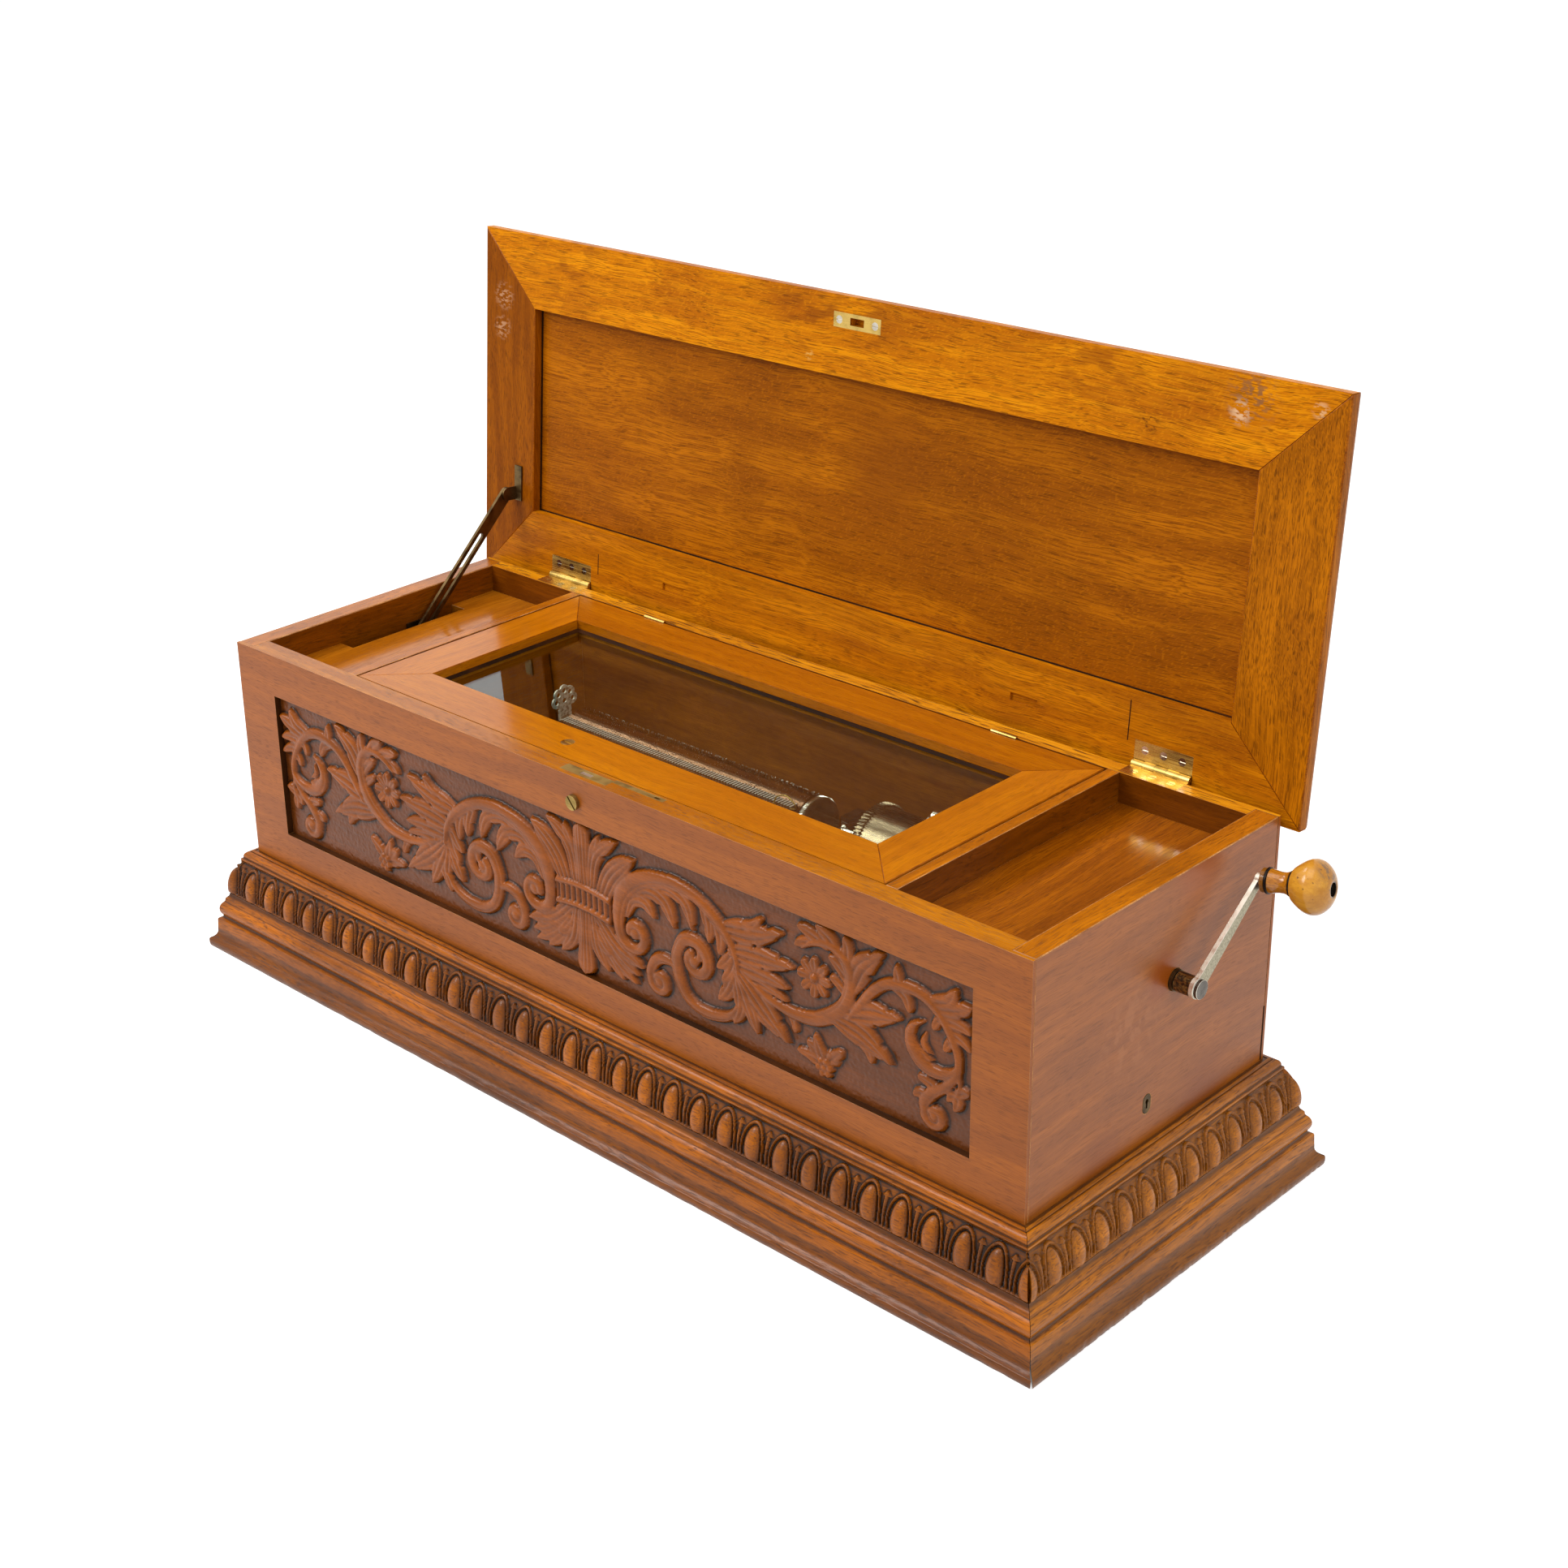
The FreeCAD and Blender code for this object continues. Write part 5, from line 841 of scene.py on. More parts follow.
TIP = 3.2
STEMS = (
    Stroke(((161, 182), (158, 196), (150, 209), (140, 218), (128, 225.5), (113, 231), (95, 233), (74, 229.5),
            (56, 220.5), (44, 208), (38.5, 194)),
           (1, 3.5, 5, 5.2, 5.2, 5.2, 5.5, 7, 8, 7.6, 6.2, 5.2, 4.8, 4.6, 4.6), 5.2,
           curl=(54, 177, 16.5, 4.6, 172, 530)),
    Stroke(((160, 156), (150, 144), (133, 138.5), (117, 139.5), (105.5, 147), (99.5, 159), (98, 172)),
           (1, 4, 4.8, 5, 5.2, 5.5, 5.8, 6.2, 6, 5.6, 5.2, 4.8, 4.4), 4.9,
           curl=(117, 177.5, 18, 6, 178, -225)),
    Stroke(((102, 165), (86, 167), (75, 162), (70, 152)), (2, 4.4, 5, 4.8, 4.6, 4.4, 4.2), 4.4,
           curl=(79.5, 146, 9.6, 4, 170, 490)),
    Stroke(((172, 182), (190, 174), (210, 170.5), (230, 172.5), (245, 180), (257.5, 191), (264.5, 205),
            (265.5, 220), (259, 231.5), (246, 236.5), (232, 233), (222, 226)),
           (1, 3.5, 4.4, 5.2, 6, 6.4, 6.2, 5.6, 5, 4.2, 3.2, 1), 4.7),
    Stroke(((264, 186), (276, 203), (285, 215), (297.5, 225), (312.5, 229.5), (329, 228.5), (343, 220.5),
            (353, 207.5), (359.5, 192.5), (358, 179), (350, 167.5), (338, 157.5), (331.5, 148)),
           (1, 4, 4.2, 4.4, 4.6, 4.8, 4.6, 4, 3.6, 3.6, 4.2, 5, 4.8, 4.4, 4), 4.5,
           curl=(340.5, 140.5, 9, 3.6, 165, 490)),
    Stroke(((360, 186), (352.5, 178), (341, 174.5), (329, 177.5), (320.5, 186), (318, 196), (322.5, 204.5),
            (330, 209)), (1.5, 3.8, 5, 6, 6, 5, 3.4, 0.6), 4.6),
    Stroke(((321, 193), (328, 185), (339, 182)), (0.8, 3.2, 0.8), 3.6, 2),
    Stroke(((331, 201), (329.5, 192), (337, 186)), (0.6, 3, 0.6), 3.4, 2),
    Stroke(((104, 187), (113, 192), (121.5, 187.5), (120.5, 179.5), (114, 178.5)),
           (1, 3.6, 4, 3.4, 2.4), 4.2),
)
FAN_LEAVES = (
    Stroke(((145, 214), (175, 219), (204, 230)), (5, 9.5, 9.5, 6, TIP), 5.2, 3, 2.5),
    Stroke(((158, 216), (173, 225), (184, 235)), (4, 6, 4, TIP), 4.8, 2),
    Stroke(((154, 199), (184, 203), (215, 207)), (5, 9.5, 9, 6, TIP), 5.2, 3, 2.5),
    Stroke(((160, 189), (188, 190), (209, 188.5)), (4, 6.5, 5.5, TIP), 4.8, 2, 2),
    Stroke(((164, 182), (189, 182), (208, 178)), (4, 5, 4, TIP), 4.4, 2),
    Stroke(((160, 184), (181, 165), (210, 145)), (5, 10, 12, 8, TIP), 5.4, 4, 2.5),
    Stroke(((160, 180), (171, 158), (180, 140.5)), (4, 7.5, 7, TIP), 5.0, 3, 2),
    Stroke(((158, 180), (162, 158), (156, 140)), (4, 7, 6.5, TIP), 4.8, 3, 2),
    Stroke(((157, 182), (150, 166), (140.5, 154)), (4, 7, 6.5, TIP), 4.6, 3, 2),
    Stroke(((156, 190), (151, 179), (144, 170)), (4, 5.5, TIP), 4.2, 2),
    Stroke(((155, 198), (148, 188), (139, 180)), (4, 5.5, TIP), 4.2, 2),
    Stroke(((124, 228), (131, 213), (132.5, 197)), (4, 6.5, 5.5, TIP), 4.4, 3, 2),
    Stroke(((137, 219), (143, 205), (142, 191)), (4, 6, TIP), 4.2, 2),
    Stroke(((46, 190), (53, 204), (66, 207), (77, 197)), (3, 6, 7, TIP), 4.3, 3),
    Stroke(((52, 207), (69, 218), (87, 214), (98, 196)), (4, 7, 7.5, TIP), 4.5, 3, 2),
    Stroke(((70, 221), (91, 227), (109, 220), (116, 201)), (4, 6.5, 7, TIP), 4.5, 3, 2),
)
TENDRIL_LEAVES = (
    Stroke(((262, 228), (263, 240), (260.5, 249)), (5, 5.5, TIP), 4.6, 2),
    Stroke(((254, 234), (246, 242), (234.5, 249)), (5, 6, TIP), 4.6, 2),
    Stroke(((243, 235), (230, 239.5), (217, 242.5)), (4.5, 5.5, TIP), 4.4, 2),
    Stroke(((232, 234), (223, 231), (214.5, 226)), (3.5, 4.2, TIP), 4.2, 2),
    Stroke(((266, 208), (275, 229), (295.5, 248)), (5, 9.5, 9.5, 6, TIP), 5.0, 3, 2.5),
    Stroke(((262, 189), (287, 198), (311, 203.5)), (5, 9, 10, 6, TIP), 5.0, 3, 2.5),
    Stroke(((248, 182), (278, 177), (304, 165.5)), (5, 10, 11, 7, TIP), 5.0, 4, 2.5),
    Stroke(((266, 177), (281, 169), (286, 159)), (5, 6, TIP), 4.4, 2),
    Stroke(((265, 211), (256, 222), (246, 229)), (4, 5.2, TIP), 4.2, 2),
    Stroke(((263, 202), (255, 209), (247, 213.5)), (3.5, 4.4, TIP), 4.0, 2),
    Stroke(((207, 171), (213, 164), (215.5, 155.5)), (5, 4, TIP), 4.0, 2),
    Stroke(((309, 227), (307, 236), (306.5, 243.5)), (4, 4.6, 2.4), 4.4, 2),
    Stroke(((302, 226), (314, 222), (318.5, 211)), (4, 5.4, TIP), 4.2, 2),
    Stroke(((334, 226), (350, 231.5), (357.5, 243.5)), (4, 6.5, TIP), 4.6, 2),
    Stroke(((340, 223), (357, 227.5), (371.5, 235)), (4, 6.5, 6, TIP), 4.6, 2, 2),
    Stroke(((347, 217), (361, 217.5), (371.5, 215)), (4, 5.6, 4.6, TIP), 4.4, 2),
    Stroke(((353, 209), (363, 206.5), (371.5, 201.5)), (4, 5, 4, TIP), 4.2, 2),
    Stroke(((346, 219), (341, 213), (338, 206)), (4, 4, TIP), 3.8, 2),
    Stroke(((355, 206), (351, 200), (347.5, 193.5)), (4, 4, TIP), 3.8, 2),
    Stroke(((360, 182), (361, 171), (359, 163)), (2, 2, 2), 3.6),
    Stroke(((358, 164), (365, 168), (371, 170)), (3, 5, 2.4), 4.0, 2),
    Stroke(((359, 167), (359.5, 158), (357, 150.5)), (3, 5.4, 2), 4.0, 2),
    Stroke(((360, 165), (354, 161), (350.5, 156)), (3, 4.4, 1.6), 3.8, 2),
    Stroke(((343, 162), (334, 164.5), (325, 167)), (4, 4.6, TIP), 4.0, 2),
    Stroke(((335, 153), (328, 153.5), (321.5, 150)), (4, 4, TIP), 3.8, 2),
    Stroke(((240.5, 142), (236, 153), (232.5, 162)), (3, 6, 4, TIP), 3.8, 2),
    Stroke(((244, 143), (252, 151), (259, 157.5)), (3, 6.5, 4.5, TIP), 3.8, 2, 2),
    Stroke(((240, 140), (227, 142.5), (216, 143.5)), (3, 6, 4, TIP), 3.6, 2),
    Stroke(((239, 142), (231, 149.5), (225, 154.5)), (3, 5, TIP), 3.4, 2),
)
MIDDLE_LEAVES = (
    Stroke(((0, 196), (0, 212), (0, 232), (0, 251)), (7.5, 6.5, 8, 11), 5.4, 5),
    Stroke(((9, 200), (13, 224), (23, 237), (38, 247)), (4, 6, 6.5, TIP), 4.8, 3, 2),
    Stroke(((8, 214), (13, 233), (19, 246)), (4, 5.5, TIP), 4.4, 2),
    Stroke(((20, 196), (29, 214), (41, 227), (56, 238)), (8, 10, 9, TIP), 4.6, 4),
    Stroke(((0, 181), (0, 162), (0, 140), (0, 124)), (7.5, 6.5, 8.5, 12), 5.4, 5),
    Stroke(((9, 174), (14, 150), (27, 134.5)), (4, 7, TIP), 4.8, 3),
    Stroke(((10, 167), (19, 154.5), (29, 150)), (4, 5.5, TIP), 4.6, 2),
    Stroke(((17, 176), (36, 160), (64, 151)), (6, 8, 6.5, TIP), 4.7, 3, 3),
    Stroke(((20, 167), (40, 151), (59, 143)), (5, 6.5, 5.5, TIP), 4.5, 3),
    Stroke(((18, 165), (34, 147), (56, 135)), (5, 7, 5.5, TIP), 4.5, 3),
    Stroke(((14, 164), (27, 146), (42, 133.5)), (4, 6, TIP), 4.3, 2),
)


@dataclass
class CarvedPanel:
    """The front panel: scrolling acanthus in low relief on a sunk, tooled ground."""

    half_w: float = 376.0
    low_z: float = 120.0
    high_z: float = 255.0
    ground_y: float = -136.0
    back_y: float = -128.0
    step: float = 0.74
    tooling: float = 0.3
    flower: Point = (232.5, 206.0)
    flower_r: float = 16.0
    flower_high: float = 4.4
    petals: int = 8
    seed_head: Point = (242.0, 138.5)
    seed_ring: float = 5.4
    seed_r: float = 3.0
    seed_base: float = 2.8
    eyes: tuple[Place, ...] = (
        (55.0, 177.5, 5.5), (116.5, 176.5, 5.0), (79.5, 146.0, 4.5), (340.5, 140.5, 4.0))
    eye_base: float = 3.0
    dome_rise: float = 2.2
    tie_half: float = 30.0
    tie_span: float = 29.0
    tie_bow: float = 3.0
    tie_rails: Point = (198.0, 180.5)
    rail_half: float = 2.4
    ladder: Point = (182.6, 195.8)
    bar_pitch: float = 6.0
    bar_half: float = 1.9
    crease: float = 75.0
    seed: int = 7

    def relief(self) -> tuple[np.ndarray, np.ndarray, np.ndarray]:
        """Heights of the right half on an even grid: at each point the highest of all the strokes.

        Returns:
            The grid's places across, its places up, and its heights.
        """
        across = np.linspace(0, self.half_w, int(self.half_w / self.step) + 1)
        up = np.linspace(self.low_z, self.high_z, int((self.high_z - self.low_z) / self.step) + 1)
        x, z = np.meshgrid(across, up)
        high = np.zeros_like(x)
        for stroke in MIDDLE_LEAVES + FAN_LEAVES + TENDRIL_LEAVES + STEMS:
            line = stroke.line()
            room = max(stroke.wide) * 1.3 + 1
            i = slice(*np.searchsorted(up, [line[:, 1].min() - room, line[:, 1].max() + room]))
            j = slice(*np.searchsorted(across, [line[:, 0].min() - room, line[:, 0].max() + room]))
            places = np.stack([x[i, j].ravel(), z[i, j].ravel()], 1)
            high[i, j] = np.maximum(high[i, j], stroke.height(places, line).reshape(x[i, j].shape))
        high = np.maximum(high, self.rosette(x - self.flower[0], z - self.flower[1]))
        for a, b, r, base in self.domes():
            dome = np.maximum(1 - ((x - a) ** 2 + (z - b) ** 2) / r**2, 0)
            high = np.where(dome > 0, np.maximum(high, base + self.dome_rise * np.sqrt(dome)), high)
        return x, z, softened(self.tie(x, z, high), 1)

    def domes(self) -> list[tuple[float, float, float, float]]:
        """The seeds of the small flower and the eyes of the scrolls.

        Returns:
            Each one's place across and up, its radius and the height that it stands on.
        """
        a, b = self.seed_head
        turn = np.radians(np.arange(10, 370, 60))
        ring = zip(a + self.seed_ring * np.cos(turn), b + self.seed_ring * np.sin(turn))
        seeds = [(*place, self.seed_r, self.seed_base) for place in (self.seed_head, *ring)]
        return seeds + [(*eye, self.eye_base) for eye in self.eyes]

    def rosette(self, dx: np.ndarray, dz: np.ndarray) -> np.ndarray:
        """A flower: petals as the size of a cosine round the middle, grooved, with a round button.

        Args:
            dx: Distance across from the flower's middle.
            dz: Distance up from it.

        Returns:
            The height at each point, 0 outside the flower.
        """
        reach, petal = np.hypot(dx, dz), np.abs(np.cos(self.petals * np.arctan2(dz, dx) / 2))
        u = reach / (self.flower_r * (0.5 + 0.5 * petal**0.45))
        rib = 1 - 0.22 * np.exp(-(((petal - 1) / 0.06) ** 2))
        flower = np.where(u < 1, self.flower_high * (0.55 + 0.45 * u) * (0.5 + 0.5 * petal**0.4) * rib, 0)
        button = 1 - (reach / (0.2 * self.flower_r)) ** 2
        crown = self.flower_high * (0.75 + 0.45 * np.sqrt(np.maximum(button, 0)))
        return np.where(button > 0, np.maximum(flower, crown), flower)

    def tie(self, x: np.ndarray, z: np.ndarray, high: np.ndarray) -> np.ndarray:
        """The tie round the middle bundle: two arched rails with upright bars between them.

        Args:
            x: Places across the panel.
            z: Places up the panel.
            high: Heights of the carving so far.

        Returns:
            The heights with the tie.
        """
        level = z + self.tie_bow * (x / self.tie_span) ** 2
        inside = x < self.tie_half
        bar = np.abs((x + self.bar_pitch / 2) % self.bar_pitch - self.bar_pitch / 2) / self.bar_half
        ladder = inside & (level > self.ladder[0]) & (level < self.ladder[1])
        high = np.where(ladder, np.where(bar < 1, 4.6 - 0.8 * bar**2, 2.4), high)
        for middle in self.tie_rails:
            rail = np.abs(level - middle) / self.rail_half
            high = np.where(inside & (rail < 1), np.maximum(high, 5.6 - 1.2 * rail**2), high)
        return high

    def build(self) -> list[Piece]:
        """Makes the two mirrored halves, each a closed slab with the relief on its front.

        Returns:
            The right half and the left half.
        """
        x, z, high = self.relief()
        chance = np.random.default_rng(self.seed)
        pieces = []
        for side, name in ((1, "carved_scrolls_right"), (-1, "carved_scrolls_left")):
            marks = softened(chance.normal(0, 1, x.shape), 2) * np.clip(x / 6, 0, 1)
            rough = high + self.tooling * marks * np.where(high < 0.4, 1.0, 0.25)
            # Painted shade: darker on the sunk ground, in the creases beside the relief and round the feet of
            # the leaves, where shade falls; on the ground it is partly the wood's own staining
            ground = np.clip(1 - high / 0.8, 0, 1)
            crease_shade = np.clip((softened(high, 3) - high) / 0.8, 0, 1)
            crease_shade = crease_shade + np.clip((softened(high, 16) - high) / 3.0, 0, 1)
            foot = np.clip(softened(high, 7) / 2.0, 0, 1) * ground
            shade_and_staining = np.clip(0.5 * ground + 0.75 * crease_shade + 0.4 * foot, 0, 1)
            front = np.stack([side * x, self.ground_y - rough, z], -1)
            rows, cols = x.shape
            row, col = np.arange(rows), np.arange(cols)
            rim = np.concatenate([col, row[1:] * cols + cols - 1,
                                  (rows - 1) * cols + col[-2::-1], row[-2:0:-1] * cols])
            points = front.reshape(-1, 3)
            back = points[rim].copy()
            back[:, 1] = self.back_y
            ring = len(points) + np.arange(len(rim))
            walls = np.stack([rim, np.roll(rim, -1), np.roll(ring, -1), ring], 1)
            tint = np.concatenate([shade_and_staining.ravel(), np.ones(len(rim))])
            pieces.append(put_mesh(name, np.vstack([points, back]), np.vstack([lattice(rows, cols), walls]),
                                   [ring], self.crease, {"shade_and_staining": tint}))
        return pieces

    def dress(self, pieces: list[Piece]) -> None:
        """Waxes the carving."""
        for piece in pieces:
            dress(piece, OAK_CARVED, "case", "oak_carved", ["carved_panel"])


# Plinth

class Side(Enum):
    """The plinth's four sides, each with its end caps on the mitres."""

    FRONT = "front"
    RIGHT = "right"
    BACK = "back"
    LEFT = "left"


@dataclass
class Plinth:
    """The moulded base: a broad foot, rounds and fillets, and an ovolo band cut with egg and dart."""

    case_half: float = 420.0
    case_front: float = -142.0
    case_back: float = 142.0
    eggs_front: int = 32
    eggs_side: int = 12
    per_egg: int = 48
    band_rows: int = 56
    band_back: float = 3.2
    ovolo: tuple[Point, Point, Point] = ((20.9, 52.0), (19.7, 66.0), (11.8, 83.4))
    ovolo_girth: float = 33.4
    egg_half_w: float = 7.4
    egg_wide_at: float = 9.0
    egg_top: float = 27.2
    egg_foot: float = 18.0
    egg_rise: float = 2.0
    rim_at: float = 10.0
    rim_top: float = 30.0
    rim_half: float = 0.7
    rim_rise: float = 2.4
    ground_cut: float = 2.4
    mitre_gap: float = 0.25
    foot_gap: float = 1.0
    foot_high: float = 24.0
    band_reach: float = 18.0
    toe: Point = (36.0, 9.0)
    dent: float = 0.7
    recess_darkness: float = 0.8
    side_darkness: float = 0.7
    sections: int = 260
    crease: float = 40.0
    seed: int = 11

    def arc(self, a: Point, through: Point, b: Point, count: int) -> np.ndarray:
        """Points on the circle through three places, from the first to the last.

        Args:
            a: The first place.
            through: A place between.
            b: The last place.
            count: Points on the arc.

        Returns:
            The arc's points, one row each.
        """
        (ax, ay), (mx, my), (bx, by) = a, through, b
        d = 2 * (ax * (my - by) + mx * (by - ay) + bx * (ay - my))
        sa, sm, sb = ax**2 + ay**2, mx**2 + my**2, bx**2 + by**2
        cx = (sa * (my - by) + sm * (by - ay) + sb * (ay - my)) / d
        cy = (sa * (bx - mx) + sm * (ax - bx) + sb * (mx - ax)) / d
        angles = np.unwrap([math.atan2(y - cy, x - cx) for x, y in (a, through, b)])
        turn = np.linspace(angles[0], angles[2], count)
        radius = math.hypot(ax - cx, ay - cy)
        return np.stack([cx + radius * np.cos(turn), cy + radius * np.sin(turn)], 1)

    def section(self, ovolo: np.ndarray) -> tuple[np.ndarray, np.ndarray]:
        """The moulding's closed outline, as projection and height from the foot of the wall.

        Args:
            ovolo: Points of the ovolo, from below.

        Returns:
            The outline's points, and how dark each is painted: painted shade deepest in the quirks, and a
            darker toe and cove at the foot.
        """
        parts = [
            (np.array([(0.0, 0.0), (18.0, 0.0), (36.2, 0.0), (37.0, 0.8), (37.4, 3.5), (37.3, 6.6),
                       (36.9, 7.3)]), 0.66),
            (self.arc((36.4, 7.6), (32.6, 10.5), (30.9, 16.7), 7), 0.68),
            (np.array([(30.7, 18.5), (30.3, 26.0), (29.8, 27.0), (28.6, 27.3)]), 0.1),
            (np.array([(26.9, 28.2), (26.4, 29.6)]), 1.0),
            (self.arc((26.7, 30.2), (28.6, 36.4), (25.4, 42.8), 9), 0.0),
            (np.array([(24.9, 43.3)]), 0.9),
            (np.array([(24.5, 44.0), (24.2, 46.2), (23.6, 46.9)]), 0.1),
            (np.array([(21.6, 49.0), (20.9, 51.4)]), 0.9),
            (ovolo, 0.0),
            (np.array([(11.9, 83.9), (11.6, 85.2)]), 0.1),
            (np.array([(10.3, 85.5), (9.9, 86.3)]), 1.0),
            (self.arc((10.1, 86.6), (9.3, 89.5), (6.2, 91.7), 7), 0.0),
            (np.array([(5.5, 91.7), (5.1, 91.4)]), 1.0),
            (np.array([(4.8, 92.3), (3.2, 92.9)]), 0.25),
            (np.array([(2.5, 92.9), (2.2, 92.4), (0.0, 92.4), (0.0, 60.0), (0.0, 30.0)]), 1.0),
        ]
        return np.vstack([p for p, _ in parts]), np.concatenate([np.full(len(p), r) for p, r in parts])

    def egg_and_dart(self, q: np.ndarray, up: np.ndarray, pitch: float) -> np.ndarray:
        """Carving on the ovolo, as a distance out from its surface.

        Each egg is half an ellipsoid, taller than wide. A flat bead arches round it and runs down to
        the fillet, and a dart that widens to an arrow tip stands halfway between two eggs, all on a
        sunk ground.

        Args:
            q: Place along the moulding, counted in eggs.
            up: Place up the ovolo, in millimetres.
            pitch: Distance from egg to egg.

        Returns:
            The distance out at each point.
        """
        across = np.abs(q - np.round(q)) * pitch
        dart = pitch / 2 - across
        above, below = np.maximum(up - self.egg_wide_at, 0), np.maximum(self.egg_wide_at - up, 0)
        egg = (across / self.egg_half_w) ** 2 + (above / (self.egg_top - self.egg_wide_at)) ** 2
        egg = egg + (below / self.egg_foot) ** 2
        out = -self.ground_cut + (self.egg_rise + self.ground_cut) * np.sqrt(np.maximum(1 - egg, 0))
        arch = np.hypot(across, above * self.rim_at / (self.rim_top - self.egg_wide_at))
        rim = np.exp(-(((arch - self.rim_at) / self.rim_half) ** 4))
        stem = 0.8 * np.exp(-((dart / (0.6 + 0.04 * np.clip(up, 0, 24))) ** 4)) * (up < self.rim_top - 5)
        low = self.rim_top - 1.5 - up
        tip = np.exp(-((dart / (0.4 + 0.7 * np.clip(low, 0, 3.5))) ** 4)) * (low > 0) * (low < 4.5)
        trim = np.maximum.reduce([rim, stem, tip])
        return np.maximum(out, -self.ground_cut + self.rim_rise * trim)

    def sweep(self, name: str, side: Side, outline: np.ndarray, count: int, relief: Move,
              darkness: Move) -> Piece:
        """Carries a closed outline along one side, from mitre to mitre, pushed out by a relief.

        The mitres stand a hair open, wider at the foot.

        Args:
            name: The piece's name.
            side: Which side.
            outline: Projection and height of each point of the section.
            count: Sections along the side.
            relief: Gives the push from the places along the side.
            darkness: Gives how dark each point is from the push: painted shade, with some staining.

        Returns:
            The moulding, closed by flat mitred ends.
        """
        half = self.case_half if side in (Side.FRONT, Side.BACK) else self.case_back
        out, up = outline.T[:, :, None]
        gap = (self.mitre_gap + self.foot_gap * np.clip(1 - up / self.foot_high, 0, 1) ** 2) * (out > 0.5)
        along = np.linspace(-1, 1, count)[None, :] * (half + out - gap)
        slope = np.gradient(outline, axis=0)
        normal = np.stack([slope[:, 1], -slope[:, 0]], 1)
        normal /= np.linalg.norm(normal, axis=1)[:, None]
        push = relief(along)
        out, up = out + push * normal[:, :1], np.maximum(up + push * normal[:, 1:], 0.0)
        places = {
            Side.FRONT: (along, self.case_front - out, up),
            Side.BACK: (-along, self.case_back + out, up),
            Side.RIGHT: (self.case_half + out, along, up),
            Side.LEFT: (-self.case_half - out, -along, up)}[side]
        rows = len(outline)
        ends = [np.arange(rows) * count, np.arange(rows) * count + count - 1]
        return put_mesh(name, np.stack(np.broadcast_arrays(*places), -1).reshape(-1, 3),
                        lattice(rows, count, ring_rows=True), ends, self.crease, {"shade_and_staining": darkness(push)})

    def moulding(self, side: Side, carved: bool) -> Piece:
        """The plain moulding of one side, dented at the toe.

        Args:
            side: Which side.
            carved: Whether its ovolo is sunk behind a carved band.

        Returns:
            The moulding.
        """
        full = self.arc(*self.ovolo, 10)
        outline, recess = self.section(full - np.array([self.band_back, 0.0]) if carved else full)
        toe = ((outline[:, 0] > self.toe[0]) & (outline[:, 1] < self.toe[1]))[:, None]
        chance = np.random.default_rng(self.seed)

        def dents(along: np.ndarray) -> np.ndarray:
            """Knocks along the toe, as shallow random hollows."""
            knocks = softened(chance.normal(0, 1, along.shape), 2)
            return -np.maximum(knocks, 0) * np.where(toe, self.dent, 0.0)

        # Each point darkened as its part of the section says: painted shade in the quirks, a darker toe and
        # cove
        return self.sweep(f"moulding_{side.value}", side, outline, self.sections, dents,
                          lambda push: np.broadcast_to(recess[:, None] * self.recess_darkness, push.shape))

    def band(self, side: Side) -> Piece:
        """The carved ovolo of one side: a thin shell with egg and dart on its face and an egg on each mitre.

        Args:
            side: Which side.

        Returns:
            The band.
        """
        long = side is Side.FRONT
        half, eggs = (self.case_half, self.eggs_front) if long else (self.case_back, self.eggs_side)
        pitch = 2 * (half + self.band_reach) / eggs
        face = self.arc(*self.ovolo, self.band_rows)
        outline = np.vstack([face, face[[-1, 0]] - np.array([self.band_back, 0.0])])
        share = np.linspace(0, 1, self.band_rows)[:, None]
        fade = np.clip(np.minimum(share, 1 - share) / 0.04, 0, 1)

        def carve(along: np.ndarray) -> np.ndarray:
            """The egg and dart on the face, and nothing on the back.

            Args:
                along: Places along the side, one row for each point of the outline.

            Returns:
                The distance out at each place.
            """
            place = along[:self.band_rows] / pitch + eggs / 2
            cutting = self.egg_and_dart(place, share * self.ovolo_girth, pitch) * fade
            return np.vstack([cutting, np.zeros((2, along.shape[1]))])

        def darkness(push: np.ndarray) -> np.ndarray:
            """Painted shade in the grooves and on the sunk ground of a band that is darker all through, and
            painted light on the crowns of the eggs, which are left clear.

            Args:
                push: The distance out at each place.

            Returns:
                How dark each place is, from 0 to 1.
            """
            groove = np.clip((softened(push, 3) - push) / 0.4, 0, 1)
            ground = np.clip((softened(push, 22) - push) / 1.6, 0, 1)
            crown = np.clip(push / 1.4, 0, 1)
            dark = np.clip(0.4 - 0.34 * crown + 0.5 * groove + 0.8 * ground, 0, 0.97)
            return dark * (1.0 if long else self.side_darkness)

        return self.sweep(f"egg_band_{side.value}", side, outline, eggs * self.per_egg + 1, carve, darkness)

    def build(self) -> None:
        """Makes the four sides and finishes them, with painted shade in their recesses. The back is moulded
        and left uncarved.
        """
        for side in Side:
            long = side in (Side.FRONT, Side.BACK)
            finish = OAK_PLINTH if long else OAK_PLINTH_SIDE
            node = f"plinth_{side.value}" if long else "plinth_sides"
            dress(self.moulding(side, side is not Side.BACK), finish, "case", "oak_plinth", [node])
            if side is not Side.BACK:
                dress(self.band(side), finish, "case", "oak_plinth", [node])


# Case, lid and glass lid

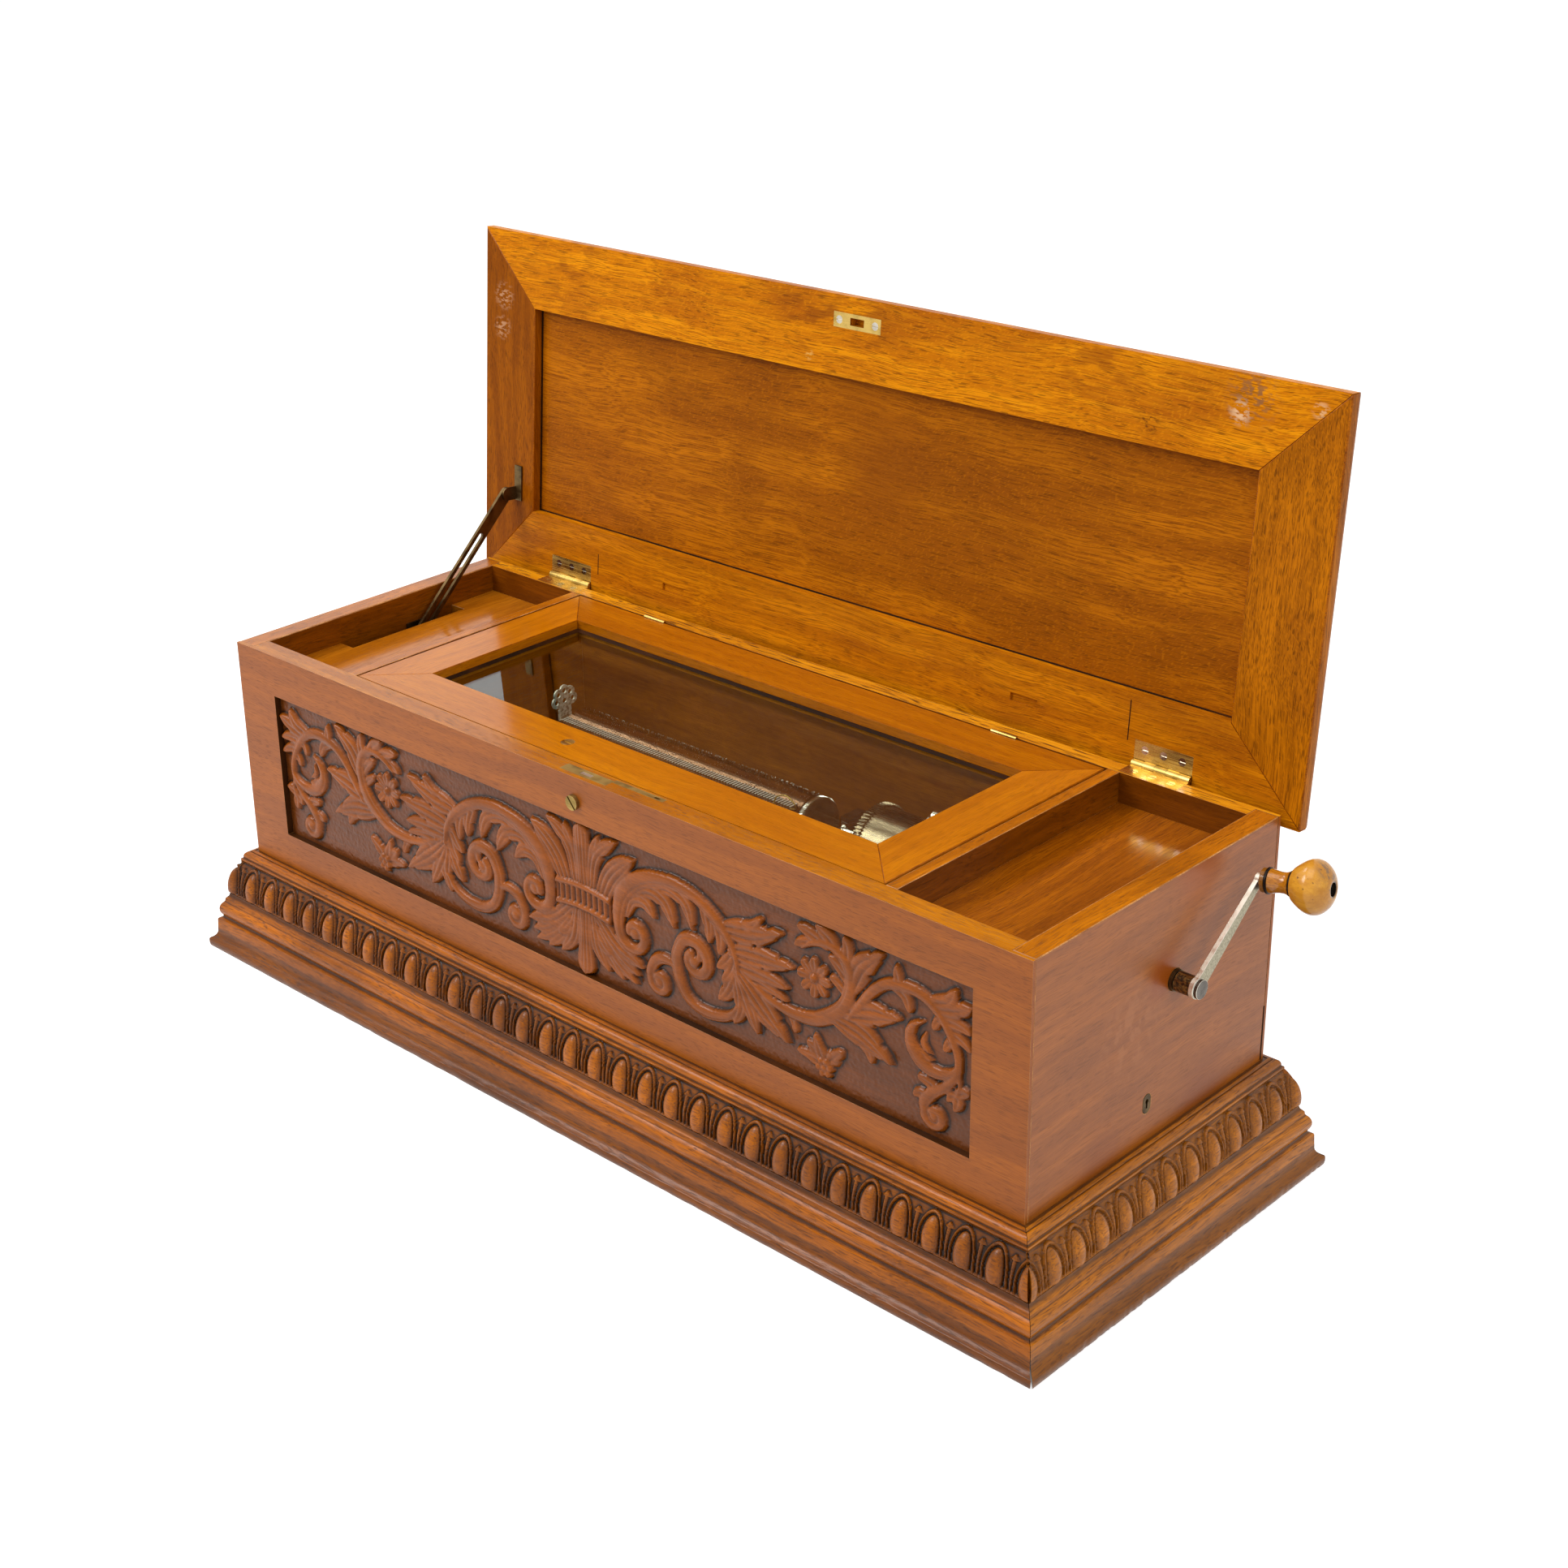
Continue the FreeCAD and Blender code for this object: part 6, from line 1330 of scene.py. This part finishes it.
@dataclass
class CaseBoards:
    """The box itself: its walls, partitions and trays, with softly rubbed edges."""

    arris: float = 0.9
    fine_arris: float = 0.5
    window: Place = (375.0, 121.0, 254.0)
    gap_low: Place = (419.6, 137.5, 93.2)
    gap_high: Place = (420.12, 139.2, 138.0)

    def reveal(self, normals: np.ndarray, middles: np.ndarray) -> np.ndarray:
        """Picks the edges of the window that the carved panel stands in.

        Args:
            normals: The faces' normals.
            middles: Their middles.

        Returns:
            Whether each face is picked.
        """
        half, low, high = self.window
        inside = (np.abs(middles[:, 0]) < half) & (middles[:, 2] > low) & (middles[:, 2] < high)
        return inside & (np.abs(normals[:, 1]) < 0.5)

    def build(self) -> None:
        """Eases the edges of every board that shows, and finishes its outside, rim and inside apart."""
        up = facing(0, 0, 1)
        # Inner faces and partitions take the brown copies of the varnish, painted shade; the left tray takes
        # the lighter copy, a painted sheen
        boards = (("front_board", "case_front", OAK_FRONT, "oak_front",
                   ((OAK_TOP, up), (SHADED_INNER_WALL, facing(0, 1, 0)), (OAK_REVEAL, self.reveal))),
                  ("right_board", "case_right_side", OAK_SIDE, "oak_case",
                   ((OAK_TOP_Y, up), (SHADED_PARTITION, facing(-1, 0, 0)))),
                  ("left_board", "case_left_side", OAK_SIDE, "oak_case",
                   ((OAK_TOP_Y, up), (SHADED_PARTITION, facing(1, 0, 0)))),
                  ("back_board", "case_back", OAK_FRONT, "oak_case",
                   ((OAK_RIM, up), (SHADED_INNER_WALL, facing(0, -1, 0)))),
                  ("partition_boards", "partitions", SHADED_PARTITION, "oak_inside", ((OAK_TOP_Y, up),)),
                  ("left_tray_board", "tray_floor_left", SHEEN_LEFT_TRAY, "oak_inside", ()),
                  ("right_tray_board", "tray_floor_right", OAK_TRAY, "oak_inside", ()))
        for name, node, finish, slot, faces in boards:
            arris = self.fine_arris if slot == "oak_inside" else self.arris
            piece = dress(eased(name, node, arris), finish, "case", slot, [node], OAK_WORN)
            for other, pick in faces:
                paint(piece, other, pick)
        # The open slot at the back corner of the right side: a near-black block of painted shade
        dress(blocks("corner_gap", [self.gap_low], [self.gap_high]), GRIME_AND_GAP_SHADE, "case", "oak_case")
        finish_nodes(SPRUCE, "case_bottom", "cleats", "soundboard", "glass_lid_ledges")


@dataclass
class RaisedLid:
    """The lid: a mitred frame round a sunk panel, varnished inside."""

    arris: float = 1.0
    pin: Point = (148.0, 289.25)
    open_deg: float = 94.6
    face_gap: float = 0.25
    panel_half: float = 368.0
    panel_low: float = 52.4
    panel_high: float = 235.9
    panel_set: float = 9.0
    gap_w: float = 1.8
    gap_h: float = 1.4
    kerf_left: tuple[Point, Point] = ((-281.9, 13.0), (-281.1, 31.5))
    kerf_right: tuple[Point, Point] = ((283.6, 15.9), (284.4, 47.2))
    kerf_deep: float = 0.1
    line_out: float = 0.25
    line_in: float = 0.4

    def placed(self, points: np.ndarray) -> np.ndarray:
        """Turns places across, up from the pin and into the lid's thickness into places on the raised lid.

        Args:
            points: Places on the lid, one row each.

        Returns:
            Places in the frame.
        """
        x, up, deep = points.T
        lean = math.radians(self.open_deg - 90)
        deep = deep + self.face_gap
        return np.stack([x, self.pin[0] + up * math.sin(lean) + deep * math.cos(lean),
                         self.pin[1] + up * math.cos(lean) - deep * math.sin(lean)], 1)

    def strip(self, name: str, low: Point, high: Point, deep: float) -> None:
        """Lays a thin dark line on the lid, used as painted shade in the panel's gaps and as the saw kerfs.

        Args:
            name: The piece's name.
            low: Its lowest corner, across and up from the pin.
            high: Its highest corner.
            deep: How deep in the lid's thickness it lies.
        """
        piece = blocks(name, [(*low, deep - self.line_out)], [(*high, deep + self.line_in)], self.placed)
        dress(piece, GRIME_AND_GAP_SHADE, "lid", "oak_lid")

    def build(self) -> None:
        """Eases the frame's edges and finishes each member, then lays dark lines: painted shade in the
        shrinkage gaps, and the kerfs.
        """
        members = (("lid_top_rail", "lid_front_rail", OAK_LID_TOP, "oak_lid", None),
                   ("lid_hinge_rail", "lid_rear_rail", OAK_LID_REAR, "oak_lid", None),
                   ("lid_left_stile", "lid_stiles", OAK_LID_LEFT, "oak_lid",
                    lambda middles: middles[:, 0] < 0),
                   ("lid_right_stile", "lid_stiles", OAK_LID_RIGHT, "oak_lid",
                    lambda middles: middles[:, 0] > 0),
                   ("lid_sunk_panel", "lid_panel", OAK_LID_PANEL, "oak_lid_panel", None))
        for name, node, finish, slot, keep in members:
            dress(eased(name, node, self.arris, keep), finish, "lid", slot, [node], OAK_LID_EDGE)
        half, low, high, deep = self.panel_half, self.panel_low, self.panel_high, self.panel_set
        # The panel's shrinkage gaps: dark lines of painted shade
        self.strip("panel_gap_left", (-half, low), (self.gap_w - half, high), deep)
        self.strip("panel_gap_low", (-half, low), (half, low + self.gap_h), deep)
        self.strip("kerf_left", *self.kerf_left, self.kerf_deep)
        self.strip("kerf_right", *self.kerf_right, self.kerf_deep)


@dataclass
class GlassLid:
    """The inner lid: four mitred rails round a pane bedded under a blackened glazing strip, which also paints
    in the shadow along the glass rebate.
    """

    arris: float = 0.8
    half_w: float = 238.0
    front: float = -79.0
    back: float = 83.0
    pane_top: float = 279.0
    strip_w: float = 3.0
    strip_h: float = 2.4
    catch: Place = (-52.0, -101.0, 287.0)
    seat_r: float = 6.2
    seat_play: float = 0.1

    def relieve(self, piece: Piece) -> None:
        """Lowers the floor of the catch's seat by a hair, so that it and the catch's head share no plane.

        Args:
            piece: A rail; only the one that holds the catch has such a floor.
        """
        spots = np.empty(len(piece.data.vertices) * 3)
        piece.data.vertices.foreach_get("co", spots)
        away = spots.reshape(-1, 3) / MM - self.catch
        floor = (np.hypot(away[:, 0], away[:, 1]) < self.seat_r) & (np.abs(away[:, 2]) < self.seat_play)
        spots[2::3] -= floor * self.seat_play * MM
        piece.data.vertices.foreach_set("co", spots)

    def member(self, middles: np.ndarray) -> np.ndarray:
        """Numbers the rail that each place lies on: 0 in front, 1 behind and 2 at the sides of the mitres."""
        x, y, _ = middles.T
        return np.argmax([self.front - y, y - self.back, np.abs(x) - self.half_w], 0)

    def glazing(self) -> Piece:
        """The glazing strip: a low wedge carried round the four corners of the opening.

        Returns:
            The strip, closed on itself.
        """
        wedge = np.array([(0.0, 0.0), (0.0, 1.0), (0.3, 1.0), (1.0, 0.15)]) * (self.strip_w, self.strip_h)
        corners = np.array([(-1, 0), (1, 0), (1, 1), (-1, 1)])
        x = corners[:, :1] * (self.half_w - wedge[:, 0])
        y = np.where(corners[:, 1:] > 0, self.back - wedge[:, 0], self.front + wedge[:, 0])
        z = np.broadcast_to(self.pane_top + wedge[:, 1], x.shape)
        return put_mesh("glazing_strip", np.stack([x, y, z], -1).reshape(-1, 3),
                        lattice(4, 4, ring_rows=True, ring_cols=True))

    def build(self) -> None:
        """Parts the rails at their mitres and glazes the frame."""
        # The back rail is darker: a painted shadow of the raised lid
        rails = (("glass_front_rail", OAK_GLASS_X), ("glass_back_rail", SHADOWED_GLASS_BACK_RAIL),
                 ("glass_stiles", OAK_GLASS_Y))
        for number, (name, finish) in enumerate(rails):
            piece = eased(name, "glass_lid_rails", self.arris, lambda middles: self.member(middles) == number)
            self.relieve(piece)
            dress(piece, finish, "glass_lid", "oak_inside", ["glass_lid_rails"], OAK_LID_EDGE)
        # The near-black glazing strip doubles as painted shade along the glass rebate
        dress(self.glazing(), GRIME_AND_GAP_SHADE, "glass_lid", "oak_inside")
        finish_nodes(GLASS, "glass_pane")


# Fittings and movement

@dataclass
class Fittings:
    """Hinges, lock, stay and keyhole in brass and darkened bronze."""

    def build(self) -> None:
        """Finishes the metal fittings, whose shapes are the frame's."""
        finish_nodes(NICKEL, "hinge_case_screws", "lid_screws")
        finish_nodes(BRASS, "hinge_case_leaves", "hinge_pins", "hinge_lid_leaves",
                     "strike_plate", "glass_lid_catch", "glass_hinge_wall_leaves", "glass_hinge_frame_leaves")
        finish_nodes(BRASS_DULL, "lid_lock", "lock_barrel")
        finish_nodes(BRONZE, "keyhole_escutcheon", "crank_bush", "stay_stud", "stay_bracket", "stay_arm")
        finish_nodes(STEEL, "lock_bolt")


@dataclass
class Movement:
    """The works under the glass: pinned cylinder, comb, spring barrel and governor."""

    axis_y: float = 23.0
    axis_z: float = 215.0
    radius: float = 25.5
    left: float = -173.0
    right: float = 84.5
    tracks: int = 86
    pins_each: int = 24
    pin_places: int = 96
    pin_high: float = 0.9
    pin_half: float = 0.2
    pin_root: float = 0.1
    seed: int = 3
    comb_left: float = -173.5
    comb_pitch: float = 3.0
    flat_half: float = 0.55
    flat_low: Point = (0.6, 238.9)
    flat_high: Point = (8.6, 239.3)
    guard_bends: tuple[Place, ...] = (
        (67.5, 0.0, 238.6), (70.5, 0.0, 244.0), (79.5, 0.0, 247.5), (88.0, 0.0, 244.0), (89.5, 0.0, 239.5),
        (84.2, 0.0, 238.0))
    guard_r: float = 0.6

    def wrapped(self, points: np.ndarray) -> np.ndarray:
        """Rolls places along, round and out from the cylinder's axis onto the cylinder.

        Args:
            points: Places along, round and out, one row each.

        Returns:
            Places in the frame.
        """
        x, run, out = points.T
        turn = run / self.radius
        return np.stack([x, self.axis_y + out * np.cos(turn), self.axis_z + out * np.sin(turn)], 1)

    def pins(self) -> Piece:
        """The tune pins: square stubs on even tracks along the tube and at even beats round it.

        Returns:
            All the pins in one piece.
        """
        chance = np.random.default_rng(self.seed)
        x = np.repeat(np.linspace(self.left, self.right, self.tracks), self.pins_each)
        beats = chance.random((self.tracks, self.pin_places)).argsort(1)[:, :self.pins_each].ravel()
        run = beats * 2 * np.pi / self.pin_places * self.radius
        middle = np.stack([x, run, np.full(len(x), self.radius + self.pin_high / 2 - self.pin_root)], 1)
        half = np.array((self.pin_half, self.pin_half, self.pin_high / 2 + self.pin_root))
        return blocks("tune_pins", middle - half, middle + half, self.wrapped)

    def facets(self) -> Piece:
        """The bright ground flats on the comb's tooth tips, one thin block on each tooth, pale as a painted
        highlight on each tip.

        Returns:
            All the flats in one piece.
        """
        x = self.comb_left + self.comb_pitch * (np.arange(self.tracks) + 0.5)
        lows = np.stack([x - self.flat_half, *[np.full(len(x), v) for v in self.flat_low]], 1)
        highs = np.stack([x + self.flat_half, *[np.full(len(x), v) for v in self.flat_high]], 1)
        return blocks("comb_tooth_flats", lows, highs)

    def guard(self) -> Piece:
        """The wire guard at the comb's treble end: an arch that hooks round the comb's last tooth."""
        return wire("treble_guard", smooth_path(self.guard_bends, 40), self.guard_r)

    def build(self) -> None:
        """Sets the pins and guard, and finishes the works."""
        dress(self.pins(), DARK_STEEL, "cylinder", "steel")
        dress(self.facets(), GROUND_STEEL, "case", "steel")
        dress(self.guard(), BRASS, "case", "brass")
        # The tube: dark brown as painted reflection
        finish_nodes(TUNE_BRASS, "cylinder_tube")
        finish_nodes(NICKEL_SATIN, "spring_barrel")
        finish_nodes(NICKEL, "cylinder_arbor", "left_bracket", "right_bracket", "winding_bracket",
                     "governor_frame", "start_lever", "change_lever")
        finish_nodes(TINNED, "tune_plate")
        finish_nodes(STEEL, "click", "mainspring", "movement_screws", "governor_wheel", "fan_screw")
        finish_nodes(DARK_STEEL, "comb", "barrel_arbor")
        finish_nodes(IRON, "bedplate", "comb_base")


@dataclass
class Crank:
    """The winding crank: a forged arm on a dark hub, and a turned knob that leans outward."""

    axis: Point = (19.6, 209.03)
    hub_r: float = 8.0
    hub_end: float = 435.4
    cap_start: float = 439.1
    root: Place = (439.0, 90.15, 264.75)
    lean_deg: float = 11.4
    arm_deg: float = 38.3
    arris: float = 0.6
    around: int = 72

    def leaned(self, points: np.ndarray) -> np.ndarray:
        """Turns points about the knob's root, round a line square to the arm, by the knob's lean.

        Args:
            points: Places on the upright knob, one row each.

        Returns:
            Places in the frame.
        """
        lean, way = math.radians(self.lean_deg), math.radians(self.arm_deg)
        line = np.array((0.0, -math.sin(way), math.cos(way)))
        off = points - np.array(self.root)
        along = (off @ line)[:, None] * line * (1 - math.cos(lean))
        return np.array(self.root) + off * math.cos(lean) + np.cross(line, off) * math.sin(lean) + along

    def near_axis(self, middles: np.ndarray) -> np.ndarray:
        """Picks the places within the hub's radius of the crank's axis."""
        return np.hypot(middles[:, 1] - self.axis[0], middles[:, 2] - self.axis[1]) < self.hub_r

    def knob(self) -> None:
        """Turns the knob: ferrule, black ring, waisted neck, groove, and a ball with a dark end hole."""
        ball = smooth_path([(23.4, 10.4), (25.0, 12.6), (30.4, 16.6), (35.2, 18.9), (39.4, 19.4),
                            (44.0, 17.9), (48.2, 14.2), (50.6, 10.2), (51.6, 7.0)], 40)
        hole = [(51.6, 5.6), (51.2, 4.9), (45.7, 4.8), (45.7, 0.05)]
        neck = smooth_path([(6.8, 8.6), (9.0, 8.4), (13.0, 7.6), (16.0, 7.4), (19.0, 7.8), (21.8, 9.2)], 24)
        # Each wooden part is darkened along its profile: painted shade at its joins with the arm, the ring
        # and the groove and down the end hole, and a darker ferrule
        parts = (
            ("knob_ferrule", AMBER_WOOD, "turned_wood", [(1.1, 8.0), (1.6, 8.7), (4.3, 8.7), (4.6, 8.4)],
             [0.7, 0.5, 0.5, 0.8]),
            ("knob_ring", BLACK_RING, "steel", [(4.7, 8.7), (5.0, 9.4), (6.4, 9.4), (6.7, 8.7)], ()),
            ("knob_neck", AMBER_WOOD, "turned_wood", [*neck, (22.0, 8.8)], [0.0] * 22 + [0.3, 0.6, 1.0]),
            ("knob_groove", BLACK_RING, "steel", [(21.9, 8.7), (23.5, 8.7)], ()),
            ("knob_ball", BOXWOOD, "turned_wood", [(23.4, 8.8), *ball, *hole],
             [1.0, 0.7, 0.3] + [0.0] * 38 + [0.5, 1.0, 1.0, 1.0]))
        for name, finish, slot, profile, shade_and_staining in parts:
            piece = turned(name, profile, self.root, self.around, shade_and_staining, self.leaned)
            dress(piece, finish, "knob", slot, ["crank_knob"])

    def build(self) -> None:
        """Pits the arm's face, rubs its edges bright, darkens the hub and its cap, and turns the knob."""
        arm = eased("forged_arm", "crank_arm", self.arris)
        dress(arm, WORN_STEEL, "crank", "steel", ["crank_arm"], EDGE_STEEL)
        paint(arm, EDGE_STEEL, lambda normals, _: np.abs(normals[:, 0]) < 0.5)
        # The hub in dark bronze with painted golden glints
        paint(arm, HUB_BRONZE, lambda _, middles: self.near_axis(middles) & (middles[:, 0] < self.hub_end))
        paint(arm, DARK_STEEL, lambda _, middles: self.near_axis(middles) & (middles[:, 0] > self.cap_start))
        finish_nodes(STEEL, "crank_shaft")
        self.knob()


# Studio

@dataclass
class Studio:
    """A pale floor, soft light and the camera at the photograph's viewing angle."""

    photo_px: float = 1932.0
    focal_px: float = 3031.68
    middle_px: Point = (850.07, 890.73)
    stand: Place = (1230.83, -1245.13, 1036.28)
    turn_deg: float = 45.1589
    tilt_deg: float = 66.8375
    roll_deg: float = -1.593
    sensor_mm: float = 36.0
    ambient: float = 0.55
    floor_glow: float = 0.7
    floor_reach: float = 9.0
    aim: Place = (0.0, 0.0, 0.25)

    def camera(self) -> None:
        """Sets the camera: its place, its turn, its focal length and the frame's shift."""
        data = bpy.data.cameras.new("camera")
        data.sensor_width = self.sensor_mm
        data.lens = self.focal_px / self.photo_px * self.sensor_mm
        data.shift_x = 0.5 - self.middle_px[0] / self.photo_px
        data.shift_y = self.middle_px[1] / self.photo_px - 0.5
        camera = bpy.data.objects.new("camera", data)
        turns = ((self.turn_deg, "Z"), (self.tilt_deg, "X"), (self.roll_deg, "Z"))
        pan, tilt, roll = (Matrix.Rotation(math.radians(angle), 4, axis) for angle, axis in turns)
        camera.matrix_world = Matrix.Translation([v * MM for v in self.stand]) @ pan @ tilt @ roll
        bpy.context.scene.collection.objects.link(camera)
        bpy.context.scene.camera = camera

    def seen(self, tree: Tree) -> Socket:
        """One where the camera, a reflection or glass looks, and zero for light that falls on the object.

        Args:
            tree: The material's or world's nodes.

        Returns:
            The value's socket.
        """
        path = add(tree, "ShaderNodeLightPath", {}).outputs
        first = add(tree, "ShaderNodeMath", {0: path["Is Camera Ray"], 1: path["Is Glossy Ray"]},
                    operation="MAXIMUM")
        return add(tree, "ShaderNodeMath", {0: first.outputs[0], 1: path["Is Transmission Ray"]},
                   operation="MAXIMUM").outputs[0]

    def world(self) -> None:
        """White where it is seen, and a soft even light elsewhere."""
        world = bpy.data.worlds.new("white_studio")
        world.use_nodes = True
        tree = world.node_tree
        tree.nodes.clear()
        level = add(tree, "ShaderNodeMapRange", {
            "Value": self.seen(tree), "To Min": self.ambient, "To Max": 1.0})
        glow = add(tree, "ShaderNodeBackground", {
            "Color": (1.0, 1.0, 1.0, 1.0), "Strength": level.outputs[0]})
        add(tree, "ShaderNodeOutputWorld", {"Surface": glow.outputs[0]})
        bpy.context.scene.world = world

    def floor(self) -> None:
        """A flat pale floor that shows white and keeps the object's soft shadow."""
        mesh = bpy.data.meshes.new("floor")
        r = self.floor_reach
        mesh.from_pydata([(-r, -r, 0), (r, -r, 0), (r, r, 0), (-r, r, 0)], [], [(0, 1, 2, 3)])
        paper, tree = start_material("paper_matt_white_sweep")
        matt = add(tree, "ShaderNodeBsdfDiffuse", {"Color": (0.6, 0.6, 0.6, 1.0)})
        level = add(tree, "ShaderNodeMath", {0: self.seen(tree), 1: self.floor_glow}, operation="MULTIPLY")
        glow = add(tree, "ShaderNodeEmission", {"Color": (1.0, 1.0, 1.0, 1.0), "Strength": level.outputs[0]})
        both = add(tree, "ShaderNodeAddShader", {0: matt.outputs[0], 1: glow.outputs[0]})
        add(tree, "ShaderNodeOutputMaterial", {"Surface": both.outputs[0]})
        mesh.materials.append(paper)
        floor = bpy.data.objects.new("floor", mesh)
        bpy.context.scene.collection.objects.link(floor)

    def lamp(self, name: str, stand: Place, power: float, size: float, mirrored: bool = True) -> None:
        """Hangs a soft square lamp, aimed at the middle of the box.

        Args:
            name: The lamp's name.
            stand: Its place, in metres.
            power: Its power, in watts.
            size: Its side, in metres.
            mirrored: Whether glossy surfaces show it.
        """
        data = bpy.data.lights.new(name, "AREA")
        data.energy, data.size = power, size
        lamp = bpy.data.objects.new(name, data)
        lamp.visible_glossy = mirrored
        lamp.location = stand
        lamp.rotation_euler = (Vector(stand) - Vector(self.aim)).to_track_quat("Z", "Y").to_euler()
        bpy.context.scene.collection.objects.link(lamp)

    def build(self) -> None:
        """Sets up the view and the light."""
        bpy.context.scene.view_settings.view_transform = "Standard"
        self.camera()
        self.world()
        self.floor()
        self.lamp("key_softbox", (-1.6, -1.9, 2.3), power=62.0, size=1.4)
        self.lamp("side_softbox", (2.6, -0.4, 1.6), power=24.0, size=1.6, mirrored=False)
        self.lamp("top_softbox", (0.2, -0.6, 3.0), power=26.0, size=2.0)
        self.lamp("strip_softbox", (-1.75, 0.2, 2.25), power=10.0, size=0.7)


def main() -> None:
    """Builds the music box piece by piece."""
    logging.basicConfig(level=logging.INFO, format="%(name)s: %(message)s")
    panel = CarvedPanel()
    panel.dress(panel.build())
    assemblies = (Plinth(), CaseBoards(), RaisedLid(), GlassLid(), Fittings(), Movement(), Crank(), Studio())
    for assembly in assemblies:
        assembly.build()
        LOG.info("%s built", type(assembly).__name__)


if __name__ == "__main__":
    main()
